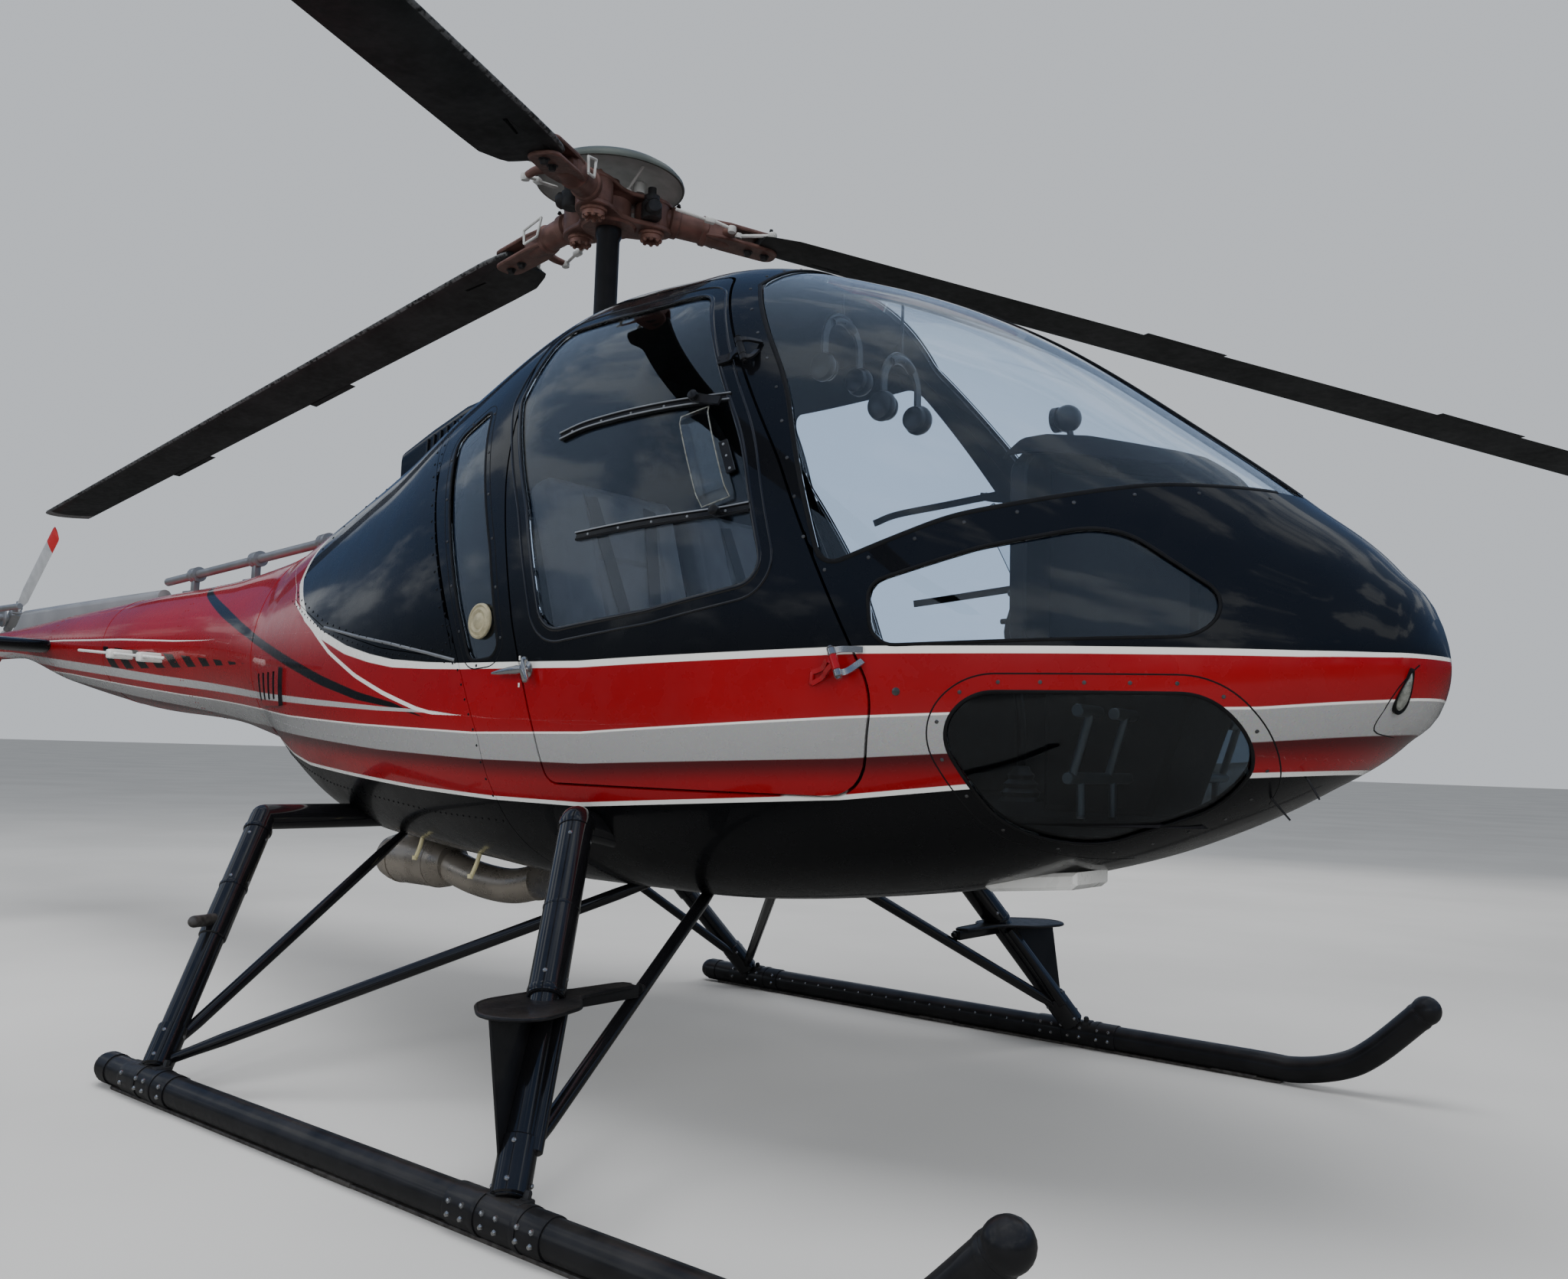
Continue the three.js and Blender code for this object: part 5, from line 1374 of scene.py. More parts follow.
def build_scoop():
    """The air scoop: a wedge box open to the rear, with a lip and slats along each side."""
    half, wall = 0.225, 0.012
    crown = [(-0.165, 2.085), (-0.3, 2.076), (-0.42, 2.06), (-0.6, 2.004), (-0.76, 1.945)]
    x = np.array([c[0] for c in crown])
    top = np.array([c[1] for c in crown])
    # Across the scoop: from the skin up one side, round the shoulder, over the top and down.
    across = np.array([-1, -1, -0.985, -0.94, -0.8, -0.4, 0, 0.4, 0.8, 0.94, 0.985, 1, 1]) * half
    lift = np.array([0, 0.72, 0.87, 0.955, 1, 1.01, 1.012, 1.01, 1, 0.955, 0.87, 0.72, 0])
    base = on_crown(x[:, None], across[None]) - 0.012
    z = base + lift[None] * (top[:, None] - base)
    outer = np.stack([np.broadcast_to(x[:, None], z.shape), np.broadcast_to(across[None], z.shape), z], -1)
    inner = outer * (1, 1 - wall / half, 1) - np.stack([0 * z, 0 * z, lift[None] * wall + 0 * z], -1)
    n, m = z.shape
    sheet = ring_faces(n, m, closed_round=False)
    count = n * m
    rim = np.concatenate([np.arange(m), np.arange(1, n) * m + m - 1, np.arange(m - 2, -1, -1) + (n - 1) * m,
                          np.arange(n - 2, 0, -1) * m])
    strip = np.stack([rim, np.roll(rim, -1), np.roll(rim, -1) + count, rim + count], -1)
    shell = (np.vstack([outer.reshape(-1, 3), inner.reshape(-1, 3)]),
             [sheet, sheet[:, ::-1] + count, strip[:, ::-1]])
    front = plate([(-0.225, 1.9), (0.225, 1.9), (0.222, 2.05), (0.2, 2.078), (-0.2, 2.078), (-0.222, 2.05)],
                  -0.18, -0.166, "yz")
    slats = []
    for side in (-1, 1):
        for k in range(11):
            at = -0.26 - 0.035 * k
            high = np.interp(-at, -x, top) - 0.035
            low = on_crown(at, half) + 0.004
            slats.append(block((at - 0.006, side * half - 0.006, low),
                               (at + 0.006, side * half + 0.007, high), 0.003))
    mesh("air_scoop_shell", *merge(shell, front, *slats), "black_paint", "airframe", ["air_scoop"])


def on_crown(x, y):
    """The height of the body's upper skin at (x, y), from the section's power curve."""
    crown, _, widest, half, power, _ = (curve(k, x) for k in range(1, 7))
    share = np.clip(np.abs(y) / half, 0, 1)
    return widest + (crown - widest) * (1 - share ** power) ** (1 / power)


def build_boom():
    """The tail boom with its riveted seam lines."""
    low, high = BOOM_END_X, AFT_END_X - 0.0015
    xs = np.linspace(low, high, int((high - low) / 0.025) + 2)
    x, turn = np.meshgrid(xs, round_turn(64), indexing="ij")
    painted_rings("boom_skin", body(x, turn), [(at, 0, curve(3, at)) for at in (low, high)], ["tail_boom"])
    rows = [screws_along([(x, z + up) for x, z, _ in SEAM_LINE[1:-1]], 0.045, BOOM_RIVET)
            for up in (0.012, -0.012)]
    for at in BOOM_SEAMS:
        turn = round_turn(int(2 * math.pi * curve(4, at) / 0.04) + 6)
        for x in (at - 0.012, at + 0.012):
            xs = np.full_like(turn, x)
            rows.append(domes(body(xs, turn), body_normal(xs, turn), BOOM_RIVET))
    mesh("boom_rivets", *merge(*rows), "red_paint")
    bands = []
    turn = round_turn(64)
    for at in BOOM_BANDS:
        rings = []
        for dx, out in ((-0.02, -0.002), (-0.019, 0.0012), (0.019, 0.0012), (0.02, -0.002)):
            x = np.full_like(turn, at + dx)
            rings.append(body(x, turn) + body_normal(x, turn) * out)
        bands.append((np.vstack(rings), [ring_faces(4, 64, closed_along=True)[:, ::-1]]))
    points, faces = merge(*bands)
    mesh("boom_bands", points, faces, "livery", "airframe", attributes=paint_fields(points))


def aerofoil(count=15, thickness=0.12):
    """A symmetric wing section from the trailing edge over the top and back: the usual thickness polynomial
    at places spaced by cosines. Columns: share of the chord from the trailing edge, height in chords."""
    back = 0.5 * (1 - np.cos(np.linspace(0, math.pi, count)))
    t = 1 - back
    half = 5 * thickness * (0.2969 * np.sqrt(t) - 0.126 * t - 0.3516 * t ** 2 + 0.2843 * t ** 3
                            - 0.1036 * t ** 4)
    half[0] = 0.0045 * thickness
    top = np.stack([back, half], -1)
    low = np.stack([back, -half], -1)[::-1]
    return np.vstack([top, low[1:]])


def loft(rings):
    """Rings of equal count joined, with a flat face at each end."""
    rings = np.asarray(rings)
    n, m = rings.shape[:2]
    return rings.reshape(-1, 3), [ring_faces(n, m), np.arange(m)[::-1][None],
                                  np.arange((n - 1) * m, n * m)[None]]


def shaft_height(x):
    """The height of the tail shaft's line at x."""
    return SHAFT_A[2] + (x - SHAFT_A[0]) / (SHAFT_B[0] - SHAFT_A[0]) * (SHAFT_B[2] - SHAFT_A[2])


def build_tail():
    """Everything the boom carries: shaft and cover, stabilisers, lower fin, guard and gearbox."""
    a = np.linspace(0, math.pi, 11)
    rings = []
    for x, z in FIN:
        low = curve(1, x) - 0.012
        shoulder = max(z - COVER_HALF, low + 0.004)
        arch = np.stack([COVER_HALF * np.cos(a), shoulder + (z - shoulder) * np.sin(a)], -1)
        ring = np.vstack([arch, [(-COVER_HALF, low)], [(COVER_HALF, low)]])
        rings.append(np.column_stack([np.full(len(ring), x), ring]))
    cover = outward(loft(rings))
    mesh("shaft_cover", *cover, "grey_paint", "airframe", ["top_fin"])
    shaft = [bar((-1.0, 0, shaft_height(-1.0)), SHAFT_B, 0.0188),
             bar((-4.55, 0, 1.597), (-5.235, 0, 1.588), 0.0168)]
    for x in (-1.56, -2.08, -2.6):
        shaft.append(lathe([(0.0, -0.024), (0.03, -0.024), (0.034, -0.018), (0.034, 0.0), (0.026, 0.004),
                            (0.026, 0.012), (0.034, 0.016), (0.034, 0.034), (0.0, 0.036)],
                           (x - 0.02, 0, shaft_height(x - 0.02)), SHAFT_A - SHAFT_B, 24))
        shaft.append(block((x - 0.036, -0.014, curve(1, x) - 0.004),
                           (x - 0.004, 0.014, shaft_height(x) - 0.008), 0.004))
        shaft.append(block((x - 0.055, -0.04, curve(1, x) - 0.004), (x + 0.015, 0.04, curve(1, x) + 0.005),
                           0.002))
    mesh("tail_shaft", *merge(*shaft), "alloy", "airframe", ["drive_shaft"])
    section = aerofoil(17, 0.17)
    for word, side in SIDES:
        rings = []
        for y, share in ((0.02, 1.0), (0.5, 0.93), (0.88, 0.865), (0.93, 0.84), (0.95, 0.79), (0.9595, 0.7)):
            thin = 1.0 if y < 0.94 else (0.75 if y < 0.955 else 0.3)
            x = STABILISER_LEADING - STABILISER_CHORD * (1 - section[:, 0]) * share - (1 - share) * 0.06
            z = STABILISER_Z + section[:, 1] * STABILISER_CHORD * share * thin
            rings.append(np.stack([x, np.full(len(x), side * y), z], -1))
        wing = outward(loft(rings))
        mesh("stabiliser_skin_" + word, *wing, "black_paint", "airframe", ["stabiliser_" + word])
    fin = plate(VENTRAL, -0.0128, 0.0128, "xz", 0.005)
    mesh("lower_fin", *fin, "red_paint", "airframe", ["ventral_fin"])
    guard = smooth_path([(-5.385, 0, 0.93), (-5.52, 0, 0.845), (-5.78, 0, 0.802), (-5.99, 0, 0.872),
                         (-6.1, 0, 1.02)], 8)
    strut = smooth_path([(-5.21, 0, 0.974), (-5.3, 0, 0.975), (-5.385, 0, 0.93)], 6)
    path = np.vstack([strut[:-1], guard])
    mesh("tail_guard_tube",
         *merge(capsule(path, 0.0155, 14), block((-5.36, -0.018, 0.99), (-5.19, 0.018, 1.035), 0.004)),
         "worn_steel", "airframe", ["tail_guard"])
    shaft_x, _, shaft_z = TAIL_HUB
    box = [
        lathe([(0, 0), (0.036, 0.002), (0.05, 0.012), (0.052, 0.03), (0.058, 0.034), (0.062, 0.05),
               (0.062, 0.12), (0.055, 0.14), (0.04, 0.158), (0, 0.159)], (-5.39, 0, shaft_z), (1, 0, 0), 32),
        lathe([(0.046, 0.0), (0.046, 0.045), (0.05, 0.048), (0.05, 0.058), (0.04, 0.062), (0.04, 0.1),
               (0.03, 0.1045), (0, 0.1045)], (shaft_x, 0, shaft_z), (0, 1, 0), 28),
        block((-5.385, -0.035, 1.432), (-5.25, 0.035, 1.56), 0.012),
    ]
    ring = circle(0.045, 8)
    bolts = domes(np.column_stack([shaft_x + ring[:, 0], np.full(8, 0.058), shaft_z + ring[:, 1]]),
                  np.tile([[0, 1.0, 0]], (8, 1)), 0.005)
    mesh("tail_gearbox_case", *merge(*box, bolts), "alloy", "airframe", ["tail_gearbox"])
    build_tail_rotor()


def build_tail_rotor():
    """The tail rotor: a hub on its shaft and two untwisted blades with red tips."""
    turn = about((0, 1, 0), -math.radians(TAIL_BLADE_ANGLE))
    section = aerofoil(15, 0.15)
    hub = [
        lathe([(0, -0.1445), (0.018, -0.1445), (0.0215, -0.138), (0.0215, 0.014), (0.028, 0.018),
               (0.034, 0.024), (0.034, 0.036), (0.024, 0.046), (0, 0.048)], (0, 0, 0), (0, 1, 0), 28),
        bar((-0.1, 0, 0), (0.1, 0, 0), 0.0235, edge=0.25),
        block((-0.055, -0.03, -0.03), (0.055, 0.03, 0.03), 0.01),
    ]
    for way in (-1, 1):
        hub.append(bar((way * 0.09, 0.006, -0.052), (way * 0.09, 0.006, 0.052), 0.008))
        hub.append(bar((way * 0.09, -0.045, -0.048), (way * 0.09, 0.006, -0.048), 0.006))
    hub.append(lathe([(0.0, 0), (0.052, 0), (0.056, 0.004), (0.056, 0.01), (0.0, 0.012)], (0, -0.062, 0),
                     (0, 1, 0), 28))
    points, faces = merge(*hub)
    mesh("tail_rotor_hub", points @ turn.T + TAIL_HUB, faces, "alloy", "tail_rotor", ["tail_rotor"])
    for number, way in enumerate((1, -1)):
        blade = []
        for radius, share, thin in ((0.085, 0.5, 1.5), (0.13, 0.55, 1.5), (0.2, 1.0, 1.0), (0.45, 1, 1),
                                    (0.69, 1, 1), (0.704, 0.94, 0.8), (0.7095, 0.8, 0.3)):
            blade.append(np.stack([
                np.full(len(section), way * radius), section[:, 1] * 0.118 * thin * (share ** 0.2),
                (section[:, 0] - 0.6) * 0.115 * share * way,
            ], -1))
        points, faces = outward(loft(blade))
        mesh(f"tail_blade_{number + 1}", points @ turn.T + TAIL_HUB, faces, "tail_blade", "tail_rotor")


def tail_blade_finish():
    """Grey blades whose outer end is red, by the distance from the hub."""
    tree = material("tail_blade")
    place = node(tree, "SeparateXYZ", {0: node(tree, "TexCoord").outputs["Object"]})
    dx = combine(tree, "SUBTRACT", place.outputs["X"], float(SHIFT[0] + TAIL_HUB[0]))
    dz = combine(tree, "SUBTRACT", place.outputs["Z"], float(TAIL_HUB[2]))
    reach = combine(tree, "SQRT", combine(tree, "ADD", times(tree, dx, dx), times(tree, dz, dz)))
    base = over(tree, (0.33, 0.34, 0.35, 1), (0.4, 0.41, 0.42, 1), ramp(tree, noise(tree, 20.0), 0.35, 0.65))
    base = over(tree, base, (0.42, 0.02, 0.02, 1), ramp(tree, reach, TAIL_RED_FROM, TAIL_RED_FROM + 0.002))
    finish_surface(tree, {"Base Color": base, "Roughness": 0.4, "Metallic": 0.2})


def arm_turn(number, ahead=0):
    """The matrix that turns about the mast to an arm's direction, or to some degrees ahead of it."""
    return about((0, 0, 1), math.radians(FIRST_BLADE + 120 * number + ahead))


def arm_frame(number):
    """The matrix and offset that take a blade arm's own frame to its place: x out along the arm from its flap
    hinge, y towards the blade's leading edge, z up."""
    turn = arm_turn(number)
    return turn @ about((0, 1, 0), DROOP), turn @ np.array([FLAP_HINGE, 0, 0]) + (0, 0, HUB_Z)


def lobed(outer, waist, steps=14):
    """The outline of a three-armed plate: a round end at each lobe, joined by smooth waists. Its radius
    runs from waist to outer by a power of half of one plus the cosine of three times the angle from the
    first blade."""
    a = np.linspace(0, 2 * math.pi, 3 * steps * 2, endpoint=False)
    peak = np.clip(0.5 + 0.5 * np.cos(3 * (a - math.radians(FIRST_BLADE))), 0, 1) ** 1.6
    r = waist + (outer - waist) * peak
    return np.stack([r * np.cos(a), r * np.sin(a)], -1)


def castle_nut(place, axis, radius, height):
    """A round nut with a flange, a slotted crown and a hollow middle."""
    body_part = lathe([(0, 0), (radius, 0), (radius, height * 0.3), (radius * 0.84, height * 0.34),
                       (radius * 0.84, height * 0.8), (radius * 0.5, height * 0.8),
                       (radius * 0.46, height * 0.45), (0, height * 0.45)], place, axis, 28)
    axis = np.asarray(axis, float)
    ring = circle(radius * 0.68, 8)
    u, v = square_to(axis)
    at = np.asarray(place) + ring[:, :1] * u + ring[:, 1:] * v + axis * height * 0.78
    return merge(body_part, domes(at, np.tile(axis, (8, 1)), radius * 0.19, height * 0.3, 6))


def bolt(place, axis, radius, length):
    """A bolt seen from its head: a washer, a six-sided head and its dome."""
    axis = unit(axis)
    washer = lathe([(0, 0), (radius * 1.35, 0), (radius * 1.4, length * 0.08), (radius * 1.35, length * 0.16),
                    (0, length * 0.16)], place, axis, 20)
    head = lathe([(0, 0), (radius, 0), (radius, length * 0.75), (radius * 0.8, length), (0, length)],
                 np.asarray(place) + axis * length * 0.1, axis, 6)
    return merge(washer, head)


def build_rotor():
    """The mast, hub, cap, grips and blades."""
    mast = lathe([(0, 1.885), (0.046, 1.885), (0.046, 1.9), (0.038, 1.91), (0.038, 2.6), (0.043, 2.612),
                  (0.043, 2.645), (0, 2.645)], (0, 0, 0), (0, 0, 1), 40)
    mesh("rotor_mast", *mast, "satin_black", "main_rotor", ["rotor_mast_and_hub"])
    parts = [
        plate(lobed(0.212, 0.098), 2.648, 2.664, "xy", 0.003),
        plate(lobed(0.212, 0.098), 2.738, 2.752, "xy", 0.003),
        lathe([(0, 2.64), (0.085, 2.64), (0.092, 2.648), (0.092, 2.664), (0.072, 2.672), (0.072, 2.73),
               (0.092, 2.738), (0.092, 2.752), (0.06, 2.762), (0.03, 2.766), (0.03, 2.807), (0, 2.807)],
              (0, 0, 0), (0, 0, 1), 36),
    ]
    nuts, dark, pale = [], [], []
    for number in range(3):
        turn = arm_turn(number)
        lobe = turn @ np.array([LOBE, 0, 0])
        parts.append(lathe([(0, 2.662), (0.058, 2.662), (0.06, 2.668), (0.06, 2.732), (0.058, 2.74),
                            (0, 2.74)],
                           (*lobe[:2], 0), (0, 0, 1), 28))
        nuts.append(castle_nut((*lobe[:2], 2.648), (0, 0, -1), 0.043, 0.03))
        nuts.append(castle_nut((*lobe[:2], 2.752), (0, 0, 1), 0.036, 0.022))
        # A damper between the arms: a housing, its dark can, a cap and the arm that holds it.
        seat = arm_turn(number, -34) @ np.array([0.15, 0, 0])
        dark.append(lathe([(0, 2.664), (0.03, 2.664), (0.034, 2.67), (0.034, 2.715), (0.026, 2.722),
                           (0.026, 2.74), (0.014, 2.744), (0.014, 2.768), (0, 2.769)], (*seat[:2], 0),
                          (0, 0, 1), 24))
        across = turn @ np.array([0, -1, 0.0])
        dark.append(lathe([(0, -0.03), (0.022, -0.028), (0.027, -0.02), (0.027, 0.02), (0.02, 0.03),
                           (0, 0.031)],
                          seat + (0, 0, 2.692) + across * 0.02, across, 20))
        pale.append(lathe([(0, 0), (0.02, 0), (0.02, 0.034), (0.015, 0.04), (0, 0.04)],
                          turn @ np.array([0.085, -0.06, 0]) + (0, 0, 2.752), (0, 0, 1), 20))
        # The cap's strut, with a foot.
        foot = arm_turn(number, 60) @ np.array([0.085, 0, 0])
        pale.append(bar(foot + (0, 0, 2.75), foot * 1.9 + (0, 0, 2.812), 0.0045, sides=10))
        pale.append(block(foot + (-0.012, -0.012, 2.747), foot + (0.012, 0.012, 2.756), 0.003))
    mesh("hub_body", *merge(*parts), "primer", "main_rotor")
    mesh("hub_nuts", *merge(*nuts), "hub_nut", "main_rotor")
    mesh("hub_dampers", *merge(*dark), "dark_metal", "main_rotor")
    mesh("hub_fittings", *merge(*pale), "pale_grey", "main_rotor")
    outer = [(0.0, 0.17), (0.04, 0.169), (0.08, 0.166), (0.12, 0.159), (0.165, 0.147), (0.205, 0.13),
             (0.23, 0.114), (0.244, 0.098), (0.2465, 0.09), (0.2455, 0.085)]
    inner = [(0.238, 0.0852), (0.2365, 0.091), (0.222, 0.107), (0.2, 0.122), (0.16, 0.138), (0.11, 0.151),
             (0.06, 0.158), (0.0, 0.16)]
    profile = [(r, HUB_Z + z) for r, z in outer + inner]
    mesh("hub_cap", *outward(lathe(profile, sides=64)), ["cap_shell", "pale_grey"], "main_rotor",
         ["rotor_cap"], second=(64 * 9, 64 * 17))
    for number in range(3):
        build_grip(number)
        build_blade(number)


def build_grip(number):
    """One arm from its flap hinge to the blade: barrel, fork, bolts, drag link, pitch link and bracket."""
    matrix, offset = arm_frame(number)
    tab = rounded([(0.385, 0.048, 0.04), (0.385, -0.055, 0.045), (0.2, -0.06, 0.02), (0.12, -0.045, 0.02),
                   (0.12, 0.04, 0.02), (0.2, 0.05, 0.02)], 8)
    barrel = [
        lathe([(0, -0.045), (0.036, -0.045), (0.04, -0.04), (0.04, 0.0), (0.05, 0.006), (0.052, 0.014),
               (0.052, 0.03), (0.046, 0.036), (0.044, 0.11), (0.05, 0.116), (0.05, 0.13), (0.044, 0.138),
               (0.04, 0.2), (0.034, 0.215), (0, 0.216)], (0, 0, 0), (1, 0, 0), 30),
        plate(tab, 0.0178, 0.031, "xy", 0.004),
        plate(tab, -0.031, -0.0178, "xy", 0.004),
        plate(rounded([(0.2, 0.045, 0.01), (0.2, -0.056, 0.01), (0.1, -0.04, 0.02), (0.1, 0.036, 0.02)], 5),
              -0.026, 0.026, "xy", 0.005),
        sweep(smooth_path([(0.19, -0.04, -0.004), (0.205, -0.085, -0.012), (0.192, -0.13, -0.024)], 6),
              circle(1, 14), np.interp(np.linspace(0, 1, 13), [0, 1], [0.017, 0.011])),
    ]
    mesh(f"grip_{number + 1}", *placed(merge(*barrel), matrix, offset), "primer", "main_rotor",
         [f"blade_grip_{number + 1}"])
    bolts = [bolt((x, -0.006, way * 0.031), (0, 0, way), 0.0125, 0.014) for x in (0.285, 0.345)
             for way in (1, -1)]
    bolts += [bolt((0.022, 0.03 * way, 0.046), (0, 0, 1), 0.006, 0.008) for way in (-1, 1)]
    bolts += [bar((0.33, -0.11, -0.002), (0.33, -0.11, 0.02), 0.006)]
    mesh(f"grip_bolts_{number + 1}", *placed(merge(*bolts), matrix, offset), "dark_metal", "main_rotor")
    rods = [
        bar((0.335, -0.118, -0.004), (0.235, -0.05, -0.006), 0.0062, sides=12),
        lathe([(0, -0.009), (0.013, -0.009), (0.015, -0.004), (0.015, 0.004), (0.013, 0.009), (0, 0.009)],
              (0.335, -0.118, -0.004), (0, 0, 1), 18),
        lathe([(0, -0.008), (0.012, -0.008), (0.0135, 0), (0.012, 0.008), (0, 0.008)], (0.235, -0.05, -0.006),
              (0, 0, 1), 18),
        *frame_bars([(0.085, 0.058, 0.05), (0.175, 0.066, 0.03), (0.175, 0.066, -0.02), (0.11, 0.06, -0.012)],
                    0.0045),
        # A two-part pitch link from the horn in to the hub's waist.
        bar((0.192, -0.13, -0.024), (0.13, -0.125, -0.012), 0.0055, sides=10),
        block((0.098, -0.134, -0.022), (0.132, -0.112, -0.004), 0.004),
        bar((0.1, -0.122, -0.012), (0.0, -0.105, 0.002), 0.0055, sides=10),
        lathe([(0, -0.012), (0.013, -0.01), (0.0145, 0), (0.013, 0.01), (0, 0.012)], (0.192, -0.13, -0.026),
              (0, 0, 1), 18),
    ]
    mesh(f"grip_links_{number + 1}", *placed(merge(*rods), matrix, offset), "pale_grey", "main_rotor")


def placed(part, matrix, offset):
    """A part turned by a matrix and moved by an offset."""
    points, faces = part
    return np.asarray(points) @ np.asarray(matrix).T + np.asarray(offset), faces


def frame_bars(corners, radius):
    """Bars along the edges of a closed frame, which meet at its corners."""
    return [bar(a, b, radius, sides=8, edge=0.05) for a, b in zip(corners, corners[1:] + corners[:1])]


def build_blade(number):
    """One blade: wing sections between its stations, twisted about the pitch axis, with root doublers and
    trim tabs."""
    matrix, offset = arm_frame(number)
    section = aerofoil(21, 1.0)
    radii = np.concatenate([BLADE_STATIONS[:3, 0], np.arange(0.76, 4.8, 0.2), BLADE_STATIONS[-3:, 0]])
    back, lead, thick, twist = (np.interp(radii, BLADE_STATIONS[:, 0], BLADE_STATIONS[:, k])
                                for k in range(1, 5))
    chord = lead - back
    c = back[:, None] + section[None, :, 0] * chord[:, None]
    t = section[None, :, 1] * (thick * chord)[:, None]
    angle = np.radians(twist)[:, None]
    rings = np.stack([
        np.broadcast_to(radii[:, None] - FLAP_HINGE, c.shape), c * np.cos(angle) - t * np.sin(angle),
        c * np.sin(angle) + t * np.cos(angle),
    ], -1)
    points, faces = outward(loft(rings))
    attributes = {
        "chordwise": np.tile(section[:, 0], len(radii)),
        "span": np.repeat(radii, len(section)),
    }
    mesh(f"blade_{number + 1}", points @ matrix.T + offset, faces, "rotor_blade", "main_rotor",
         [f"main_blade_{number + 1}"], attributes=attributes, sharp=40)
    extras = []
    for at, length in ((1.95, 0.34), (3.3, 0.42)):
        low = math.radians(float(np.interp(at, BLADE_STATIONS[:, 0], BLADE_STATIONS[:, 4])))
        tab = plate([(at - 0.2, -0.178), (at - 0.2 + length, -0.178), (at - 0.2 + length, -0.207),
                     (at - 0.2, -0.207)],
                    -0.0012, 0.0012, "xy", 0.0004)
        extras.append(placed(tab, about((1, 0, 0), low), (0, 0, 0)))
    doubler = rounded([(0.31, 0.03, 0.01), (0.31, -0.05, 0.01), (0.62, -0.012, 0.01), (0.62, -0.004, 0.01)],
                      4)
    for way in (-1, 1):
        flat = plate(doubler, 0.0145 if way > 0 else -0.0165, 0.0165 if way > 0 else -0.0145, "xy", 0.0008)
        extras.append(placed(flat, about((1, 0, 0), math.radians(7.6)), (0, 0, 0)))
    mesh(f"blade_fittings_{number + 1}", *placed(merge(*extras), matrix, offset), "blade_paint", "main_rotor")


def rotor_blade_finish():
    """Dark matt blades with a scuffed steel leading edge and a slightly paler tip, by their stored places."""
    tree = material("rotor_blade")
    base = over(tree, (0.011, 0.012, 0.0125, 1), (0.02, 0.021, 0.022, 1),
                ramp(tree, noise(tree, 5.0), 0.3, 0.7))
    edge = ramp(tree, field(tree, "chordwise"), 0.955, 0.965)
    scuffed = times(tree, edge, ramp(tree, noise(tree, 60.0), 0.35, 0.6), 0.7)
    base = over(tree, base, (0.16, 0.165, 0.17, 1), scuffed)
    tip = times(tree, ramp(tree, field(tree, "span"), 4.79, 4.792), 0.5)
    base = over(tree, base, (0.2, 0.2, 0.2, 1), tip)
    rough = rescaled(tree, noise(tree, 30.0), 0.3, 0.7, 0.42, 0.58)
    finish_surface(tree, {"Base Color": base, "Roughness": rough, "Metallic": times(tree, edge, 0.4),
                          "Specular IOR Level": 0.25},
                   [(noise(tree, 350.0), 0.05, 0.001)])


def build_gear(rivet):
    """The skids, legs, steps, braces and cross tubes."""
    for side in (-1, 1):
        build_skid(side, rivet)
        build_legs(side)
    tubes = [
        sweep(smooth_path([FRONT_TOP * (1, -1, 1), (0.8, -0.4, 0.7), (0.8, 0.4, 0.7), FRONT_TOP], 8),
              circle(0.0375, 20)),
        sweep(smooth_path([REAR_TOP * (1, -1, 1), (-0.587, -0.4, 0.69), (-0.587, 0.4, 0.69), REAR_TOP], 8),
              circle(0.0378, 20)),
    ]
    names = (("front_cross_tube_bar", "front_cross_tube"), ("rear_cross_tube_bar", "rear_cross_tube"))
    for (name, instead), tube, top in zip(names, tubes, (FRONT_TOP, REAR_TOP)):
        balls = [ball(top * (1, way, 1), 0.0405 if top is FRONT_TOP else 0.0375) for way in (-1, 1)]
        mesh(name, *merge(tube, *balls), "gloss_black", "airframe", [instead])


def ball(place, radius, sides=20):
    """A ball: a half circle turned about the upright through its middle."""
    a = np.linspace(-math.pi / 2 + 0.02, math.pi / 2 - 0.02, sides // 2 + 1)
    return lathe(np.stack([radius * np.cos(a), radius * np.sin(a)], -1), place, (0, 0, 1), sides)


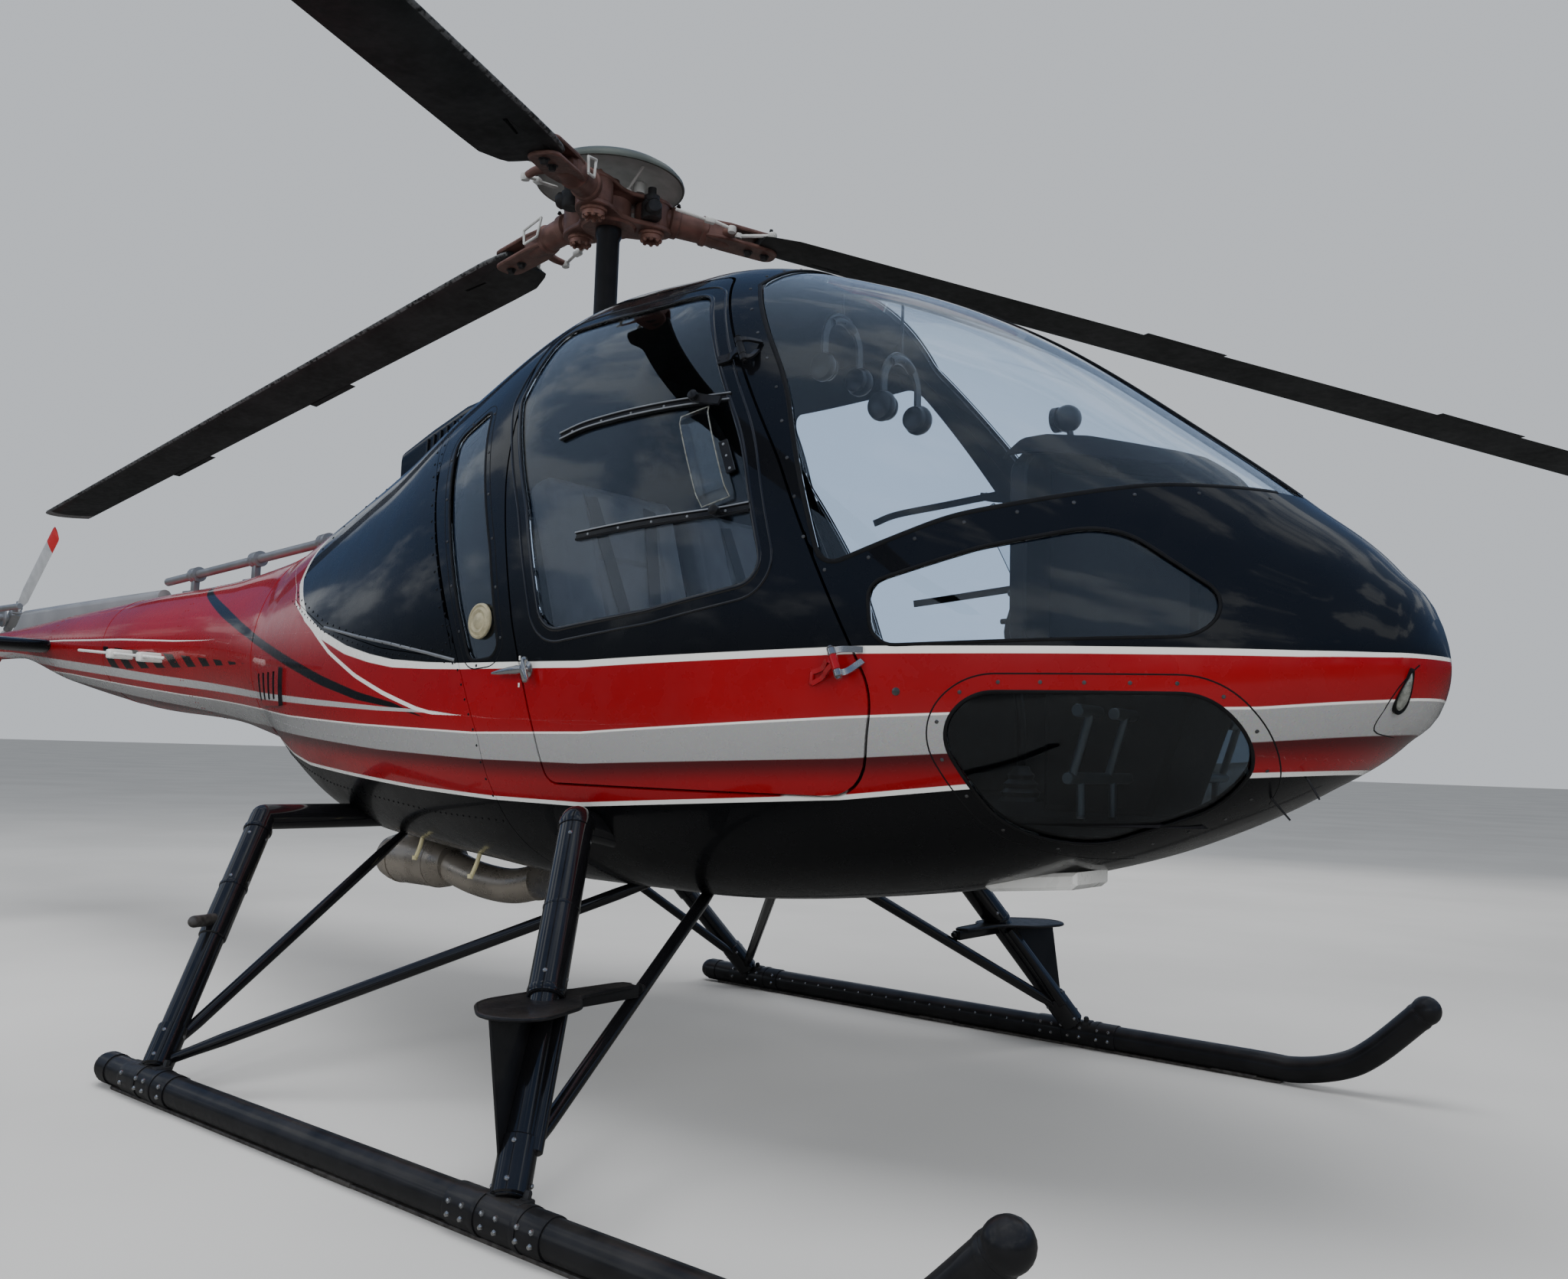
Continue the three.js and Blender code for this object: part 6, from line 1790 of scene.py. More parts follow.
def build_skid(side, rivet):
    """One skid: tube with round ends, wear shoe, clamps, bolts and rows of rivets."""
    path = smooth_path(SKID_LINE, 8)
    tube = capsule(path, SKID_R, 24)
    cap = [ball(path[-1] + (0.006, 0, 0.006), 0.0405, 24)]
    cap.append(lathe([(0, 0), (0.039, 0), (0.0395, 0.008), (0.0385, 0.014), (0, 0.014)],
                     path[-1] - (0.018, 0, 0.018), (1, 0, 1), 24))
    end = lathe([(0.0, -0.01), (0.03, -0.01), (0.0405, 0.004), (0.0405, 0.05), (0.0, 0.05)], path[0],
                (1, 0, 0), 24)
    sided("skid_tube", side, merge(tube, *cap, end), "satin_black", "skid")
    shoe = [plate(rounded([(-0.44, SKID_Y - 0.022, 0.01), (1.8, SKID_Y - 0.022, 0.01),
                           (1.8, SKID_Y + 0.022, 0.01), (-0.44, SKID_Y + 0.022, 0.01)], 4), 0.0, 0.0078, "xy",
                  0.002)]
    for x in (1.66, 0.6):
        shoe.append(block((x - 0.07, SKID_Y - 0.024, 0.0002), (x + 0.07, SKID_Y + 0.024, 0.012), 0.003))
    sided("skid_shoe", side, merge(*shoe), "worn_steel")
    clamps = []
    for low, high in ((-0.36, -0.12), (1.0, 1.28)):
        clamps.append(lathe([(0.037, 0), (0.0405, 0.0), (0.0412, 0.003), (0.0412, high - low - 0.003),
                             (0.0405, high - low), (0.037, high - low)], (low, SKID_Y, SKID_Z), (1, 0, 0), 28,
                            closed=True))
        for x in (low + 0.08, high - 0.08):
            clamps.append(lathe([(0.037, 0), (0.0432, 0.0), (0.0436, 0.004), (0.0436, 0.012), (0.0432, 0.016),
                                 (0.037, 0.016)], (x, SKID_Y, SKID_Z), (1, 0, 0), 28, closed=True))
    sided("skid_clamps", side, merge(*clamps), "satin_black")
    at, normal = [], []
    for row in ((-0.34, -0.26, -0.22, -0.14), (1.02, 1.06, 1.12, 1.16, 1.22, 1.26)):
        for x in row:
            for a in (-10, 24, 150, 190):
                n = np.array((0, math.cos(math.radians(a)), math.sin(math.radians(a))))
                at.append(np.array((x, SKID_Y, SKID_Z)) + n * 0.0412)
                normal.append(n)
    bolts = domes(at, normal, 0.0062, 0.006, 6)
    line = np.arange(-0.1, 1.0, 0.062)
    n = np.array((0, -math.cos(0.35), math.sin(0.35)))
    rivets = domes(np.stack([line, np.full_like(line, SKID_Y), np.full_like(line, SKID_Z)], -1) + n * SKID_R,
                   np.tile(n, (len(line), 1)), rivet)
    sided("skid_bolts", side, merge(bolts, rivets), "steel")


def along(a, b, share):
    """The point that share of the way from a to b."""
    return np.asarray(a) + (np.asarray(b) - np.asarray(a)) * share


def build_legs(side):
    """The legs of one side: sleeved tubes with collars and screws, braces, the front step with its gusset,
    and the rear peg."""
    front_at, rear_at = partial(along, FRONT_TOP, FRONT_FOOT), partial(along, REAR_TOP, REAR_FOOT)
    step_top = front_at(0.5)
    front = [
        round_sleeve(FRONT_TOP, step_top, 0.0408),
        round_sleeve(front_at(0.455), front_at(0.96), 0.0335),
        round_sleeve(front_at(0.83), front_at(0.955), 0.0385),
        collar(FRONT_TOP, FRONT_FOOT, 0.012, 0.043), collar(FRONT_TOP, FRONT_FOOT, 0.26, 0.0415, 0.004),
        collar(FRONT_TOP, FRONT_FOOT, 0.485, 0.0415, 0.006),
        bar(front_at(0.52) + (0.03, -0.022, 0), front_at(0.86) + (0.028, -0.018, 0),
            0.0165, sides=16),
    ]
    rear = [
        round_sleeve(REAR_TOP, rear_at(0.5), 0.0378),
        round_sleeve(rear_at(0.45), rear_at(0.96), 0.0335),
        round_sleeve(rear_at(0.82), rear_at(0.955), 0.0385),
        collar(REAR_TOP, REAR_FOOT, 0.06, 0.041, 0.006), collar(REAR_TOP, REAR_FOOT, 0.3, 0.0395, 0.006),
    ]
    braces = [
        (along(FRONT_FOOT, FRONT_TOP, 0.1), (0.8, 0.235, 0.6)),
        (along(REAR_FOOT, REAR_TOP, 0.09), (-0.47, 0.33, 0.64)),
        (along(REAR_FOOT, REAR_TOP, 0.06), (0.64, 0.23, 0.6)),
    ]
    for number, (foot, belly) in enumerate(braces):
        target = front if number == 0 else rear
        path = np.array([along(foot, belly, t) for t in (0, 0.06, 0.12, 0.88, 0.95, 1.0)])
        target.append(sweep(path, circle(1, 16), np.array([0.0125, 0.0135, 0.0168, 0.0168, 0.0135, 0.012])))
    sided("front_leg_tubes", side, merge(*front), "gloss_black", "front_leg")
    sided("rear_leg_tubes", side, merge(*rear), "gloss_black", "rear_leg")
    outline = rounded([(0.9, 0.93, 0.06), (0.9, 1.1, 0.1), (1.04, 1.2, 0.08), (1.13, 1.12, 0.08),
                       (1.09, 0.98, 0.05), (1.0, 0.9, 0.04), (0.985, 0.72, 0.02), (0.945, 0.72, 0.02),
                       (0.935, 0.88, 0.05)], 7)
    z = step_top[2]
    rim = np.column_stack([spaced(outline, 0.02), np.full(len(spaced(outline, 0.02)), z)])
    step = [
        plate(outline, z - 0.003, z + 0.003, "xy", 0.0015),
        sweep(rim, circle(0.0048, 8), closed=True),
        block((0.955, 0.7, z - 0.03), (0.977, 0.98, z - 0.002), 0.003),
        bolt((0.966, 0.69, z - 0.012), (0, -1, 0), 0.009, 0.014),
    ]
    # The gusset hangs from the step's outer end to the leg's foot.
    corners = np.array([(1.045, 1.178, z), step_top, front_at(0.9), (1.092, 1.172, 0.105)])
    step.append(slab_between(corners, 0.0025))
    sided("step", side, merge(*step), "satin_black")
    root = rear_at(0.42)
    peg = capsule([root, root + (0.045, 0.075, 0.002), root + (0.062, 0.108, 0.004)], 0.0165, 16)
    sided("peg", side, peg, "worn_steel")
    at, normal = [], []
    for top, foot, shares, radius in ((FRONT_TOP, FRONT_FOOT, (0.06, 0.45, 0.85, 0.93), 0.0408),
                                      (REAR_TOP, REAR_FOOT, (0.1, 0.28, 0.85, 0.93), 0.0385)):
        u, v = square_to(unit(foot - top))
        for share in shares:
            for a in (0.4, 2.0, 3.6, 5.2):
                n = math.cos(a) * u + math.sin(a) * v
                at.append(along(top, foot, share) + n * (radius - 0.001))
                normal.append(n)
    sided("leg_screws", side, domes(at, normal, 0.0052, 0.003), "steel")
    foot_parts = []
    for foot in (FRONT_FOOT, REAR_FOOT):
        for dx in (-0.035, 0.035):
            foot_parts.append(bolt(foot + (dx, -0.018, 0.04), (0, -0.3, 1), 0.0085, 0.016))
            foot_parts.append(block(foot + (dx - 0.014, -0.03, 0.026), foot + (dx + 0.014, 0.012, 0.043),
                                    0.004))
    sided("foot_lugs", side, merge(*foot_parts), "dark_metal")


def round_sleeve(start, end, radius):
    """A tube along a leg with softened ends."""
    return bar(start, end, radius, sides=28, edge=0.08)


def collar(top, foot, share, radius, width=0.01):
    """A thin raised ring round a leg."""
    return lathe([(radius * 0.9, -width), (radius, -width), (radius + 0.001, 0), (radius, width),
                  (radius * 0.9, width)],
                 along(top, foot, share), foot - top, 28, closed=True)


def slab_between(corners, half):
    """A flat plate through four corners, with its thickness square to them."""
    corners = np.asarray(corners, float)
    normal = unit(np.cross(corners[1] - corners[0], corners[2] - corners[0]))
    points = np.vstack([corners - normal * half, corners + normal * half])
    return outward((points, [ring_faces(2, 4), np.array([(3, 2, 1), (3, 1, 0), (4, 5, 7), (5, 6, 7)])]))


def build_belly():
    """The silencer, its pipe and drains, the pod under the nose, and the antennas."""
    can = lathe([(0, 0), (0.03, 0.002), (0.055, 0.012), (0.074, 0.034), (0.084, 0.07), (0.0875, 0.12),
                 (0.088, 0.33), (0.082, 0.365), (0.068, 0.39), (0.04, 0.402), (0, 0.404)],
                SILENCER_END, (1, 0, 0), 36)
    bands = [lathe([(0.086, at), (0.0895, at), (0.0895, at + 0.012), (0.086, at + 0.012)],
                   SILENCER_END, (1, 0, 0), 36, closed=True) for at in (0.1, 0.31)]
    pipes = [bar((-0.86, 0, 0.55), (-0.86, 0, 0.7), 0.0355), bar((-0.76, 0, 0.53), (-0.7, 0, 0.7), 0.0355)]
    path = smooth_path([(-0.66, 0, 0.505), (-0.5, 0, 0.472), (-0.33, 0, 0.463), (-0.185, 0, 0.489)], 8)
    pipe = sweep(path, circle(0.0575, 28))
    mouth = lathe([(0.0575, -0.02), (0.0595, -0.018), (0.0605, 0), (0.053, 0.001), (0.05, -0.04),
                   (0.0, -0.042)],
                  path[-1], path[-1] - path[-2], 28)
    mesh("silencer_body", *merge(can, *bands, *pipes, pipe, outward(mouth)), "exhaust_metal", "airframe",
         ["silencer"])
    drains = []
    for start, end in (((-0.33, -0.36, 0.64), (-0.345, -0.375, 0.565)),
                       ((-0.02, -0.38, 0.61), (-0.035, -0.4, 0.535))):
        drains.append(sweep(smooth_path([start, along(start, end, 0.5) + (0.004, 0, 0), end], 5),
                            circle(0.0065, 12)))
        drains.append(lathe([(0, 0), (0.0085, 0), (0.0085, 0.012), (0, 0.012)], end, (0, 0, 1), 12))
    mesh("drain_tubes", *merge(*drains), "tube_yellow")
    pod = plate([(1.56, 0.655), (1.57, 0.638), (1.585, 0.629), (1.785, 0.65), (1.8, 0.662), (1.8, 0.69),
                 (1.56, 0.665)],
                -0.19, -0.02, "xz", 0.008)
    mesh("belly_pod_case", *pod, "white_paint", "airframe", ["belly_pod"])
    for side in (-1, 1):
        rod = capsule([(-2.98, 0.325, 1.29), (-2.57, 0.3325, 1.263), (-2.16, 0.34, 1.236)], 0.0065, 12)
        posts = []
        for x, y in ((-2.36, 0.225), (-2.64, 0.21)):
            z = 1.222 + (-x - 2.36) * 0.07
            posts.append(block((x - 0.024, y - 0.03, z + 0.004), (x + 0.024, 0.35, z + 0.044), 0.008))
            posts.append(block((x - 0.034, y - 0.012, z - 0.006), (x + 0.034, y + 0.008, z + 0.054), 0.005))
        sided("boom_rod", side, merge(rod, *posts), "white_paint", "boom_antenna")
    whips = []
    for start, end in (((2.179, -0.15, 0.906), (2.249, -0.155, 0.829)),
                       ((2.266, -0.15, 0.939), (2.306, -0.155, 0.873))):
        whips.append(bar(start, end, 0.0035, 0.002, sides=8))
        whips.append(lathe([(0, -0.012), (0.016, -0.01), (0.018, 0.0), (0.012, 0.006), (0, 0.008)], start,
                           (0.25, -0.55, -0.8), 16))
    mesh("nose_whips", *merge(*whips), "dark_metal")


def thick(grid, wall):
    """A grid of points given a wall: the grid, the same grid moved back along its normals, and a strip
    round it."""
    grid = np.asarray(grid, float)
    normal = unit(np.cross(np.gradient(grid, axis=0), np.gradient(grid, axis=1)))
    n, m = grid.shape[:2]
    count = n * m
    ids = np.arange(count).reshape(n, m)
    rim = np.concatenate([ids[0, :-1], ids[:-1, -1], ids[-1, :0:-1], ids[:0:-1, 0]])
    after = np.roll(rim, -1)
    sheet = ring_faces(n, m, closed_round=False)
    points = np.vstack([grid.reshape(-1, 3), (grid - normal * wall).reshape(-1, 3)])
    return outward((points,
                    [sheet, sheet[:, ::-1] + count, np.stack([after, rim, rim + count, after + count], -1)]))


def half_at(x, z, inset):
    """Half the room across the cabin at (x, z)."""
    return np.maximum(on_skin(x, z, 1)[0][..., 1] - inset, 0.02)


def across(x, z, half, columns=15):
    """A grid that spans the cabin from side to side at each (x, z)."""
    x, z, half = (np.asarray(a, float)[:, None] for a in (x, z, half))
    return np.stack(np.broadcast_arrays(x, np.linspace(-1, 1, columns)[None] * half, z), -1)


def dial(y, z, radius):
    """An instrument on the panel's face: its bezel, dark face, marks round it and a needle."""
    place, axis = (PANEL_FACE, y, z), (-1, 0, 0)
    bezel = lathe([(radius * 0.86, -0.004), (radius, -0.004), (radius, 0.004), (radius * 0.94, 0.0065),
                   (radius * 0.86, 0.004)], place, axis, 28, closed=True)
    face = lathe([(0, -0.003), (radius * 0.88, -0.003), (radius * 0.88, 0.0015), (0, 0.002)], place, axis, 28)
    marks = []
    for angle in np.linspace(-2.3, 2.3, 11):
        way = np.array([0, math.sin(angle), math.cos(angle)])
        start = np.array(place) - (0.0024, 0, 0)
        marks.append(bar(start + way * radius * 0.62, start + way * radius * 0.78, 0.0008, sides=4))
    needle = np.array([0, math.sin(y * 9), math.cos(y * 9)])
    marks.append(bar(np.array(place) - (0.003, 0, 0), np.array(place) - (0.003, 0, 0) + needle * radius * 0.6,
                     0.0011, 0.0005, sides=6))
    return bezel, face, merge(*marks)


def build_fittings():
    """What stands in the cabin: floor, rear wall, panel, stick, lever, pedals, headsets and compass."""
    x = np.linspace(0.53, 2.08, 40)
    floor = across(x, np.full_like(x, FLOOR_TOP), half_at(x, np.full_like(x, FLOOR_TOP), 0.034))
    mesh("floor_mat_sheet", *thick(floor, 0.016), "floor_mat", "airframe", ["cabin_floor"])
    line = spaced(BULKHEAD, 0.04, closed=False)
    wall = across(line[:, 0] + 0.017, line[:, 1], half_at(line[:, 0], line[:, 1], 0.034))
    mesh("rear_wall", *thick(wall, 0.015), "lining", "airframe", ["rear_bulkhead"])
    own = {"engine_deck": "dark_metal", "engine_block": "dark_metal", "main_gearbox": "alloy"}
    for name, finish in own.items():
        frame["nodes"][name].material_slots[0].material = MATERIALS[finish]
    board = rounded([(-0.262, 1.2, 0.02), (0.262, 1.2, 0.02), (0.268, 1.6, 0.05), (0.15, 1.69, 0.2),
                     (-0.15, 1.69, 0.2), (-0.268, 1.6, 0.05)])
    stand = plate(rounded([(1.69, 1.62), (1.69, 0.82), (1.95, 0.82), (2.05, 1.1, 0.1), (2.05, 1.55, 0.05)]),
                  -0.145, 0.145, "xz", 0.014)
    bezels, faces, marks = zip(*(dial(*row) for row in DIALS))
    screens = [block((PANEL_FACE - 0.006, -0.125, 1.405), (PANEL_FACE + 0.004, 0.125, 1.545), 0.006),
               block((PANEL_FACE - 0.005, -0.11, 1.315), (PANEL_FACE + 0.004, 0.11, 1.385), 0.004),
               block((PANEL_FACE - 0.005, -0.11, 1.235), (PANEL_FACE + 0.004, 0.11, 1.3), 0.004)]
    glassy = [block((PANEL_FACE - 0.0075, -0.108, 1.418), (PANEL_FACE - 0.004, 0.108, 1.532), 0.002),
              block((PANEL_FACE - 0.0065, -0.06, 1.332), (PANEL_FACE - 0.004, 0.06, 1.37), 0.001),
              block((PANEL_FACE - 0.0065, -0.06, 1.25), (PANEL_FACE - 0.004, 0.06, 1.286), 0.001)]
    knobs = [bar((PANEL_FACE - 0.02, y, z), (PANEL_FACE + 0.002, y, z), 0.0085, sides=14)
             for z in (1.351, 1.268) for y in (-0.088, 0.088)]
    board_part = plate(board, PANEL_FACE, 1.705, "yz", 0.006)
    mesh("panel_board", *merge(board_part, stand, *screens, *knobs), "panel_black", "airframe",
         ["instrument_pedestal"])
    mesh("dial_bezels", *merge(*bezels), "dark_metal")
    mesh("dial_faces", *merge(*faces, *glassy), "dial_face")
    mesh("dial_marks", *merge(*marks), "dial_mark")
    shield_x = np.array([1.645, 1.66, 1.7, 1.8, 1.9, 2.0, 2.055])
    shield_z = np.array([1.688, 1.699, 1.7, 1.683, 1.654, 1.624, 1.604])
    shield = across(shield_x, shield_z, np.array([0.27, 0.272, 0.272, 0.27, 0.262, 0.25, 0.235]), 21)
    shield[..., 2] -= 0.07 * (np.abs(shield[..., 1]) / 0.27) ** 4
    mesh("glare_shield", *thick(shield, 0.006), "floor_mat")
    column = smooth_path([(x, STICK_Y, z) for x, z in (
        (1.37, FLOOR_TOP), (1.37, 0.98), (1.36, 1.1), (1.33, 1.2), (1.325, 1.28),
    )], 6)
    grip = smooth_path([(x, STICK_Y, z) for x, z in (
        (1.325, 1.27), (1.333, 1.31), (1.35, 1.36), (1.357, 1.395), (1.352, 1.417),
    )], 5)
    size = np.interp(np.linspace(0, 1, len(grip)), [0, 0.1, 0.4, 0.7, 0.9, 1],
                     [0.013, 0.017, 0.0185, 0.02, 0.022, 0.014])
    folds = (0.062, 0.05, 0.056, 0.042, 0.048, 0.034, 0.038, 0.026, 0.022)
    boot = lathe([(0, 0), *((radius, 0.012 * k) for k, radius in enumerate(folds)), (0, 0.1)],
                 (1.37, STICK_Y, FLOOR_TOP))
    stick = merge(
        sweep(column, circle(0.0125, 16), 1.0, (0, 1, 0)), sweep(grip, circle(1, 18), size, (0, 1, 0)), boot,
        bar((1.3, STICK_Y, 1.318), (1.452, STICK_Y, 1.318), 0.008),
        bar((1.322, STICK_Y, 1.395), (1.362, STICK_Y, 1.402), 0.008),
        block((1.362, 0.34, 1.375), (1.382, 0.36, 1.41), 0.006),
    )
    mesh("cyclic_grip", *stick, "satin_black", "airframe", ["cyclic_stick"])
    lever = smooth_path([(x, LEVER_Y, z) for x, z in (
        (0.7, FLOOR_TOP), (0.7, 1.05), (0.73, 1.09), (0.9, 1.135), (1.06, 1.19), (1.165, 1.22),
    )], 6)
    girth = np.where(lever[:, 0] > 1.05, 0.021, 0.0135)
    mesh("collective_grip", *merge(sweep(lever, circle(1, 16), girth, (0, 1, 0)),
                                   block((1.155, 0.615, 1.2), (1.2, 0.665, 1.245), 0.01)),
         "satin_black", "airframe", ["collective_lever"])
    pedals = [bar((1.9, -0.44, 0.9), (1.9, 0.44, 0.9), 0.012)]
    for y in PEDALS_Y:
        pedals.append(bar((1.9, y, 0.9), (1.94, y, 1.03), 0.009))
        pedals.append(bar((1.935, y - 0.05, 1.035), (1.935, y + 0.05, 1.035), 0.013))
        pedals.append(bar((1.9, y * 0.9, FLOOR_TOP), (1.9, y * 0.9, 0.9), 0.009))
    mesh("pedals", *merge(*pedals), "alloy")
    for number, (at, top, foot) in enumerate(((0.98, 2.15, 1.945), (1.18, 2.003, 1.806))):
        build_headset(f"headset_{number + 1}", at, top, foot)
    ball_profile = [(0.034 * math.cos(a), 0.034 * math.sin(a)) for a in np.linspace(-1.45, 1.45, 13)]
    compass = merge(
        lathe([(0, -0.0338), *ball_profile, (0, 0.0338)], COMPASS, (1, 0, 0), 24),
        lathe([(0.022, 0.022), (0.031, 0.022), (0.031, 0.036), (0.026, 0.038), (0.022, 0.034)],
              COMPASS, (-1, 0, 0), 24, closed=True),
        bar((1.69, 0, 1.69), (1.675, 0, 1.745), 0.008),
        block((1.66, -0.03, 1.694), (1.72, 0.03, 1.703), 0.003),
    )
    mesh("compass_ball", *compass, "satin_black")


def build_headset(name, x, top, foot):
    """A headset that hangs from a hook under the roof: a padded band over the hook and an ear cup at each
    end."""
    roof = float(curve(1, x)) - 0.02
    arc = np.linspace(0, math.pi, 15)
    radius = HEADSET_RADIUS
    band = np.stack([np.full(15, x), radius * np.cos(arc), top - radius + radius * np.sin(arc)], -1)
    ends = band[[0, -1]] - (0, 0, top - foot - radius - 0.06)
    path = np.vstack([ends[:1], band, ends[1:]])
    section = [(-0.012, -0.004), (0.012, -0.004), (0.014, 0), (0.012, 0.004), (-0.012, 0.004), (-0.014, 0)]
    parts = [sweep(path, section, 1.0, (1, 0, 0)),
             sweep(band[4:11] - (0, 0, 0.006), circle(0.013, 12), 1.0, (1, 0, 0)),
             bar((x, 0, top - 0.006), (x, 0, roof), 0.004),
             bar((x - 0.012, 0, top - 0.012), (x + 0.012, 0, top - 0.012), 0.004)]
    for way in (-1, 1):
        parts.append(lathe([(0, -0.012), (0.024, -0.012), (0.037, -0.006), (0.041, 0.004), (0.041, 0.014),
                            (0.036, 0.022), (0.034, 0.024), (0.036, 0.027), (0.033, 0.037), (0.024, 0.041),
                            (0, 0.038)],
                           (x, way * (radius + 0.014), foot + 0.045), (0, -way, 0), 24))
    mesh(name, *merge(*parts), "satin_black")


def filled(obj, pressure):
    """Fills a cushion: remeshed fine, blown up as cloth by pressure for FRAMES frames, each point held
    within SWELL of its start, and subdivided once."""
    for other in bpy.context.selected_objects:
        other.select_set(False)
    bpy.context.view_layer.objects.active = obj
    obj.select_set(True)
    remesh = obj.modifiers.new("Remesh", "REMESH")
    remesh.mode = "VOXEL"
    remesh.voxel_size = VOXEL
    remesh.use_smooth_shade = True
    bpy.ops.object.modifier_apply(modifier=remesh.name)
    count = len(obj.data.vertices)
    start = np.empty(count * 3, np.float32)
    obj.data.vertices.foreach_get("co", start)
    cloth = obj.modifiers.new("Cloth", "CLOTH")
    cloth.settings.use_pressure = True
    cloth.settings.uniform_pressure_force = pressure
    cloth.settings.effector_weights.gravity = 0
    cloth.settings.quality = 4
    cloth.collision_settings.use_collision = False
    scene = bpy.context.scene
    for number in range(FRAMES):
        scene.frame_set(number + 1)
    bpy.ops.object.modifier_apply(modifier=cloth.name)
    scene.frame_set(1)
    after = np.empty(count * 3, np.float32)
    obj.data.vertices.foreach_get("co", after)
    move = (after - start).reshape(-1, 3)
    far = np.linalg.norm(move, axis=1, keepdims=True)
    move *= np.minimum(1, SWELL / np.maximum(far, 1e-9))
    obj.data.vertices.foreach_set("co", (start.reshape(-1, 3) + move).reshape(-1))
    finer = obj.modifiers.new("Finer", "SUBSURF")
    finer.levels = finer.render_levels = 1
    bpy.ops.object.modifier_apply(modifier=finer.name)


def build_seats(pile):
    """The seat's base, its four leather cushions with sewn channels, and the harness."""
    base = [block((0.56, -0.58, FLOOR_TOP + 0.0005), (1.005, 0.58, 1.006), 0.02, 5)]
    for _, side in SIDES:
        base.append(block((1.0, side * 0.29 - 0.24, 0.85), (1.009, side * 0.29 + 0.24, 0.975), 0.004))
    mesh("seat_box", *merge(*base), "lining", "airframe", ["seat_base"])
    for name, node_name, foot, lean, deep, tall, side in SEATS:
        y = sorted((side * SEAT_INNER, side * SEAT_OUTER))
        origin, turn = (foot[0], 0, foot[1]), about((0, 1, 0), math.radians(lean))
        points, faces = block((0, y[0], 0), (deep, y[1], tall), 0.034, 6)
        if lean > 45:
            turn, faces = np.array([[0, 0, 1.0], [0, 1, 0], [1, 0, 0]]), [rows[:, ::-1] for rows in faces]
        obj = mesh(name, points @ turn.T + origin, faces, "leather", "airframe", [node_name], sharp=180)
        filled(obj, pile)
        sew(obj, turn, origin, deep, tall)
    build_harness()


def sew(obj, turn, origin, deep, tall):
    """Presses the sewn channels into a cushion's outer face: each seam's depth fades as a bell curve of the
    distance from it, and only points near the outer face move."""
    data = obj.data
    points = np.empty(len(data.vertices) * 3, np.float32)
    data.vertices.foreach_get("co", points)
    local = (points.reshape(-1, 3) - SHIFT - np.asarray(origin)) @ turn
    y = np.abs(local[:, 1])
    front = np.clip((local[:, 0] / deep - 0.45) / 0.4, 0, 1)
    middle = (SEAT_INNER + SEAT_OUTER) / 2
    depth = np.zeros(len(local))
    for at in (middle - SEAM_SPREAD, middle + SEAM_SPREAD):
        depth = np.maximum(depth, SEAM_DEPTH * np.exp(-((y - at) / SEAM_WIDTH) ** 2))
    inner = np.clip((SEAM_SPREAD - np.abs(y - middle)) / 0.01, 0, 1)
    for share in (0.3, 0.62) if tall > 0.5 else (0.7,):
        depth = np.maximum(depth,
                           SEAM_DEPTH * np.exp(-((local[:, 2] - share * tall) / SEAM_WIDTH) ** 2) * inner)
    edge = np.minimum.reduce([y - SEAT_INNER, SEAT_OUTER - y, local[:, 2], tall - local[:, 2]])
    depth = np.maximum(depth, 0.003 * np.exp(-((edge - 0.032) / 0.005) ** 2))
    local[:, 0] = np.clip(local[:, 0] - depth * front, -0.001, deep + 0.012)
    data.vertices.foreach_set("co", (local @ turn.T + origin + SHIFT).astype(np.float32).reshape(-1))
    data.update()


def surface_at(obj, start, way):
    """Where rays from start along way first meet a piece."""
    tree = BVHTree.FromObject(obj, bpy.context.evaluated_depsgraph_get())
    hits = []
    for origin in start:
        place = tree.ray_cast(Vector((origin + SHIFT).tolist()), Vector(way))[0]
        if place is not None:
            hits.append(np.array(place) - SHIFT)
    return np.array(hits)


def build_harness():
    """Two shoulder straps and a lap strap on each seat, laid on the cushions as they came out."""
    web = np.array([(-0.023, -0.001), (0.023, -0.001), (0.023, 0.001), (-0.023, 0.001)])
    straps, metal = [], []
    for word, side in SIDES:
        back, cushion = bpy.data.objects["back_" + word], bpy.data.objects["cushion_" + word]
        for y0, y1 in ((0.17, 0.24), (0.4, 0.33)):
            t = np.linspace(0, 1, 22)
            y = side * (y0 + (y1 - y0) * t)
            along_back = np.stack([0.33 + 0.15 * t, y, 1.6 - 0.42 * t], -1) + (0.25, 0, 0.08)
            laid = surface_at(back, along_back, (-0.95, 0, -0.3))
            straps.append(sweep(laid + np.array([0.95, 0, 0.3]) * 0.003, web, 1.0, (0.95, 0, 0.3)))
        y = side * np.linspace(0.07, 0.5, 26)
        laid = surface_at(cushion, np.stack([np.full(26, 0.74), y, np.full(26, 1.3)], -1), (0, 0, -1))
        straps.append(sweep(laid + (0, 0, 0.003), web, 1.0, (0, 0, 1)))
        middle = laid[len(laid) // 2]
        metal.append(lathe([(0, 0.002), (0.034, 0.002), (0.037, 0.006), (0.036, 0.015), (0.03, 0.019),
                            (0, 0.02)], middle,
                           (0, 0, 1), 24))
        for way in (-1, 1):
            metal.append(block(middle + (-0.024, way * 0.052 - 0.018, 0.002),
                               middle + (0.024, way * 0.052 + 0.018, 0.009), 0.003))
    mesh("harness_straps", *merge(*straps), "webbing")
    mesh("harness_buckles", *merge(*metal), "steel")


def port(x, z, out=0.0):
    """A point on the port skin, moved out."""
    return on_skin(x, z, 1, out)[0]


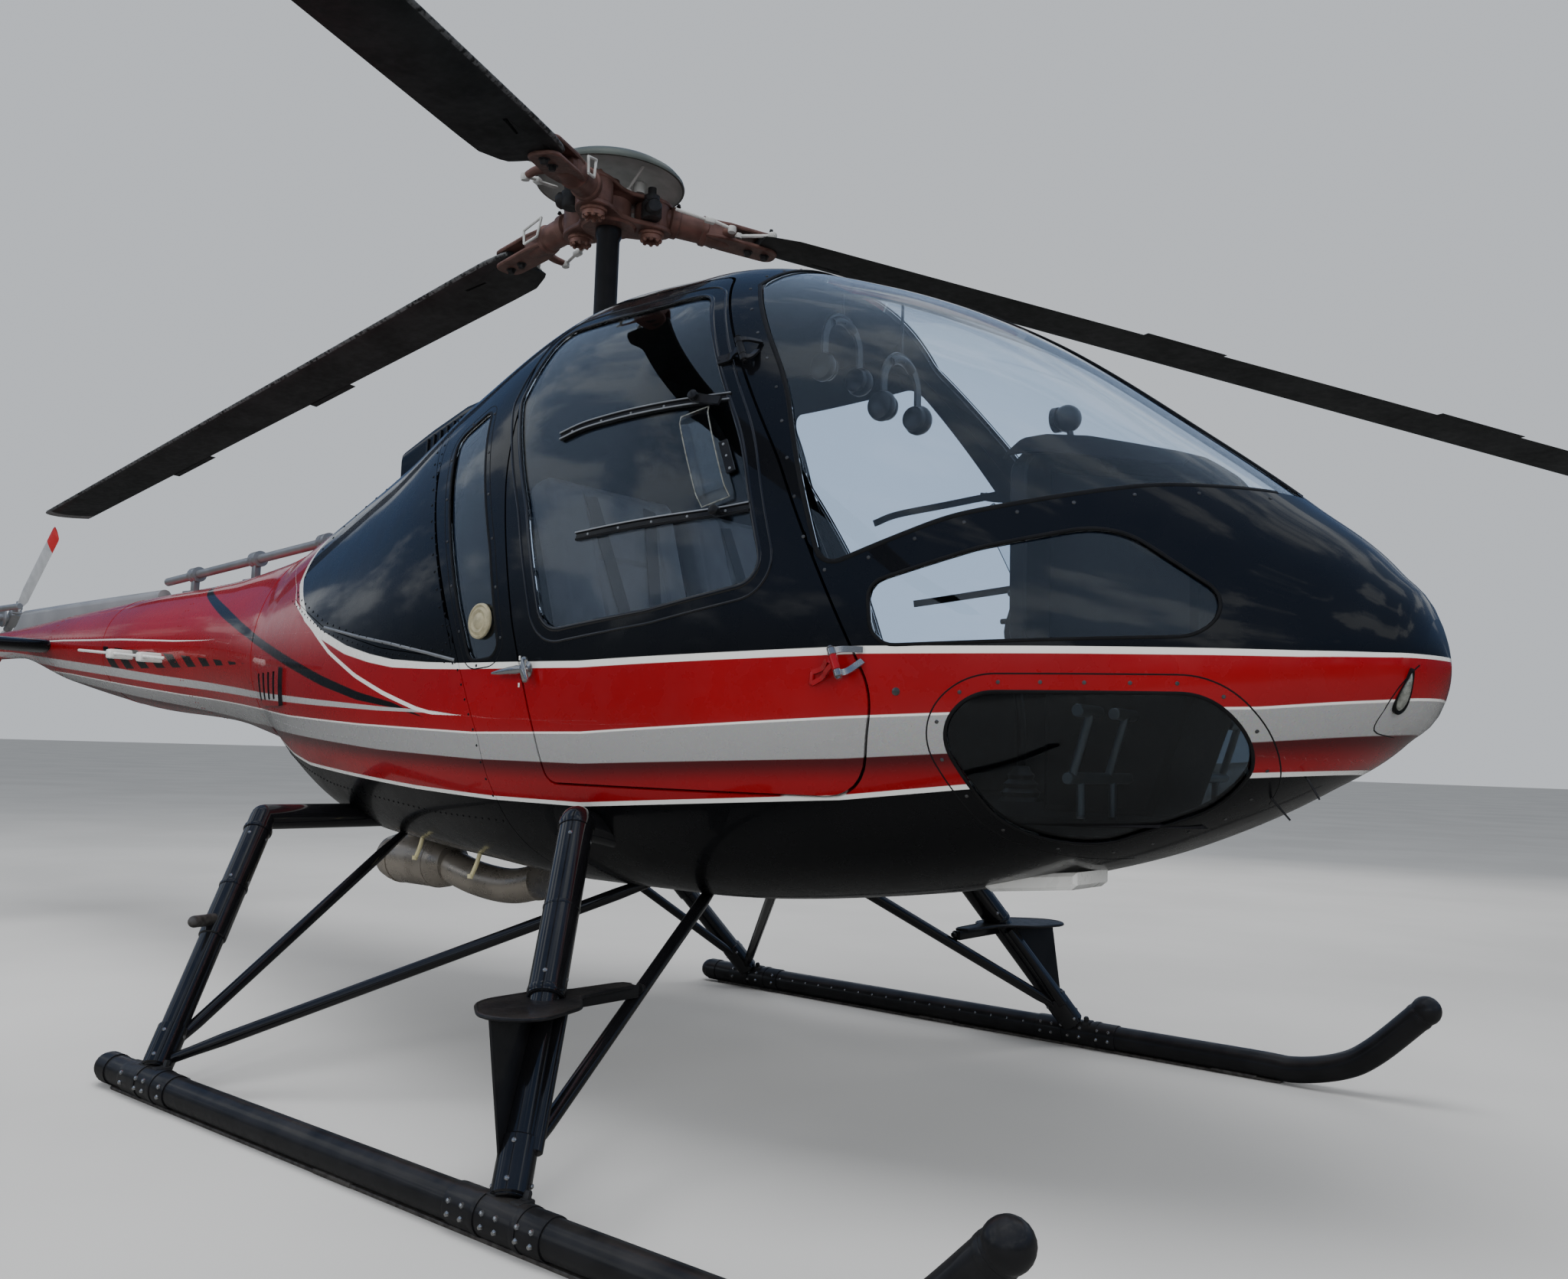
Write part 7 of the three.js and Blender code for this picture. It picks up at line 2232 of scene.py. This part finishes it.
def low_arch(half_width, height, sink=0.002):
    """The section of a flat bead: an arch over the skin with two corners under it."""
    a = np.linspace(0, math.pi, 7)
    return np.vstack([np.stack([np.cos(a) * half_width, np.sin(a) * height], -1), [(-half_width, -sink)],
                      [(half_width, -sink)]])


def rim_bead(outline, start, half_width, height, grow=0.0):
    """A bead on the port skin round a window's outline."""
    points, normals, closed = outline_on_skin(rounded(outline, 9), 1, 0.012, grow, 0.0, start)
    return sweep(points, low_arch(half_width, height), 1.0, normals, closed)


def windshield_edge(grow, pitch):
    """The windshield's edge on the port skin: from the centre strip over the roof by even turns, then down
    the post and along the sill by its outline."""
    rear = WINDSHIELD_REAR - grow
    turn = np.linspace(math.pi / 2 - 0.03, float(turn_at(rear, POST_TOP, 1)), int(0.6 / pitch) + 2)[:-1]
    x = np.full_like(turn, rear)
    p = grown(spaced(rounded(WINDSHIELD, 9), 0.008), grow)
    p = p[(p[:, 1] < POST_TOP) & (p[:, 0] < SILL_END)]
    p = spaced(p, pitch, closed=False)
    p = p[p[:, 1] < curve(1, p[:, 0]) - 0.003]
    points, normals = on_skin(p[:, 0], p[:, 1], 1)
    return np.vstack([body(x, turn), points]), np.vstack([body_normal(x, turn), normals])


def strap(points, half_width, thickness, up):
    """A flat bar along points."""
    w, t = half_width, thickness / 2
    return sweep(smooth_path(points, 5), [(-w, -t), (w, -t), (w, t), (-w, t)], 1.0, up)


def hinge_tube(middle, length):
    """A knuckle on the hinge line, chamfered at both ends."""
    half = length / 2
    axis = HINGE_FOOT - HINGE_TOP
    return lathe([(0, -half), (0.0078, -half), (0.009, 0.0012 - half), (0.009, half - 0.0012), (0.0078, half),
                  (0, half)],
                 middle, axis, 20)


def build_trim():
    """Window seals and screws, the doors' hinges, handles, rails and deflectors, and the nose."""
    seals = [rim_bead(outline, start, half, 0.0016) for outline, start, half, *_ in RIMS]
    edge = windshield_edge(0.0, 0.014)
    seals.append(sweep(edge[0], low_arch(0.0055, 0.0018), 1.0, edge[1]))
    strip_x = np.linspace(1.035, 2.222, 60)
    strip = np.stack([strip_x, np.full(60, 0.0195), on_crown(strip_x, 0.0195)], -1)
    seals.append(sweep(strip, low_arch(0.004, 0.0018), 1.0, (0, 0, 1)))
    seals += [rim_bead(outline, start, 0.0016, 0.0006, groove)
              for outline, start, _, _, _, groove in RIMS if groove]
    screws = [domes(*windshield_edge(0.02, 0.1), SCREW_RADIUS)]
    for outline, start, _, place, pitch, _ in RIMS:
        if pitch:
            screws.append(domes(*outline_on_skin(rounded(outline, 9), 1, pitch, place, 0.0, start)[:2],
                                SCREW_RADIUS))
    screws.append(domes(*on_skin([1.616], [1.064], 1), 0.0085, 0.003, 16))
    brass = [lathe([(0, -0.004), (0.044, -0.004), (0.047, 0.0), (0.046, 0.005), (0.041, 0.007),
                    (0.038, 0.004), (0.03, 0.0085), (0.022, 0.006), (0.014, 0.011), (0, 0.012)],
                   port(0.411, 1.244), on_skin(0.411, 1.244, 1)[1], 36)]
    for side in (-1, 1):
        sided("window_seals", side, merge(*seals), "seal")
        sided("window_screws", side, merge(*screws), "screw_head")
        sided("air_vent", side, merge(*brass), "vent_brass")
        build_door_trim(side)
    build_nose()


def build_door_trim(side):
    """One door's seal, rim, rails, deflector, handle and hinges, made for port and mirrored for starboard."""
    parts = merge(rim_bead(DOOR_WINDOW, DOOR_START, 0.006, 0.0022),
                  rim_bead(DOOR_WINDOW, DOOR_START, 0.0035, 0.0028, 0.03))
    sided("door_seal", side, parts, "gloss_black", on_door=True)
    points, normals, closed = outline_on_skin(rounded(DOOR, 9), 1, 0.02, 0.0, -0.0305, 0.16)
    jamb = sweep(points, [(-0.02, -0.0015), (0.02, -0.0015), (0.02, 0.0015), (-0.02, 0.0015)], 1.0, normals,
                 closed)
    sided("door_jamb", side, outward(jamb), "seal")
    silver, dark = [], []
    # Each rail is a dark channel with bright ridges: both of the upper one's, and the lower one's top.
    for line, ridges in ((UPPER_RAIL, (-1, 1)), (LOWER_RAIL, (1,))):
        p = spaced(smooth_path(line, 8), 0.02, closed=False)
        points, normals = on_skin(p[:, 0], p[:, 1], 1, -0.004)
        dark.append(sweep(points, RAIL_SECTION, 1.0, normals))
        silver.append(domes(points[2::5] + normals[2::5] * 0.004, normals[2::5], RAIL_RIVET))
        tangent = np.gradient(points, axis=0)
        up = np.cross(tangent, normals)
        up *= np.sign(up[:, 2:]) / np.linalg.norm(up, axis=1)[:, None]
        for ridge in ridges:
            silver.append(sweep(points + up * ridge * 0.0088 + normals * 0.0068, RAIL_RIDGE, 1.0, normals))
    for x, z in ((1.05, 1.75), (1.175, 1.462)):
        way = on_skin(x, z, 1)[1]
        dark.append(lathe([(0, 0), (0.007, 0), (0.007, 0.014), (0.012, 0.016), (0.0125, 0.028), (0.01, 0.03),
                           (0, 0.031)],
                          port(x, z), way, 18))
    dark.append(strap([port(1.04, 1.755, 0.012), port(1.08, 1.742, 0.014), port(1.12, 1.735, 0.012)], 0.011,
                      0.008, on_skin(1.08, 1.742, 1)[1]))
    dark.append(strap([port(1.152, 1.635, 0.003), port(1.17, 1.6, 0.004), port(1.19, 1.558, 0.003)], 0.011,
                      0.006, on_skin(1.17, 1.6, 1)[1]))
    silver.append(domes(*on_skin([1.156, 1.171, 1.186], [1.626, 1.597, 1.566], 1, 0.006), RAIL_RIVET))
    sided("window_rails", side, merge(*silver), "alloy", on_door=True)
    sided("rail_knobs", side, merge(*dark), "satin_black", on_door=True)
    u, v = np.meshgrid(np.linspace(0, 1, 14), np.linspace(0, 1, 20), indexing="ij")
    corners = np.array(DEFLECTOR)
    at = (corners[0] * ((1 - u) * (1 - v))[..., None] + corners[1] * (u * (1 - v))[..., None]
          + corners[2] * (u * v)[..., None] + corners[3] * ((1 - u) * v)[..., None])
    raised = 0.006 + 0.014 * np.minimum(1, np.minimum(v, 1 - v) * 9)
    points, normals = on_skin(at[..., 0], at[..., 1], 1)
    grid = points + normals * raised[..., None]
    sided("deflector", side, thick(grid, 0.003), "clear_sheet", on_door=True)
    rim = np.vstack([grid[:-1, 0], grid[-1, :-1], grid[:0:-1, -1], grid[0, :0:-1]])
    sided("deflector_edge", side, sweep(rim, circle(0.0018, 6), 1.0, (0.3, 0.9, 0.3), closed=True),
          "lamp_glass", on_door=True)
    lever = [(0.5, 1.107, 0.02), (0.53, 1.109, 0.022), (0.57, 1.112, 0.024), (0.6, 1.114, 0.024),
             (0.63, 1.115, 0.024)]
    handle = [
        lathe([(0, -0.002), (0.021, -0.002), (0.022, 0.003), (0.012, 0.006), (0.01, 0.024), (0, 0.026)],
              port(0.612, 1.115), on_skin(0.612, 1.115, 1)[1], 24),
        sweep([port(*row) for row in lever], circle(1, 16) * (0.7, 0.45),
              np.array([0.004, 0.009, 0.013, 0.016, 0.012]), (0, 1, 0)),
        capsule([port(0.626, 1.138, 0.022), port(0.626, 1.115, 0.026), port(0.634, 1.09, 0.022)], 0.0085, 14),
    ]
    sided("door_handle", side, merge(*handle), "steel", on_door=True)
    marks = [block(port(x, z) - (0.003, 0.001, 0.0055), port(x, z) + (0.003, 0.0012, 0.0055), 0.0008)
             for x, z in ((0.582, 1.145), (0.584, 1.078))]
    sided("handle_marks", side, merge(*marks), "white_paint", on_door=True)
    axis = unit(HINGE_FOOT - HINGE_TOP)
    offset = KNUCKLE / 2 + LUG / 2 + 0.0003
    leaves = [hinge_tube(at, KNUCKLE) for at in (HINGE_TOP, HINGE_FOOT)]
    leaves += [strap([HINGE_TOP, HINGE_TOP + (-0.02, -0.004, -0.002), port(1.1, 1.857, 0.006),
                      port(1.07, 1.852, 0.003)],
                     0.0125, 0.006, on_skin(1.1, 1.857, 1)[1]),
               domes(*on_skin([1.092, 1.074], [1.856, 1.852], 1, 0.006), 0.004)]
    sided("upper_hinge", side, merge(leaves[0], *leaves[2:]), "satin_black", on_door=True)
    red = [strap([HINGE_FOOT, HINGE_FOOT + (-0.022, -0.006, -0.006 + lift), port(1.46, 1.1 + lift, 0.005),
                  port(1.436, 1.089 + lift * 1.2, 0.003)], 0.005, 0.008, on_skin(1.46, 1.1, 1)[1])
           for lift in (-0.009, 0.011)]
    red.append(capsule([port(1.434, 1.08, 0.003), port(1.436, 1.1, 0.003)], 0.005, 10))
    sided("lower_hinge", side, merge(leaves[1], *red), "red_paint", on_door=True)
    for name, middle, reach, x, z, finish in (
        ("upper_lugs", HINGE_TOP, (0.014, -0.012, 0.004), 1.16, 1.885, "satin_black"),
        ("lower_lugs", HINGE_FOOT, (0.016, -0.014, 0.006), 1.545, 1.138, "steel"),
    ):
        lugs = []
        for way in (-1, 1):
            at = middle + axis * offset * way
            lugs += [hinge_tube(at, LUG), bolt(at + axis * way * 0.009, axis * way, 0.006, 0.004),
                     strap([at, at + reach, port(x, z - way * 0.012, 0.002)], 0.0065, 0.006,
                           on_skin(x, z, 1)[1])]
        sided(name, side, merge(*lugs), finish)


def build_nose():
    """The rounded tip of the nose, and on each side of it a lamp behind a round lens in its own small
    panel."""
    xs = NOSE_TIP_FROM + (NOSE_X - NOSE_TIP_FROM) * np.sin(np.linspace(0, math.pi / 2, 14))[:-1]
    x, turn = np.meshgrid(xs, round_turn(72), indexing="ij")
    points = body(x, turn)
    dome = np.sqrt(np.clip(1 - ((x - NOSE_DOME_FROM) / (NOSE_X - NOSE_DOME_FROM)) ** 2, 0, 1))
    share = np.where(x > NOSE_DOME_FROM, dome, 1)
    middle = curve(3, NOSE_X)
    points[..., 1] *= share
    points[..., 2] = middle + (points[..., 2] - middle) * share
    painted_rings("nose_tip", points, [(NOSE_TIP_FROM, 0, middle), (NOSE_X, 0, middle)])
    # The lens is a drop: its long axis follows the slanted line between the two ends of LENS, and it
    # narrows upward.
    low, high = (port(*end) for end in LENS)
    place, way = port(*np.mean(LENS, axis=0), -0.002), on_skin(*np.mean(LENS, axis=0), 1)[1]
    long = unit(high - low)
    wide = np.cross(way, long)
    way = np.cross(long, wide)
    frame_of_lens = np.stack([long * LENS_LONG, wide * LENS_WIDE, way], 1)
    bezel = lathe([(0.9, -0.012), (1.1, -0.012), (1.1, 0.002), (1.04, 0.0045), (0.98, 0.003), (0.9, 0.002)],
                  sides=40, closed=True)
    lens = lathe([(0, -0.008), (0.93, -0.008), (0.93, 0.001), (0.7, 0.006), (0.4, 0.0085), (0, 0.0095)],
                 sides=40)
    for points, _ in (bezel, lens):
        points[:, 1] *= 0.66 - 0.34 * points[:, 0]
    bezel, lens = (placed(part, frame_of_lens, place) for part in (bezel, lens))
    line = spaced(smooth_path(LAMP_PANEL, 6), 0.006, closed=False)
    points, normals = on_skin(line[:, 0], line[:, 1], 1)
    groove = sweep(points, low_arch(0.0014, 0.0006), 1.0, normals)
    for side in (-1, 1):
        sided("nose_lens", side, outward(lens), "lamp_glass")
        sided("nose_bezel", side, merge(bezel, groove), "seal")


class HelicopterLook(bpy.types.PropertyGroup):
    """Sizes and colours that the pieces read."""

    red: FloatVectorProperty(
        name="Red paint", description="Colour of the lower skin", subtype="COLOR", size=3, min=0, max=1,
        default=(0.21, 0.0022, 0.005),
    )
    black: FloatVectorProperty(
        name="Black paint", description="Colour of the upper skin", subtype="COLOR", size=3, min=0, max=1,
        default=(0.0025, 0.0026, 0.0032),
    )
    white: FloatVectorProperty(
        name="White lines", description="Colour of the pinstripes", subtype="COLOR", size=3, min=0, max=1,
        default=(0.58, 0.58, 0.56),
    )
    silver: FloatVectorProperty(
        name="Silver band", description="Colour of the band", subtype="COLOR", size=3, min=0, max=1,
        default=(0.3, 0.3, 0.3),
    )
    gloss: FloatProperty(name="Gloss", description="Strength of the clear coat", default=0.7, min=0, max=1)
    rivet: FloatProperty(
        name="Rivet radius", description="Radius of a rivet's head", default=0.0035, min=0.001, max=0.01,
        unit="LENGTH", subtype="DISTANCE",
    )
    pile: FloatProperty(
        name="Cushion pressure", description="How hard the seat cushions are filled", default=4.0, min=0,
        max=20,
    )


def run(operator, context, builder, *keys):
    """Makes the finishes once, runs a builder with those of the look's values, and stops with an error if
    it makes no object."""
    look = context.scene.helicopter_look
    make_materials(look)
    before = len(bpy.data.objects)
    builder(*(getattr(look, key) for key in keys))
    if len(bpy.data.objects) == before:
        raise RuntimeError(operator.bl_label + " made nothing")
    return {"FINISHED"}


class HELICOPTER_OT_stage(bpy.types.Operator):
    """Adds the floor, the lights and the camera"""

    bl_idname = "helicopter.stage"
    bl_label = "Stage"

    def execute(self, context):
        return run(self, context, build_stage)


class HELICOPTER_OT_cabin(bpy.types.Operator):
    """Adds the cabin's painted shell"""

    bl_idname = "helicopter.cabin"
    bl_label = "Cabin skin"

    def execute(self, context):
        return run(self, context, build_cabin)


class HELICOPTER_OT_doors(bpy.types.Operator):
    """Adds the two doors"""

    bl_idname = "helicopter.doors"
    bl_label = "Doors"

    def execute(self, context):
        return run(self, context, build_doors)


class HELICOPTER_OT_glazing(bpy.types.Operator):
    """Adds the windshields and windows"""

    bl_idname = "helicopter.glazing"
    bl_label = "Glazing"

    def execute(self, context):
        return run(self, context, build_glazing)


class HELICOPTER_OT_aft(bpy.types.Operator):
    """Adds the aft body with its panels, vents and scoop"""

    bl_idname = "helicopter.aft"
    bl_label = "Aft body"

    def execute(self, context):
        return run(self, context, build_aft, "rivet")


class HELICOPTER_OT_boom(bpy.types.Operator):
    """Adds the tail boom"""

    bl_idname = "helicopter.boom"
    bl_label = "Tail boom"

    def execute(self, context):
        return run(self, context, build_boom)


class HELICOPTER_OT_tail(bpy.types.Operator):
    """Adds the shaft, stabilisers, fins, guard, gearbox and tail rotor"""

    bl_idname = "helicopter.tail"
    bl_label = "Tail"

    def execute(self, context):
        return run(self, context, build_tail)


class HELICOPTER_OT_rotor(bpy.types.Operator):
    """Adds the mast, hub, cap, grips and blades"""

    bl_idname = "helicopter.rotor"
    bl_label = "Main rotor"

    def execute(self, context):
        return run(self, context, build_rotor)


class HELICOPTER_OT_gear(bpy.types.Operator):
    """Adds the skids, legs, steps and cross tubes"""

    bl_idname = "helicopter.gear"
    bl_label = "Landing gear"

    def execute(self, context):
        return run(self, context, build_gear, "rivet")


class HELICOPTER_OT_fittings(bpy.types.Operator):
    """Adds what stands in the cabin"""

    bl_idname = "helicopter.fittings"
    bl_label = "Cabin fittings"

    def execute(self, context):
        return run(self, context, build_fittings)


class HELICOPTER_OT_seats(bpy.types.Operator):
    """Adds the seat, its cushions and the harness"""

    bl_idname = "helicopter.seats"
    bl_label = "Seats"

    def execute(self, context):
        return run(self, context, build_seats, "pile")


class HELICOPTER_OT_trim(bpy.types.Operator):
    """Adds seals, screws, hinges, handles, rails and the nose"""

    bl_idname = "helicopter.trim"
    bl_label = "Trim"

    def execute(self, context):
        return run(self, context, build_trim)


class HELICOPTER_OT_belly(bpy.types.Operator):
    """Adds the silencer, drains, pod and antennas"""

    bl_idname = "helicopter.belly"
    bl_label = "Exhaust and antennas"

    def execute(self, context):
        return run(self, context, build_belly)


OPERATORS = (
    HELICOPTER_OT_stage, HELICOPTER_OT_cabin, HELICOPTER_OT_doors, HELICOPTER_OT_glazing, HELICOPTER_OT_aft,
    HELICOPTER_OT_boom, HELICOPTER_OT_tail, HELICOPTER_OT_rotor, HELICOPTER_OT_gear, HELICOPTER_OT_belly,
    HELICOPTER_OT_fittings, HELICOPTER_OT_seats, HELICOPTER_OT_trim,
)


class HELICOPTER_PT_pieces(bpy.types.Panel):
    """Lists the steps that build the helicopter"""

    bl_idname = "HELICOPTER_PT_pieces"
    bl_label = "Helicopter"
    bl_space_type = "VIEW_3D"
    bl_region_type = "UI"
    bl_category = "Helicopter"

    def draw(self, context):
        look = context.scene.helicopter_look
        for key in ("red", "black", "white", "silver", "gloss", "rivet", "pile"):
            self.layout.prop(look, key)
        for operator in OPERATORS:
            self.layout.operator(operator.bl_idname, text=operator.bl_label)


CLASSES = (HelicopterLook, *OPERATORS, HELICOPTER_PT_pieces)


def register():
    for cls in CLASSES:
        bpy.utils.register_class(cls)
    bpy.types.Scene.helicopter_look = PointerProperty(type=HelicopterLook)


def unregister():
    del bpy.types.Scene.helicopter_look
    for cls in reversed(CLASSES):
        bpy.utils.unregister_class(cls)


def main():
    register()
    for operator in OPERATORS:
        group, name = operator.bl_idname.split(".")
        getattr(getattr(bpy.ops, group), name)()


if __name__ == "__main__":
    main()
